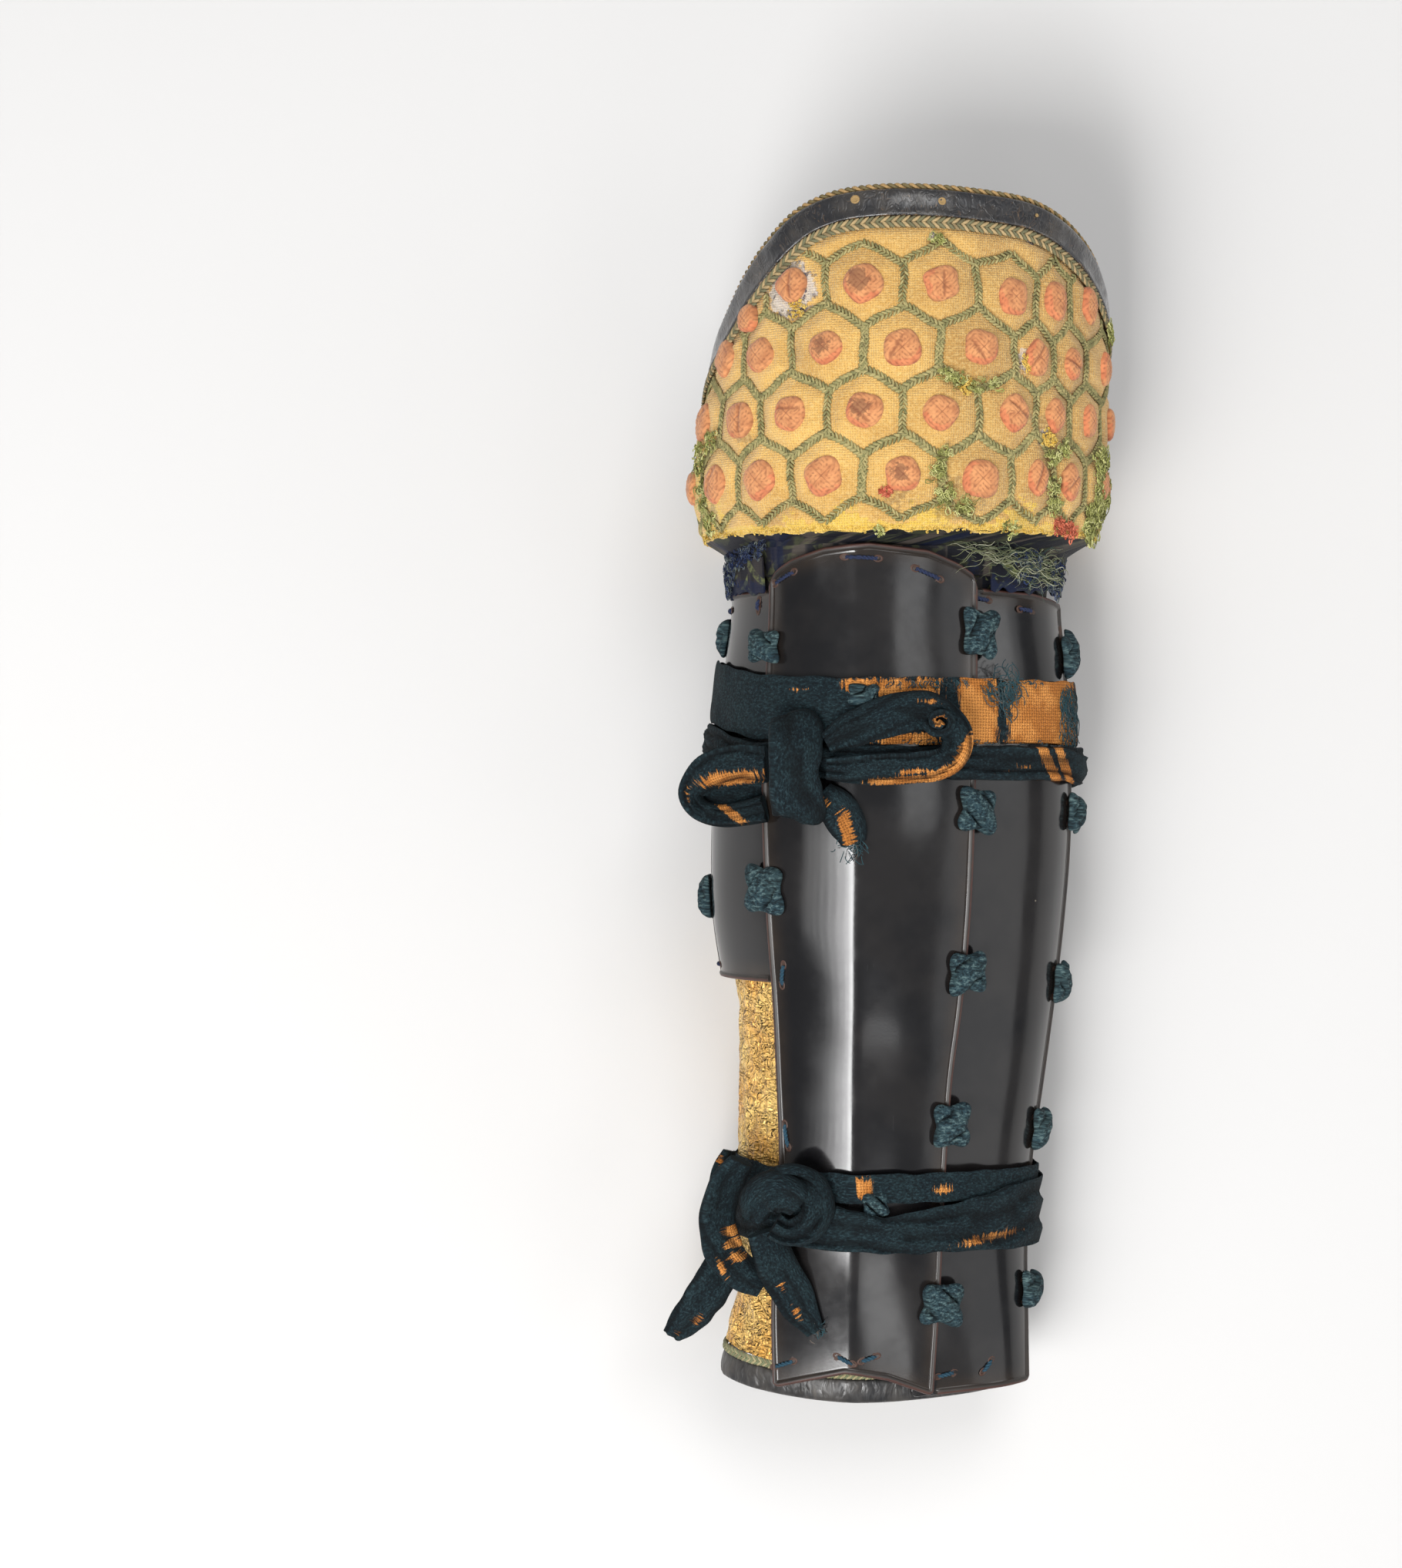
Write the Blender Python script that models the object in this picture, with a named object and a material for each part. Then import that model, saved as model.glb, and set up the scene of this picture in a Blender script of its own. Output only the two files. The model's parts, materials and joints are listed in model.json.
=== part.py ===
"""A samurai shin guard with its knee guard, for the left leg, lying on its back.

Sizes are in millimetres until add_solid turns them into metres. X runs across the shin (+ to the outer side of the
leg), +Y towards the knee and +Z up, out of the shin. A place on the guard is (s, y): s is measured round the form from
its front line, + to the outer side, and a lift moves it out from the form.
"""

import functools
import math

import bpy
import numpy as np
from mathutils import Vector
from mathutils.geometry import delaunay_2d_cdt

MM = 0.001
SEAM = 0.3

# The shin form is the outer face of the backing cloth, the knee form the inner face of the quilted cloth.
# Columns: y, where the left and right sides stand, the height of the front line, the height of the back.
SHIN_ROWS = (
    (-228, -64.5, 51.5, 77.0, 8.0),
    (-199, -59.5, 50.5, 83.0, 6.0),
    (-167, -56.5, 49.5, 91.0, 2.1),
    (-136, -56.0, 50.8, 97.5, 2.1),
    (-104, -55.5, 55.0, 104.0, 2.1),
    (-73, -56.0, 58.8, 111.5, 2.1),
    (-42, -60.3, 62.0, 119.0, 2.1),
    (-13, -61.0, 64.0, 123.5, 2.1),
    (17, -59.8, 64.0, 125.5, 2.1),
    (50, -56.3, 62.3, 126.3, 2.1),
    (77, -53.5, 60.0, 127.0, 5.0),
    (98, -56.0, 64.0, 129.0, 7.0),
)
KNEE_ROWS = (
    (96, -66.0, 75.0, 137.0, 0.0),
    (117, -69.5, 78.0, 142.0, 0.0),
    (140, -67.5, 78.5, 143.5, 0.0),
    (172, -62.0, 79.5, 142.5, 0.0),
    (200, -59.0, 78.0, 138.5, 0.0),
    (228, -57.0, 76.0, 132.0, 0.0),
)
# The knee guard's upper edge. Columns: share of the front's height, y on the inner side, y on the outer side.
KNEE_EDGE_ROWS = (
    (0.00, 114.0, 114.0),
    (0.09, 124.5, 127.0),
    (0.18, 139.5, 144.0),
    (0.30, 152.5, 161.0),
    (0.48, 167.0, 181.0),
    (0.60, 176.5, 192.0),
    (0.68, 184.5, 201.0),
    (0.75, 194.5, 208.0),
    (0.83, 206.0, 215.5),
    (0.90, 216.0, 220.5),
    (0.97, 222.5, 222.8),
    (1.00, 224.0, 224.0),
)
SHIN_LINE_X = -14.0
KNEE_LINE_X = 2.0
SHIN_CREASE = 0.15
FRONT_SHARE = 0.46
SIDE_TAPER = 8.0
CORNER = 12.0
FLAP = 20.0

CLOTH = 2.0
LINING = 1.0
KNEE_LOW = 99.0
KNEE_BORDER = 12.3
BRAID_WIDTH = 3.8
CORD_RADIUS = 1.15
CLOTH_EDGE = 2 * CORD_RADIUS + 0.2

# Quilting of the knee guard: regular hexagons, point up. Columns of a row: y, first and last hexagon, half a pitch over.
HEX_PITCH = 27.0
HEX_SIDE = HEX_PITCH / math.sqrt(3)
HEX_ROWS = (
    (187.2, -2, 3, True),
    (164.0, -3, 4, False),
    (141.0, -4, 4, True),
    (118.0, -4, 4, False),
)
PAD_RISE = 1.6
BRAID_RISE = 1.2
BOSS_RISE = 2.6
BOSS_RADIUS = 6.6

# The hem at the ankle. Columns: s, y.
HEM_ROWS = (
    (-150, -213),
    (-90, -214.5),
    (-60, -217),
    (-30, -221.5),
    (0, -224),
    (40, -222.5),
    (80, -219),
    (140, -214),
)
HEM_LEATHER = 9.2
HEM_BRAID = 2.8
SHIN_TOP = 94.0
ROLL_LOW = 84.0
GOLD_FRONT_S = -20.0
GOLD_TOP = -21.0

# Plates. The centre plate's edges, with the columns y, s of its inner edge, s of its outer edge.
CENTRE_ROWS = (
    (-220, -28.0, 30.3),
    (-189, -29.0, 32.0),
    (-130, -26.5, 34.2),
    (-101, -28.0, 36.0),
    (-72, -30.0, 39.6),
    (-43, -32.5, 42.0),
    (0, -35.0, 43.7),
    (79, -33.5, 44.7),
    (96, -33.5, 44.7),
)
# Their upper and lower edges, with the columns share of the width, y.
CENTRE_TOP = (
    (0, 81.8),
    (0.06, 86.5),
    (0.14, 89.8),
    (0.3, 93.5),
    (0.48, 95.1),
    (0.75, 92.8),
    (0.9, 88.2),
    (0.97, 84.8),
    (1, 80),
)
CENTRE_LOW = ((0, -218.6), (0.2, -215.5), (0.45, -212.0), (0.7, -214.8), (1, -221.6))
INNER_1_TOP = ((0, 79.5), (1, 79.0))
INNER_1_LOW = ((0, -65.5), (1, -64.5))
INNER_2_TOP = ((0, 79.0), (0.4, 79.0), (0.7, 75.0), (0.87, 66.0), (1, 46.0))
INNER_2_LOW = ((0, -61.5), (0.6, -60.0), (1, -52.0))
OUTER_1_TOP = ((0, 80.0), (0.6, 78.5), (1, 75.0))
OUTER_1_LOW = ((0, -222.0), (1, -219.0))
OUTER_2_TOP = ((0, 76.0), (0.7, 73.0), (0.88, 65.0), (1, 48.0))
OUTER_2_LOW = ((0, -218.5), (0.8, -215.0), (1, -208.0))
PLATE = 1.6
TUCKED_LIFT = 0.65
OVER_LIFT = 3.4
REAR_LIFT = 1.0
RIM_RISE = 0.7
RIM_WIDTH = 1.7
TUCK = 8.0

# Lacing knots, with the columns seam, y, width, height, clearance over the highest edge below it.
LACING_ROWS = (
    ("centre_outer", 63.0, 14, 18, 0.8),
    ("centre_outer", -1.5, 15, 17, 0.8),
    ("centre_outer", -61.0, 15, 17, 0.8),
    ("centre_outer", -118.0, 15, 17, 0.8),
    ("centre_outer", -186.0, 17, 17, 0.8),
    ("outer_seam", 56.5, 13, 17, 0.8),
    ("outer_seam", -3.0, 13, 15, 0.8),
    ("outer_seam", -66.8, 13, 17, 0.8),
    ("outer_seam", -122.5, 13, 17, 0.8),
    ("outer_seam", -184.0, 13, 15, 0.8),
    ("centre_inner", 58.5, 15, 13, 0.8),
    ("centre_inner", -30.8, 18, 19, -0.1),
    ("inner_seam", 64.0, 13, 16, 0.8),
    ("inner_seam", -34.6, 14, 18, 0.8),
)
LACING_RISE = 3.6

TIE = 1.7


def curve_through(rows, column, x):
    """Reads a table's column at x from a smooth curve through its rows."""
    table = np.asarray(rows, float)
    at = table[:, 0]
    value = table[:, column]
    slope = np.gradient(value, at)
    x = np.clip(x, at[0], at[-1])
    i = np.clip(np.searchsorted(at, x) - 1, 0, len(at) - 2)
    span = at[i + 1] - at[i]
    t = (x - at[i]) / span
    start = (2 * t**3 - 3 * t**2 + 1) * value[i] + (t**3 - 2 * t**2 + t) * span * slope[i]
    return start + (3 * t**2 - 2 * t**3) * value[i + 1] + (t**3 - t**2) * span * slope[i + 1]


def line_through(rows, x):
    """Reads a table of two columns at x, with straight lines between its rows."""
    table = np.asarray(rows, float)
    return np.interp(x, table[:, 0], table[:, 1])


def smoothstep(x):
    x = np.clip(x, 0.0, 1.0)
    return x * x * (3 - 2 * x)


class Form:
    """A tube-like surface along Y that is open at the back."""

    def __init__(self, rows, line_x, crease, corner, flap):
        self.rows = np.asarray(rows, float)
        self.line_x = line_x
        self.crease = crease
        self.corner = corner
        self.flap = flap
        self.section = functools.lru_cache(maxsize=None)(self._section)

    def _side(self, half, front, back):
        """One half of a section, from the front line to the end of the flap."""
        wide = back + (front - back) * (1 - FRONT_SHARE)
        turn = np.linspace(0, math.pi / 2, 33)
        out = list(half * np.sin(turn))
        up = list(wide + (front - wide) * ((1 - self.crease) * np.cos(turn) + self.crease * (1 - np.sin(turn))))
        quarter = len(out) - 1
        foot = back + self.corner
        for w in np.linspace(0, 1, 13)[1:]:
            out.append(half - SIDE_TAPER * smoothstep(w))
            up.append(wide + (foot - wide) * w)
        side = len(out) - 1
        if self.corner:
            for w in np.linspace(0, 1, 9)[1:]:
                out.append(half - SIDE_TAPER - self.corner * w * w)
                up.append(foot - self.corner * (2 * w - w * w))
            for w in np.linspace(0, 1, 4)[1:]:
                out.append(half - SIDE_TAPER - self.corner - self.flap * w)
                up.append(back)
        return np.array(out), np.array(up), quarter, side

    def _section(self, y):
        left, right, front = (curve_through(self.rows, k, y) for k in (1, 2, 3))
        back = np.interp(y, self.rows[:, 0], self.rows[:, 4])
        lx, lz, quarter, side = self._side(self.line_x - left, front, back)
        rx, rz, _, _ = self._side(right - self.line_x, front, back)
        ls = np.concatenate([[0], np.cumsum(np.hypot(np.diff(lx), np.diff(lz)))])
        rs = np.concatenate([[0], np.cumsum(np.hypot(np.diff(rx), np.diff(rz)))])
        s = np.concatenate([-ls[:0:-1], rs])
        x = self.line_x + np.concatenate([-lx[:0:-1], rx])
        z = np.concatenate([lz[:0:-1], rz])
        dx = np.gradient(x, s)
        dz = np.gradient(z, s)
        long = np.hypot(dx, dz)
        marks = {"quarter": (ls[quarter], rs[quarter]), "side": (ls[side], rs[side]), "end": (ls[-1], rs[-1])}
        return s, x, z, -dz / long, dx / long, marks

    def mark(self, which, side, y):
        """The length along the section from the front line to a mark, on the side -1 or 1."""
        return self.section(round(float(y), 3))[5][which][int(side > 0)]

    def front(self, y):
        return float(curve_through(self.rows, 3, y))

    def at(self, s, y, lift=0.0):
        table_s, x, z, nx, nz, _ = self.section(round(float(y), 3))
        out_x = np.interp(s, table_s, nx)
        out_z = np.interp(s, table_s, nz)
        long = math.hypot(out_x, out_z)
        return (
            float(np.interp(s, table_s, x) + lift * out_x / long),
            float(y),
            max(0.0, float(np.interp(s, table_s, z) + lift * out_z / long)),
        )


SHIN = Form(SHIN_ROWS, SHIN_LINE_X, SHIN_CREASE, CORNER, FLAP)
KNEE = Form(KNEE_ROWS, KNEE_LINE_X, 0.0, 0.0, 0.0)


def clear_scene():
    for ob in list(bpy.data.objects):
        bpy.data.objects.remove(ob, do_unlink=True)


def material(name, colour, roughness, metallic=0.0):
    mat = bpy.data.materials.new(name)
    mat.use_nodes = True
    shader = mat.node_tree.nodes["Principled BSDF"]
    shader.inputs["Base Color"].default_value = (*colour, 1)
    shader.inputs["Roughness"].default_value = roughness
    shader.inputs["Metallic"].default_value = metallic
    return mat


def add_solid(name, points, faces, mat):
    """Makes the object of a closed mesh whose points are in millimetres."""
    mesh = bpy.data.meshes.new(name)
    mesh.from_pydata([tuple(c * MM for c in p) for p in points], [], faces)
    mesh.materials.append(mat)
    mesh.shade_smooth()
    mesh.set_sharp_from_angle(angle=math.radians(40))
    ob = bpy.data.objects.new(name, mesh)
    PARTS.objects.link(ob)
    return ob


def closed_wall(name, outer, inner, faces, mat, inner_faces=None, pairs=None):
    """A wall between two layers of points. Faces turn left seen from outside. pairs maps rim points to the inner layer."""
    inner_faces = faces if inner_faces is None else inner_faces
    first_inner = len(outer)
    directed = {(f[k - 1], f[k]) for f in faces for k in range(len(f))}
    rim = [(a, b) for a, b in directed if (b, a) not in directed]
    match = (lambda k: k) if pairs is None else pairs.__getitem__
    sides = [(b, a, first_inner + match(a), first_inner + match(b)) for a, b in sorted(rim)]
    under = [tuple(first_inner + k for k in reversed(f)) for f in inner_faces]
    return add_solid(name, list(outer) + list(inner), list(faces) + under + sides, mat)


def grid_faces(columns, rows, keep=None):
    """Quads of a grid whose points run along columns first."""
    return [
        (r * columns + c, r * columns + c + 1, (r + 1) * columns + c + 1, (r + 1) * columns + c)
        for r in range(rows - 1)
        for c in range(columns - 1)
        if keep is None or keep(c, r)
    ]


def grid_wall(name, form, s_grid, y_grid, low, high, mat, keep=None):
    """A wall over a grid of places. low and high give its two lifts at a place."""
    rows, columns = s_grid.shape
    places = [(s_grid[r, c], y_grid[r, c]) for r in range(rows) for c in range(columns)]
    faces = grid_faces(columns, rows, keep)
    used = sorted({k for f in faces for k in f})
    number = {k: n for n, k in enumerate(used)}
    faces = [tuple(number[k] for k in f) for f in faces]
    outer = [form.at(*places[k], high(*places[k])) for k in used]
    inner = [form.at(*places[k], low(*places[k])) for k in used]
    return closed_wall(name, outer, inner, faces, mat)


def volume_of(points, faces):
    """Six times the signed volume, which is negative when the faces point inwards."""
    at = np.array(points)
    fans = [(f[0], f[k], f[k + 1]) for f in faces for k in range(1, len(f) - 1)]
    return float(np.linalg.det(at[np.array(fans)]).sum())


def swept(name, rings, mat, closed=False):
    """Joins rings of points into a tube, closed on itself or with a cap on each end."""
    count = len(rings[0])
    points = [p for ring in rings for p in ring]
    last = len(rings) if closed else len(rings) - 1
    faces = []
    for r in range(last):
        a = r * count
        b = (r + 1) % len(rings) * count
        faces += [(a + k, a + (k + 1) % count, b + (k + 1) % count, b + k) for k in range(count)]
    if not closed:
        faces.append(tuple(reversed(range(count))))
        faces.append(tuple(range(len(points) - count, len(points))))
    if volume_of(points, faces) < 0:
        faces = [tuple(reversed(f)) for f in faces]
    return add_solid(name, points, faces, mat)


# The plates


def centre_left(y):
    return float(curve_through(CENTRE_ROWS, 1, y))


def centre_right(y):
    return float(curve_through(CENTRE_ROWS, 2, y))


def inner_seam(y):
    return -SHIN.mark("quarter", -1, y) - 11.5 - 3.5 * math.sin(y / 50)


def outer_seam(y):
    return 0.93 * SHIN.mark("quarter", 1, y)


def inner_rear(y):
    return -SHIN.mark("side", -1, y) + 1.5


def outer_rear(y):
    return SHIN.mark("side", 1, y) - 1.5


SEAMS = {
    "centre_outer": centre_right,
    "outer_seam": outer_seam,
    "centre_inner": centre_left,
    "inner_seam": inner_seam,
}


class Plate:
    """A lacquered plate from its front edge to its rear edge. Its tucked edge lies low and its other edge lies over."""

    def __init__(self, name, front, rear, top, low, front_lift, rear_lift):
        self.name = name
        self.front = front
        self.rear = rear
        self.top = top
        self.low = low
        self.front_lift = front_lift
        self.rear_lift = rear_lift

    def s(self, share, y):
        return (1 - share) * self.front(y) + share * self.rear(y)

    def lift(self, share, width):
        """Of the inner face, flat over each overlap and rising between them."""
        flat = (TUCK + 3) / width
        rise = smoothstep((share - flat) / (1 - 2 * flat))
        return self.front_lift + (self.rear_lift - self.front_lift) * rise

    def top_at(self, s, y):
        """The lift of its outer face, with its rim, or 0 beside it."""
        share = (s - self.front(y)) / (self.rear(y) - self.front(y))
        if not 0 <= share <= 1 or not line_through(self.low, share) <= y <= line_through(self.top, share):
            return 0.0
        return self.lift(share, abs(self.rear(y) - self.front(y))) + PLATE + RIM_RISE

    def shares(self, width, cells):
        rim = RIM_WIDTH / width
        inset = max(0.0, (TUCK + 3) / width - 1.6 * rim) if self.front_lift != self.rear_lift else 0.0
        between = np.linspace(1.6 * rim + inset, 1 - 1.6 * rim - inset, cells)
        edge = [1.6 * rim] if inset else []
        return np.array([0, rim, *edge, *between, *[1 - e for e in edge], 1 - rim, 1])

    def build(self, mat, across, along):
        width = abs(self.rear(0) - self.front(0))
        length = line_through(self.top, 0.5) - line_through(self.low, 0.5)
        us = self.shares(width, across)
        rim = RIM_WIDTH / length
        vs = [0, rim, *np.linspace(1.6 * rim, 1 - 1.6 * rim, along), 1 - rim, 1]
        left = self.rear(0) < self.front(0)
        outer = []
        inner = []
        for j, v in enumerate(vs):
            for i, u in enumerate(us):
                y = (1 - v) * line_through(self.low, u) + v * line_through(self.top, u)
                on_rim = i < 2 or j < 2 or i > len(us) - 3 or j > len(vs) - 3
                lift = self.lift(u, width)
                place = self.s(u, y)
                outer.append(SHIN.at(place, y, lift + PLATE + RIM_RISE * on_rim * (1 - self.hidden(u))))
                inner.append(SHIN.at(place, y, lift))
        faces = grid_faces(len(us), len(vs))
        if left:
            faces = [tuple(reversed(f)) for f in faces]
        closed_wall(self.name, outer, inner, faces, mat)

    def hidden(self, share):
        """1 at the tucked edge, which has no rim."""
        return float(self.front_lift < self.rear_lift and share < 0.2)


def tucked(seam, sign):
    """The hidden edge of a plate below its neighbour's edge."""
    return lambda y: seam(y) + sign * TUCK


PLATES = (
    Plate("plate_centre", centre_left, centre_right, CENTRE_TOP, CENTRE_LOW, OVER_LIFT, OVER_LIFT),
    Plate("plate_inner_1", tucked(centre_left, 1), inner_seam, INNER_1_TOP, INNER_1_LOW, TUCKED_LIFT, OVER_LIFT),
    Plate("plate_inner_2", tucked(inner_seam, 1), inner_rear, INNER_2_TOP, INNER_2_LOW, TUCKED_LIFT, REAR_LIFT),
    Plate("plate_outer_1", tucked(centre_right, -1), outer_seam, OUTER_1_TOP, OUTER_1_LOW, TUCKED_LIFT, OVER_LIFT),
    Plate("plate_outer_2", tucked(outer_seam, -1), outer_rear, OUTER_2_TOP, OUTER_2_LOW, TUCKED_LIFT, REAR_LIFT),
)


def stack_top(s, y, reach=0.0):
    """How far the plates reach out from the form near a place."""
    around = ((0, 0), (-reach, 0), (reach, 0), (0, -reach), (0, reach))
    return max(plate.top_at(s + ds, y + dy) for plate in PLATES for ds, dy in around)


def build_plates():
    lacquer = material("black_lacquer", (0.012, 0.012, 0.014), 0.18)
    for plate in PLATES:
        plate.build(lacquer, 7 if plate.name == "plate_centre" else 5, 8)


# The knee guard


@functools.lru_cache(maxsize=None)
def knee_top(s):
    """The y of the knee guard's upper edge at s."""
    column = 1 if s < 0 else 2
    low, high = KNEE_LOW + 1, 226.0
    for _ in range(30):
        y = (low + high) / 2
        share = KNEE.at(s, y)[2] / KNEE.front(y)
        if curve_through(KNEE_EDGE_ROWS, column, share) > y:
            low = y
        else:
            high = y
    return y


def knee_rear(side, y):
    return KNEE.mark("end", side, y)


def edge_places(step):
    """Places along the upper edge, from the outer rear corner over the front to the inner one."""
    outer = knee_rear(1, 114)
    inner = -knee_rear(-1, 114)
    count = round((outer - inner) / step)
    return [(s, knee_top(round(s, 4))) for s in np.linspace(outer, inner, count + 1)]


EDGE = np.array(edge_places(4.0))


def edge_normals(places):
    """Directions into the cloth, square to the edge."""
    along = np.gradient(places, axis=0)
    into = np.stack([-along[:, 1], along[:, 0]], 1)
    return into / np.linalg.norm(into, axis=1)[:, None]


def edge_line(depth, step):
    """Places that run along the edge at a depth into the cloth."""
    places = np.array(edge_places(step))
    return [tuple(p) for p in places + edge_normals(places) * depth]


def edge_distance(s, y):
    a = EDGE[:-1]
    d = EDGE[1:] - a
    t = np.clip(((np.array([s, y]) - a) * d).sum(1) / (d * d).sum(1), 0, 1)
    return float(np.linalg.norm(a + d * t[:, None] - (s, y), axis=1).min())


def within_rear(s, y):
    """Keeps a place inside the rear corners, where the wall meets the floor."""
    return float(np.clip(s, -knee_rear(-1, y), knee_rear(1, y)))


def hexagons():
    for y, first, last, half_over in HEX_ROWS:
        for k in range(first, last + 1):
            yield (k + 0.5 * half_over) * HEX_PITCH, y


HEXAGONS = tuple((s, y) for s, y in hexagons() if y + HEX_SIDE * 0.3 < knee_top(round(s, 4)) - KNEE_BORDER)


def into_hexagon(ds, dy):
    """How far a point lies inside the boundary of a hexagon whose centre is (ds, dy) away."""
    ds, dy = abs(ds), abs(dy)
    return HEX_PITCH / 2 - max(ds, ds / 2 + dy * math.sqrt(3) / 2)


def knee_rise(s, y):
    """How far the quilting stands up over the plain cloth."""
    ds, dy = min(((s - hs, y - hy) for hs, hy in HEXAGONS), key=lambda d: d[0] ** 2 + d[1] ** 2)
    inside = into_hexagon(ds, dy)
    braid = BRAID_RISE * max(0.0, 1 - (inside / 1.6) ** 2)
    pad = PAD_RISE * smoothstep((inside - 1.4) / 3.2)
    radius = math.hypot(ds, dy) / BOSS_RADIUS
    boss = BOSS_RISE * math.sqrt(max(0.0, 1 - radius * radius))
    clear = smoothstep((edge_distance(s, y) - KNEE_BORDER - BRAID_WIDTH - 1) / 2) * smoothstep((y - KNEE_LOW - 1) / 2)
    return (max(braid, pad) + boss) * clear


def on_hexagon_corner(s, y):
    return any(abs(math.dist((s, y), centre) - HEX_SIDE) < 0.1 for centre in HEXAGONS)


def one_side_apart(a, b):
    return abs(math.dist(a, b) - HEX_SIDE) < 0.1


def ring(centre, radius, count, start=0.0):
    turn = np.arange(count) * 2 * math.pi / count + start
    return [(centre[0] + radius * math.cos(a), centre[1] + radius * math.sin(a)) for a in turn]


def inside_knee(place, margin):
    s, y = place
    if not KNEE_LOW + margin < y or abs(s) > knee_rear(s, y) - margin:
        return False
    return y < knee_top(round(s, 4)) and edge_distance(s, y) > margin


def knee_outline(margin, edge_step, low_step):
    """The outline of the knee guard's cloth, turning left: along the seam, up the outer side and back over the top."""
    right = knee_rear(1, KNEE_LOW)
    left = knee_rear(-1, KNEE_LOW)
    low = [(s, KNEE_LOW) for s in np.linspace(-left, right, round((left + right) / low_step) + 1)]
    places = np.array(edge_places(edge_step))
    top = places + edge_normals(places) * margin
    top = [(within_rear(s, y), y) for s, y in top]
    return low + top


def triangulate(outline, inner_points, edges=()):
    """Constrained triangles of an outline with points inside it. The outline's points keep their order and numbers."""
    points = [Vector(p) for p in [*outline, *inner_points]]
    count = len(outline)
    found = delaunay_2d_cdt(points, list(edges), [list(range(count))], 1, 1e-4)
    return [tuple(p) for p in found[0]], [tuple(f) for f in found[2]], found[3]


def turn_left(points, faces):
    def area(f):
        (ax, ay), (bx, by), (cx, cy) = (points[k] for k in f)
        return (bx - ax) * (cy - ay) - (cx - ax) * (by - ay)

    return [f if area(f) > 0 else tuple(reversed(f)) for f in faces]


@functools.lru_cache(maxsize=None)
def plain_knee():
    """The knee guard's unquilted side: its outline and triangles, which the wool's inside and the lining share."""
    outline = knee_outline(CLOTH_EDGE, 9.0, HEX_PITCH / 2)
    rows = np.arange(KNEE_LOW + 16, 222, 18)
    plain = [(s, y) for y in rows for s in np.arange(-153, 150, 17) if inside_knee((s, y), 6.0)]
    places, faces, origins = triangulate(outline, plain)
    return outline, places, turn_left(places, faces), origins


def build_knee_cloth():
    outline, inner_places, inner_faces, inner_origins = plain_knee()
    detail = []
    for centre in HEXAGONS:
        detail += ring(centre, HEX_SIDE, 6, math.pi / 6)
        detail += ring(centre, HEX_SIDE - 1.9, 6, math.pi / 6)
        detail += ring(centre, HEX_SIDE - 5.3, 6, math.pi / 6)
        detail += ring(centre, BOSS_RADIUS, 8, math.pi / 8)
        detail += ring(centre, 0.62 * BOSS_RADIUS, 8, math.pi / 8)
        detail.append(centre)
    unique = {(round(s, 1), round(y, 1)): (s, y) for s, y in detail}
    below_braid = KNEE_BORDER + BRAID_WIDTH + 1.0
    kept = [(s, y) for s, y in unique.values() if inside_knee((s, y), 2.5) and edge_distance(s, y) > below_braid + 2]
    line = [p for p in edge_line(below_braid, 7.0) if inside_knee(p, 2.0)]
    start = len(outline)
    edges = [(start + k, start + k + 1) for k in range(len(line) - 1)]
    start += len(line)
    corners = [k for k, (s, y) in enumerate(kept) if on_hexagon_corner(s, y)]
    edges += [(start + a, start + b) for a in corners for b in corners if a < b and one_side_apart(kept[a], kept[b])]
    places, faces, origins = triangulate(outline, line + kept, edges)
    faces = turn_left(places, faces)
    inner_number = {k: n for n, found in enumerate(inner_origins) for k in found}
    pairs = {n: inner_number[k] for n, found in enumerate(origins) for k in found if k < len(outline)}
    outer = [KNEE.at(s, y, CLOTH + knee_rise(s, y)) for s, y in places]
    inner = [KNEE.at(s, y) for s, y in inner_places]
    wool = material("yellow_wool", (0.55, 0.32, 0.07), 0.9)
    closed_wall("knee_cloth", outer, inner, faces, wool, inner_faces, pairs)


def build_knee_lining():
    _, places, faces, _ = plain_knee()
    outer = [KNEE.at(s, y, -SEAM) for s, y in places]
    inner = [KNEE.at(s, y, -SEAM - LINING) for s, y in places]
    closed_wall("knee_lining", outer, inner, faces, material("lining_leather", (0.015, 0.014, 0.014), 0.3))


def edge_strip(name, depths, lows, highs, step, mat):
    """A strip along the knee guard's upper edge, from rows of depths into the cloth with their two lifts."""
    places = np.array(edge_places(step))
    into = edge_normals(places)
    outer = []
    inner = []
    for depth, low, high in zip(depths, lows, highs):
        for (s, y), (ds, dy) in zip(places[::-1], into[::-1]):
            y_here = y + dy * depth
            s_here = within_rear(s + ds * depth, y_here)
            outer.append(KNEE.at(s_here, y_here, high))
            inner.append(KNEE.at(s_here, y_here, low))
    faces = [tuple(reversed(f)) for f in grid_faces(len(places), len(depths))]
    closed_wall(name, outer, inner, faces, mat)


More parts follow.
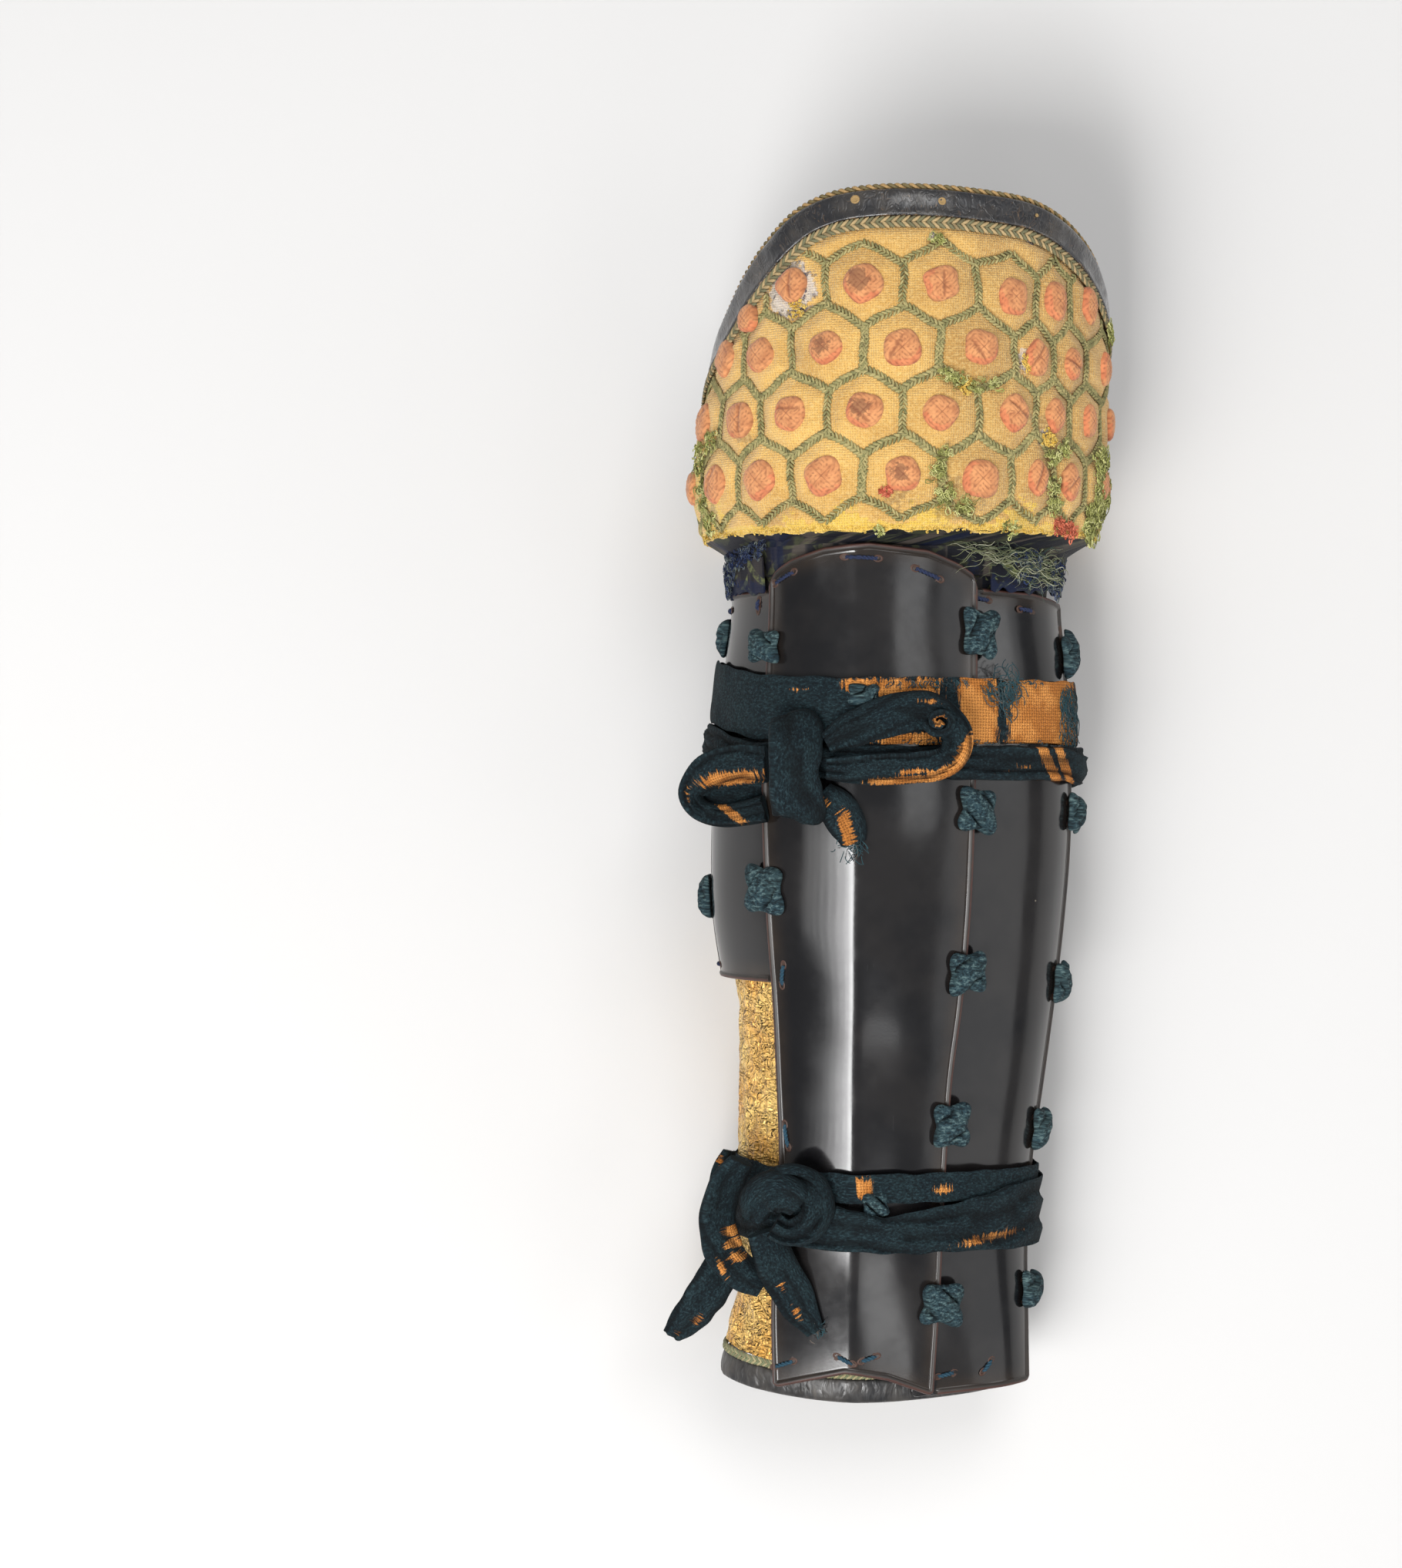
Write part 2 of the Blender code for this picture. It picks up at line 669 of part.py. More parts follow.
def build_knee_edge():
    leather = material("border_leather", (0.013, 0.013, 0.014), 0.35)
    braid = material("herringbone_braid", (0.35, 0.30, 0.17), 0.85)
    base = CLOTH + 1.6 * SEAM
    edge_strip("knee_border", (CLOTH_EDGE, CLOTH_EDGE + 2, KNEE_BORDER), (base,) * 3, (3.1, 3.6, 3.4), 8.5, leather)
    start = KNEE_BORDER + SEAM
    edge_strip("knee_braid", (start, start + BRAID_WIDTH / 2, start + BRAID_WIDTH), (base,) * 3, (3.4, 4.2, 3.3), 8.5, braid)
    places = np.array(edge_places(8.5))
    into = edge_normals(places)
    rings = []
    for (s, y), (ds, dy) in zip(places, into):
        ring_points = []
        for turn in np.arange(6) * math.pi / 3:
            depth = CORD_RADIUS * (1 + math.cos(turn))
            y_here = y + dy * depth
            s_here = within_rear(s + ds * depth, y_here)
            ring_points.append(KNEE.at(s_here, y_here, 1.6 + CORD_RADIUS * math.sin(turn)))
        rings.append(ring_points)
    swept("knee_cord", rings, material("edge_cord", (0.22, 0.15, 0.07), 0.85))


def build_seam_roll():
    """A folded roll of brocade that fills the step between the shin cloth and the wider knee guard."""
    rings = []
    for share in np.linspace(-1, 1, 45):
        side = -1 if share < 0 else 1
        knee_s = share * knee_rear(side, KNEE_LOW)
        shin_s = share * SHIN.mark("side", side, ROLL_LOW)
        under_plate = smoothstep((58 - abs(shin_s - 5)) / 14)
        bulge = 4.6 - 3.0 * under_plate
        step_y = 96.0 * under_plate + 93.0 * (1 - under_plate)
        seam_in = KNEE.at(knee_s, KNEE_LOW - SEAM, 0.0)
        seam_out = KNEE.at(knee_s, KNEE_LOW - SEAM, CLOTH)
        rings.append(
            [
                SHIN.at(shin_s, ROLL_LOW, 2 * SEAM),
                SHIN.at(shin_s, SHIN_TOP, 2 * SEAM),
                seam_in,
                seam_out,
                SHIN.at(shin_s, step_y, bulge),
                SHIN.at(shin_s, 89.0, bulge + 0.1),
                SHIN.at(shin_s, ROLL_LOW + 1.0, 0.6 * bulge),
            ]
        )
    swept("seam_roll", rings, material("navy_brocade_roll", (0.03, 0.035, 0.08), 0.75))


# The shin cloth, the gold leather and the hem


def hem(s):
    return float(curve_through(HEM_ROWS, 1, s))


def columns_between(first, last, count):
    return lambda y: np.linspace(first(y), last(y), count)


def cloth_end(side):
    return lambda y: side * SHIN.mark("end", side, y)


def build_shin_cloth():
    brocade = material("navy_brocade", (0.03, 0.035, 0.08), 0.75)
    low = -214.0
    ys = [*np.linspace(low, GOLD_TOP, 8), 10, 40, 64, 77, ROLL_LOW, SHIN_TOP]
    inner_side = columns_between(cloth_end(-1), lambda y: GOLD_FRONT_S, 12)
    outer_side = columns_between(lambda y: GOLD_FRONT_S, cloth_end(1), 16)
    s_grid = np.array([[*inner_side(y)[:-1], *outer_side(y)] for y in ys])
    y_grid = np.repeat(np.array(ys)[:, None], s_grid.shape[1], axis=1)
    lowest = HEM_LEATHER + HEM_BRAID + 2 * SEAM
    for c in range(s_grid.shape[1]):
        y_grid[0, c] = hem(s_grid[0, c]) + lowest
    gold_columns = 11
    gold_rows = 7
    grid_wall(
        "shin_cloth",
        SHIN,
        s_grid,
        y_grid,
        lambda s, y: -CLOTH,
        lambda s, y: 0.0,
        brocade,
        lambda c, r: c >= gold_columns or r >= gold_rows,
    )


def leather_fold(s, y):
    """The slanting fold and the sag of the soft leather between the plates and the lower tie."""
    slant = (s + 75) * 0.55 + (y + 178)
    fold = -2.4 * math.exp(-((slant / 7) ** 2)) * smoothstep((-38 - s) / 18)
    return fold * smoothstep((y + 212) / 14)


def build_gold_leather():
    gilt = material("gilt_leather", (0.62, 0.36, 0.10), 0.35, 0.6)
    ys = np.linspace(-214.0, GOLD_TOP - SEAM, 13)
    s_grid = np.array([np.linspace(-SHIN.mark("end", -1, y), GOLD_FRONT_S - SEAM, 13) for y in ys])
    y_grid = np.repeat(ys[:, None], s_grid.shape[1], axis=1)
    for c in range(s_grid.shape[1]):
        y_grid[0, c] = hem(s_grid[0, c]) + HEM_LEATHER + HEM_BRAID + 2 * SEAM
    grid_wall(
        "gold_leather",
        SHIN,
        s_grid,
        y_grid,
        lambda s, y: leather_fold(s, y) - CLOTH,
        leather_fold,
        gilt,
    )


def build_hem():
    leather = material("hem_leather", (0.02, 0.02, 0.02), 0.45)
    braid = material("hem_braid", (0.30, 0.26, 0.14), 0.85)
    y_ref = -216.0
    s_row = np.linspace(-SHIN.mark("end", -1, y_ref) + 0.4, SHIN.mark("end", 1, y_ref) - 0.4, 31)
    low = np.array([hem(s) for s in s_row])

    def shown(s):
        return smoothstep((-34 - s) / 6)

    def band(name, start, width, mat, rise):
        s_grid = np.array([s_row] * 3)
        y_grid = np.array([low + start, low + start + width / 2, low + start + width])
        grid_wall(name, SHIN, s_grid, y_grid, lambda s, y: -CLOTH, lambda s, y: rise * shown(s), mat)

    band("hem_leather", 0.0, HEM_LEATHER, leather, 0.5)
    band("hem_braid", HEM_LEATHER + SEAM, HEM_BRAID, braid, 1.2)


# Lacing knots and ties


def cushion(name, s, y, width, height, lift, rise, corner_reach, waist_reach, mat):
    """A puffed knot that lies on the form: twelve outline points, further out at the corners than at the waists."""
    outline = []
    for k in range(12):
        turn = (k + 0.5) * math.pi / 6
        corner = abs(math.sin(2 * turn)) ** 2
        reach = waist_reach + (corner_reach - waist_reach) * corner
        outline.append((reach * math.cos(turn) / 2, reach * math.sin(turn) / 2))
    rings = []
    for scale, share in ((0.94, 0.0), (1.0, 0.4), (0.66, 0.95)):
        rings += [SHIN.at(s + width * a * scale, y + height * b * scale, lift + share * rise) for a, b in outline]
    count = len(outline)
    points = [SHIN.at(s, y, lift), *rings, SHIN.at(s, y, lift + rise)]
    faces = [(0, 1 + (k + 1) % count, 1 + k) for k in range(count)]
    for layer in range(2):
        a = 1 + count * layer
        b = a + count
        faces += [(a + k, a + (k + 1) % count, b + (k + 1) % count, b + k) for k in range(count)]
    last = 1 + 2 * count
    faces += [(last + k, last + (k + 1) % count, len(points) - 1) for k in range(count)]
    return add_solid(name, points, faces, mat)


def build_lacing(mat):
    for number, (seam, y, width, height, clearance) in enumerate(LACING_ROWS, 1):
        s = SEAMS[seam](y)
        lift = max(stack_top(s + width * a, y + height * b, 1.0) for a in (-0.5, 0, 0.5) for b in (-0.5, 0, 0.5))
        cushion(f"lacing_{number:02d}", s, y, width, height, lift + clearance, LACING_RISE, 1.25, 0.82, mat)


class Belt:
    """A stretch of tie that runs once round the guard, over the plates and under the flaps."""

    def __init__(self, name, rows, stack, samples=44):
        self.name = name
        self.rows = np.asarray(rows, float)
        self.stack = stack
        self.samples = samples

    def at_share(self, share, column):
        return float(np.interp(share, self.rows[:, 0], self.rows[:, column]))

    def place(self, share):
        y = self.at_share(share, 1)
        side = 1 if share > 0 else -1
        return share * SHIN.mark("end", side, y), y

    def lifts(self):
        """The lift of its inner face at each sample: over the highest edge near it, eased between."""
        shares = np.linspace(-1, 1, 4 * self.samples + 1)
        raw = []
        for share in shares:
            s, y = self.place(share)
            half = self.at_share(share, 2) / 2
            raw.append(max(stack_top(s, y + dy, 0.8) for dy in (-half, 0.0, half)))
        raw = np.pad(raw, 12, mode="edge")
        highest = np.array([raw[k - 6 : k + 7].max() for k in range(6, len(raw) - 6)])
        eased = np.array([highest[k - 6 : k + 7].mean() for k in range(6, len(highest) - 6)])
        return shares[::4], eased[::4]

    def build(self, mat):
        rings = []
        for share, lift in zip(*self.lifts()):
            s, y = self.place(share)
            width = self.at_share(share, 2)
            thick = self.at_share(share, 3)
            on_flap = abs(share) > 0.9
            on_plates = smoothstep((0.86 - abs(share)) / 0.1)
            low = lift + 2 * SEAM + on_plates * (0.5 + self.stack)
            ring = []
            for a, b in ((-0.5, 0.0), (0.5, 0.0), (0.5, 0.75), (0.0, 1.0), (-0.5, 0.75)):
                x, y_here, z = SHIN.at(s, y + width * a, low + thick * b)
                b = round(b) if on_flap else b
                floor = (1 - b) * TIE
                ring.append((x, y_here, floor if on_flap else max(z, floor)))
            rings.append(ring)
        return swept(self.name, rings, mat, closed=True)


# Columns of a belt: share of the way round to each flap's end, y of its middle, width, thickness.
UPPER_FLAT = (
    (-1.00, 37.0, 22, TIE),
    (-0.62, 42.7, 22.6, TIE),
    (-0.42, 42.7, 22.6, TIE),
    (-0.20, 36.0, 24, TIE),
    (0.00, 34.4, 24, TIE),
    (0.60, 34.4, 24, TIE),
    (1.00, 37.0, 22, TIE),
)
UPPER_SECOND = (
    (-1.00, 18.0, 14, TIE),
    (-0.84, 21.0, 14, TIE),
    (-0.62, 23.8, 14, 3.5),
    (-0.42, 23.8, 14, 3.5),
    (-0.20, 17.2, 12.6, 4.0),
    (0.00, 15.6, 12.4, 4.5),
    (0.35, 15.6, 12.4, 5.5),
    (0.62, 14.0, 15.0, 5.0),
    (0.84, 15.0, 14, TIE),
    (1.00, 18.0, 14, TIE),
)
LOWER_UNDER = (
    (-1.00, -140.0, 14, TIE),
    (-0.80, -140.0, 14, 1.3),
    (-0.40, -139.5, 16, 1.3),
    (0.00, -141.0, 11, 1.3),
    (0.80, -141.0, 11, 1.3),
    (1.00, -140.0, 14, TIE),
)
LOWER_OVER = (
    (-1.00, -159.0, 19, TIE),
    (-0.80, -158.5, 18, TIE),
    (-0.40, -152.0, 18, TIE),
    (-0.20, -156.0, 13, 2.6),
    (0.00, -158.5, 13.5, 3.0),
    (0.40, -153.5, 25, 2.2),
    (0.60, -152.5, 27, 2.0),
    (0.75, -158.5, 20, TIE),
    (1.00, -159.0, 19, TIE),
)
BELTS = (
    Belt("upper_tie_flat", UPPER_FLAT, 0.0),
    Belt("upper_tie_second", UPPER_SECOND, 0.0),
    Belt("lower_tie_under", LOWER_UNDER, 0.0),
    Belt("lower_tie_over", LOWER_OVER, 1.9),
)

# Free stretches of the ties, along their middle. Columns: x, y, z, width, thickness, roll in degrees.
UPPER_RIGHT_LOOP = (
    (-25.0, 22.6, 137.0, 7.0, 5.0, 0),
    (-15.0, 28.0, 138.0, 11.0, 4.0, 0),
    (-4.0, 32.0, 137.5, 13.0, 3.6, 0),
    (8.0, 34.0, 136.0, 13.0, 3.6, 0),
    (17.0, 32.0, 135.0, 12.0, 4.0, 0),
    (22.5, 25.0, 134.5, 10.0, 4.6, 0),
    (19.0, 16.8, 137.0, 10.0, 4.4, 0),
    (7.5, 14.0, 138.5, 10.5, 4.4, 0),
    (-9.0, 13.0, 139.3, 10.0, 4.4, 0),
    (-25.0, 13.6, 138.0, 7.5, 5.0, 0),
)
UPPER_LEFT_LOOP = (
    (-50.5, 15.0, 119.8, 12.0, 4.5, 0),
    (-58.0, 14.5, 115.8, 14.0, 4.2, 0),
    (-68.0, 12.0, 111.0, 14.0, 4.0, 0),
    (-75.0, 5.5, 107.0, 11.0, 4.0, 0),
    (-71.5, -1.8, 106.5, 9.0, 4.5, 0),
    (-61.0, -4.0, 107.5, 9.0, 4.5, 0),
    (-50.0, -1.5, 113.5, 9.0, 4.5, 0),
)
UPPER_TAIL = (
    (-24.5, 3.5, 129.8, 9.0, 3.0, 0),
    (-20.0, -1.5, 131.3, 13.0, 2.6, 0),
    (-16.5, -7.0, 132.0, 13.0, 2.2, 0),
    (-14.5, -12.5, 131.8, 8.0, 2.0, 0),
)
LOWER_LEFT_END = (
    (-59.0, -129.5, 76.0, 8.0, 3.0, 60),
    (-61.2, -136.0, 76.0, 15.0, 3.5, 60),
    (-62.0, -144.0, 75.0, 16.0, 3.5, 60),
    (-60.5, -152.0, 74.0, 12.0, 3.0, 60),
)
LOWER_STRIP = (
    (-57.0, -131.0, 100.0, 10.0, 4.0, 25),
    (-61.5, -140.0, 96.0, 13.0, 3.6, 25),
    (-64.0, -152.0, 92.0, 14.0, 3.4, 25),
    (-62.5, -165.0, 89.0, 14.0, 3.4, 15),
    (-55.0, -174.0, 88.5, 12.0, 3.4, 0),
    (-47.0, -178.5, 88.5, 8.0, 3.0, 0),
)
LOWER_LEFT_TAIL = (
    (-60.5, -170.5, 85.4, 12.0, 3.2, 10),
    (-67.0, -182.0, 80.5, 14.0, 3.0, 10),
    (-76.0, -194.5, 73.0, 12.0, 2.8, 15),
    (-82.0, -201.0, 67.0, 6.0, 2.4, 15),
)
LOWER_RIGHT_TAIL = (
    (-45.5, -164.2, 96.2, 9.0, 3.4, 0),
    (-40.0, -174.0, 93.7, 12.0, 3.0, 0),
    (-34.5, -186.0, 91.0, 12.0, 2.8, 0),
    (-27.0, -196.5, 89.0, 5.0, 2.4, 0),
)


def smooth_path(rows, parts=3):
    """More rows on a smooth curve through a ribbon's own rows."""
    table = np.asarray(rows, float)
    numbered = np.column_stack([np.arange(len(table)), table])
    at = np.linspace(0, len(table) - 1, parts * (len(table) - 1) + 1)
    return np.column_stack([[curve_through(numbered, column, t) for t in at] for column in range(1, table.shape[1] + 1)])


def ribbon(name, rows, mat, sides=8):
    """A soft strip of oval section along a path, level across unless it is rolled."""
    path = smooth_path(rows)
    spine = path[:, :3]
    along = np.gradient(spine, axis=0)
    along /= np.linalg.norm(along, axis=1)[:, None]
    rings = []
    for centre, way, (width, thick, roll) in zip(spine, along, path[:, 3:]):
        across = np.cross(way, (0, 0, 1))
        across /= np.linalg.norm(across)
        up = np.cross(across, way)
        tilt = math.radians(roll)
        wide = across * math.cos(tilt) + up * math.sin(tilt)
        high = up * math.cos(tilt) - across * math.sin(tilt)
        turns = np.arange(sides) * 2 * math.pi / sides + math.pi / sides
        rings.append([centre + wide * width / 2 * math.cos(a) + high * thick / 2 * math.sin(a) for a in turns])
    return swept(name, rings, mat)


def build_ties(mat):
    for belt in BELTS:
        belt.build(mat)
    cushion("upper_tie_knot", -21.0, 14.5, 18, 37, 11.7, 10.0, 1.3, 0.98, mat)
    cushion("lower_tie_knot", -20.5, -146.0, 28, 32, 12.2, 10.5, 1.08, 1.0, mat)
    ribbon("upper_tie_right_loop", UPPER_RIGHT_LOOP, mat)
    ribbon("upper_tie_left_loop", UPPER_LEFT_LOOP, mat)
    ribbon("upper_tie_tail", UPPER_TAIL, mat)
    ribbon("lower_tie_left_end", LOWER_LEFT_END, mat)
    ribbon("lower_tie_strip", LOWER_STRIP, mat)
    ribbon("lower_tie_left_tail", LOWER_LEFT_TAIL, mat)
    ribbon("lower_tie_right_tail", LOWER_RIGHT_TAIL, mat)


def main():
    build_knee_cloth()
    build_knee_lining()
    build_knee_edge()
    build_seam_roll()
    build_shin_cloth()
    build_gold_leather()
    build_hem()
    build_plates()
    crepe = material("teal_crepe", (0.010, 0.035, 0.045), 0.9)
    build_lacing(crepe)
    build_ties(crepe)


clear_scene()
PARTS = bpy.data.collections.new("shin_guard")
bpy.context.scene.collection.children.link(PARTS)
main()
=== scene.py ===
"""Looks of a samurai shin guard with its knee guard, for the left leg, lying on its back on a pale floor.

Sizes are in millimetres until add_mesh turns them into metres. A place on the guard is (s, y): s runs
round the form from its front line, + to the outer side, y runs towards the knee, and a lift moves a
point out from the form.
"""

import json
import math

import bpy
import numpy as np
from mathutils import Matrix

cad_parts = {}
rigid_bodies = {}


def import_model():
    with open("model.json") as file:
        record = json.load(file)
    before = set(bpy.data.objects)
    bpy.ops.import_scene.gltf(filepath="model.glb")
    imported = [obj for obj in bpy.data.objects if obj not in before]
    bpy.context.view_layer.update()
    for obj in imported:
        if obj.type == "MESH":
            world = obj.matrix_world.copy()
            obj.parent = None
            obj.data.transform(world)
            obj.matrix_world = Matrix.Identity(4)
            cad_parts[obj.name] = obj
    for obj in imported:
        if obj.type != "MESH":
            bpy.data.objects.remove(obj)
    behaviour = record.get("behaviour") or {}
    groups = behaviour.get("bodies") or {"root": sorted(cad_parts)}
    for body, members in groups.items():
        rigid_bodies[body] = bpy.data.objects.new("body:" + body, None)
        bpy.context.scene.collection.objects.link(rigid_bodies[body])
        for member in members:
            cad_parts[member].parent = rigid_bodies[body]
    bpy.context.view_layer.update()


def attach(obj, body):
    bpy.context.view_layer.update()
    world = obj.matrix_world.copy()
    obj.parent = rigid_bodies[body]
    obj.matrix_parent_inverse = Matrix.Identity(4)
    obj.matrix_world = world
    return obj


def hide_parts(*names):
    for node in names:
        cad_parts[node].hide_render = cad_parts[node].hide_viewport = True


for ob in list(bpy.data.objects):
    bpy.data.objects.remove(ob, do_unlink=True)
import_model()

MM = 0.001
SEAM = 0.3
# The floor is the lowest that a point may be.
LOWEST = (-1e9, -1e9, 0.0)

# Columns: y, where the left and right sides stand, the height of the front line, the height of the back.
SHIN_ROWS = (
    (-228, -64.5, 51.5, 77, 8), (-199, -59.5, 50.5, 83, 6), (-167, -56.5, 49.5, 91, 2.1),
    (-136, -56, 50.8, 97.5, 2.1), (-104, -55.5, 55, 104, 2.1), (-73, -56, 58.8, 111.5, 2.1),
    (-42, -60.3, 62, 119, 2.1), (-13, -61, 64, 123.5, 2.1), (17, -59.8, 64, 125.5, 2.1),
    (50, -56.3, 62.3, 126.3, 2.1), (77, -53.5, 60, 127, 5), (98, -56, 64, 129, 7),
)
KNEE_ROWS = (
    (96, -66, 75, 137, 0), (117, -69.5, 78, 142, 0), (140, -67.5, 78.5, 143.5, 0),
    (172, -62, 79.5, 142.5, 0), (200, -59, 78, 138.5, 0), (228, -57, 76, 132, 0),
)
# Columns: share of the front's height, y of the upper edge on the inner side, y on the outer side.
KNEE_EDGE_ROWS = (
    (0, 114, 114), (0.09, 124.5, 127), (0.18, 139.5, 144), (0.3, 152.5, 161), (0.48, 167, 181),
    (0.6, 176.5, 192), (0.68, 184.5, 201), (0.75, 194.5, 208), (0.83, 206, 215.5), (0.9, 216, 220.5),
    (0.97, 222.5, 222.8), (1, 224, 224),
)
FRONT_SHARE = 0.46
SIDE_TAPER = 8.0
KNEE_LOW = 99.0
KNEE_EDGE_LOW = 114.0
CLOTH = 2.0

HEX_PITCH = 27.0
HEX_SIDE = HEX_PITCH / math.sqrt(3)
HEX_ROWS = ((187.2, -2, 3, True), (164, -3, 4, False), (141, -4, 4, True), (118, -4, 4, False))
PAD_RISE = 1.6
BOSS_RISE = 2.5
BOSS_RADIUS = 6.7
BORDER_END = 12.3
BRAID_WIDTH = 3.8
CORD_PLY = 0.62

HEM_ROWS = (
    (-150, -213), (-90, -214.5), (-60, -217), (-30, -221.5), (0, -224), (40, -222.5), (80, -219),
    (140, -214),
)
HEM_LEATHER = 9.2
HEM_BRAID = 2.8
SHIN_TOP = 94.0
CLOTH_LOW = -214.0
HEM_MIDDLE = -216.0
ROLL_LOW = 84.0
GOLD_FRONT_S = -20.0
GOLD_TOP = -21.0

# Columns: y, s of the centre plate's inner edge, s of its outer edge.
CENTRE_ROWS = (
    (-220, -28, 30.3), (-189, -29, 32), (-130, -26.5, 34.2), (-101, -28, 36), (-72, -30, 39.6),
    (-43, -32.5, 42), (0, -35, 43.7), (79, -33.5, 44.7), (96, -33.5, 44.7),
)
CENTRE_TOP = (
    (0, 81.8), (0.06, 86.5), (0.14, 89.8), (0.3, 93.5), (0.48, 95.1), (0.75, 92.8), (0.9, 88.2),
    (0.97, 84.8), (1, 80),
)
CENTRE_LOW = ((0, -218.6), (0.2, -215.5), (0.45, -212), (0.7, -214.8), (1, -221.6))
INNER_1_TOP = ((0, 79.5), (1, 79))
INNER_1_LOW = ((0, -65.5), (1, -64.5))
INNER_2_TOP = ((0, 79), (0.4, 79), (0.7, 75), (0.87, 66), (1, 46))
INNER_2_LOW = ((0, -61.5), (0.6, -60), (1, -52))
OUTER_1_TOP = ((0, 80), (0.6, 78.5), (1, 75))
OUTER_1_LOW = ((0, -222), (1, -219))
OUTER_2_TOP = ((0, 76), (0.7, 73), (0.88, 65), (1, 48))
OUTER_2_LOW = ((0, -218.5), (0.8, -215), (1, -208))
PLATE = 1.6
TUCKED_LIFT = 0.65
OVER_LIFT = 3.4
REAR_LIFT = 1.0
RIM_RISE = 0.8
RIM_WIDTH = 2.2
TUCK = 8.0
PLATE_CORNER = 3.5
HOLE_WEAR = 2.1

# Columns: seam, y, width, height, clearance over the highest edge below it.
LACING_ROWS = (
    ("centre_outer", 63, 14, 18, 0.8), ("centre_outer", -1.5, 15, 17, 0.8),
    ("centre_outer", -61, 15, 17, 0.8), ("centre_outer", -118, 15, 17, 0.8),
    ("centre_outer", -186, 17, 17, 0.8), ("outer_seam", 56.5, 13, 17, 0.8),
    ("outer_seam", -3, 13, 15, 0.8), ("outer_seam", -66.8, 13, 17, 0.8),
    ("outer_seam", -122.5, 13, 17, 0.8), ("outer_seam", -184, 13, 15, 0.8),
    ("centre_inner", 58.5, 15, 13, 0.8), ("centre_inner", -30.8, 18, 19, -0.1),
    ("inner_seam", 64, 13, 16, 0.8), ("inner_seam", -34.6, 14, 18, 0.8),
)
LACING_RISE = 3.4
# Stitches that hold the ties in place. Columns: s, y, lift, size.
CARRIER_ROWS = ((2.5, 40, 8, 8.5), (7.2, -147, 7.4, 9.5))
TIE = 1.7


def tone(red, green, blue):
    """A colour as it looks on screen, turned into the linear one that the shaders take."""
    return (*(((c + 0.055) / 1.055) ** 2.4 if c > 0.04045 else c / 12.92 for c in (red, green, blue)), 1.0)


def curve_through(rows, column, x):
    """Reads a table's column at x from a smooth curve through its rows."""
    table = np.asarray(rows, float)
    at = table[:, 0]
    value = table[:, column]
    slope = np.gradient(value, at)
    x = np.clip(x, at[0], at[-1])
    i = np.clip(np.searchsorted(at, x) - 1, 0, len(at) - 2)
    span = at[i + 1] - at[i]
    t = (x - at[i]) / span
    start = (2 * t**3 - 3 * t**2 + 1) * value[i] + (t**3 - 2 * t**2 + t) * span * slope[i]
    return start + (3 * t**2 - 2 * t**3) * value[i + 1] + (t**3 - t**2) * span * slope[i + 1]


def line_through(rows, x):
    """Reads a table's second column at x from straight lines through its rows."""
    table = np.asarray(rows, float)
    return np.interp(x, table[:, 0], table[:, 1])


def smoothstep(x):
    """Eases from 0 at 0 to 1 at 1."""
    x = np.clip(x, 0.0, 1.0)
    return x * x * (3 - 2 * x)


def ripple(x, y, size, seed, waves=7):
    """Smooth unevenness between about -1 and 1, whose bumps are about size across."""
    chance = np.random.default_rng(seed)
    total = 0.0
    for _ in range(waves):
        turn = chance.uniform(0, 2 * math.pi)
        pitch = 2 * math.pi / (size * chance.uniform(1.3, 3.2))
        way = x * math.cos(turn) + y * math.sin(turn)
        total = total + np.sin(pitch * way + chance.uniform(0, 2 * math.pi))
    return total / math.sqrt(waves * 2)


def run_along(x, y):
    """The length from the first point of a line to each of its points."""
    return np.concatenate([[0], np.cumsum(np.hypot(np.diff(x), np.diff(y)))])


def ring(count):
    """Angles evenly spaced round a circle."""
    return np.arange(count) * 2 * math.pi / count


def pattern_at(s, y):
    """Places as points, for a shader to lay its pattern out on."""
    return np.stack([s, y, 0 * s], -1)


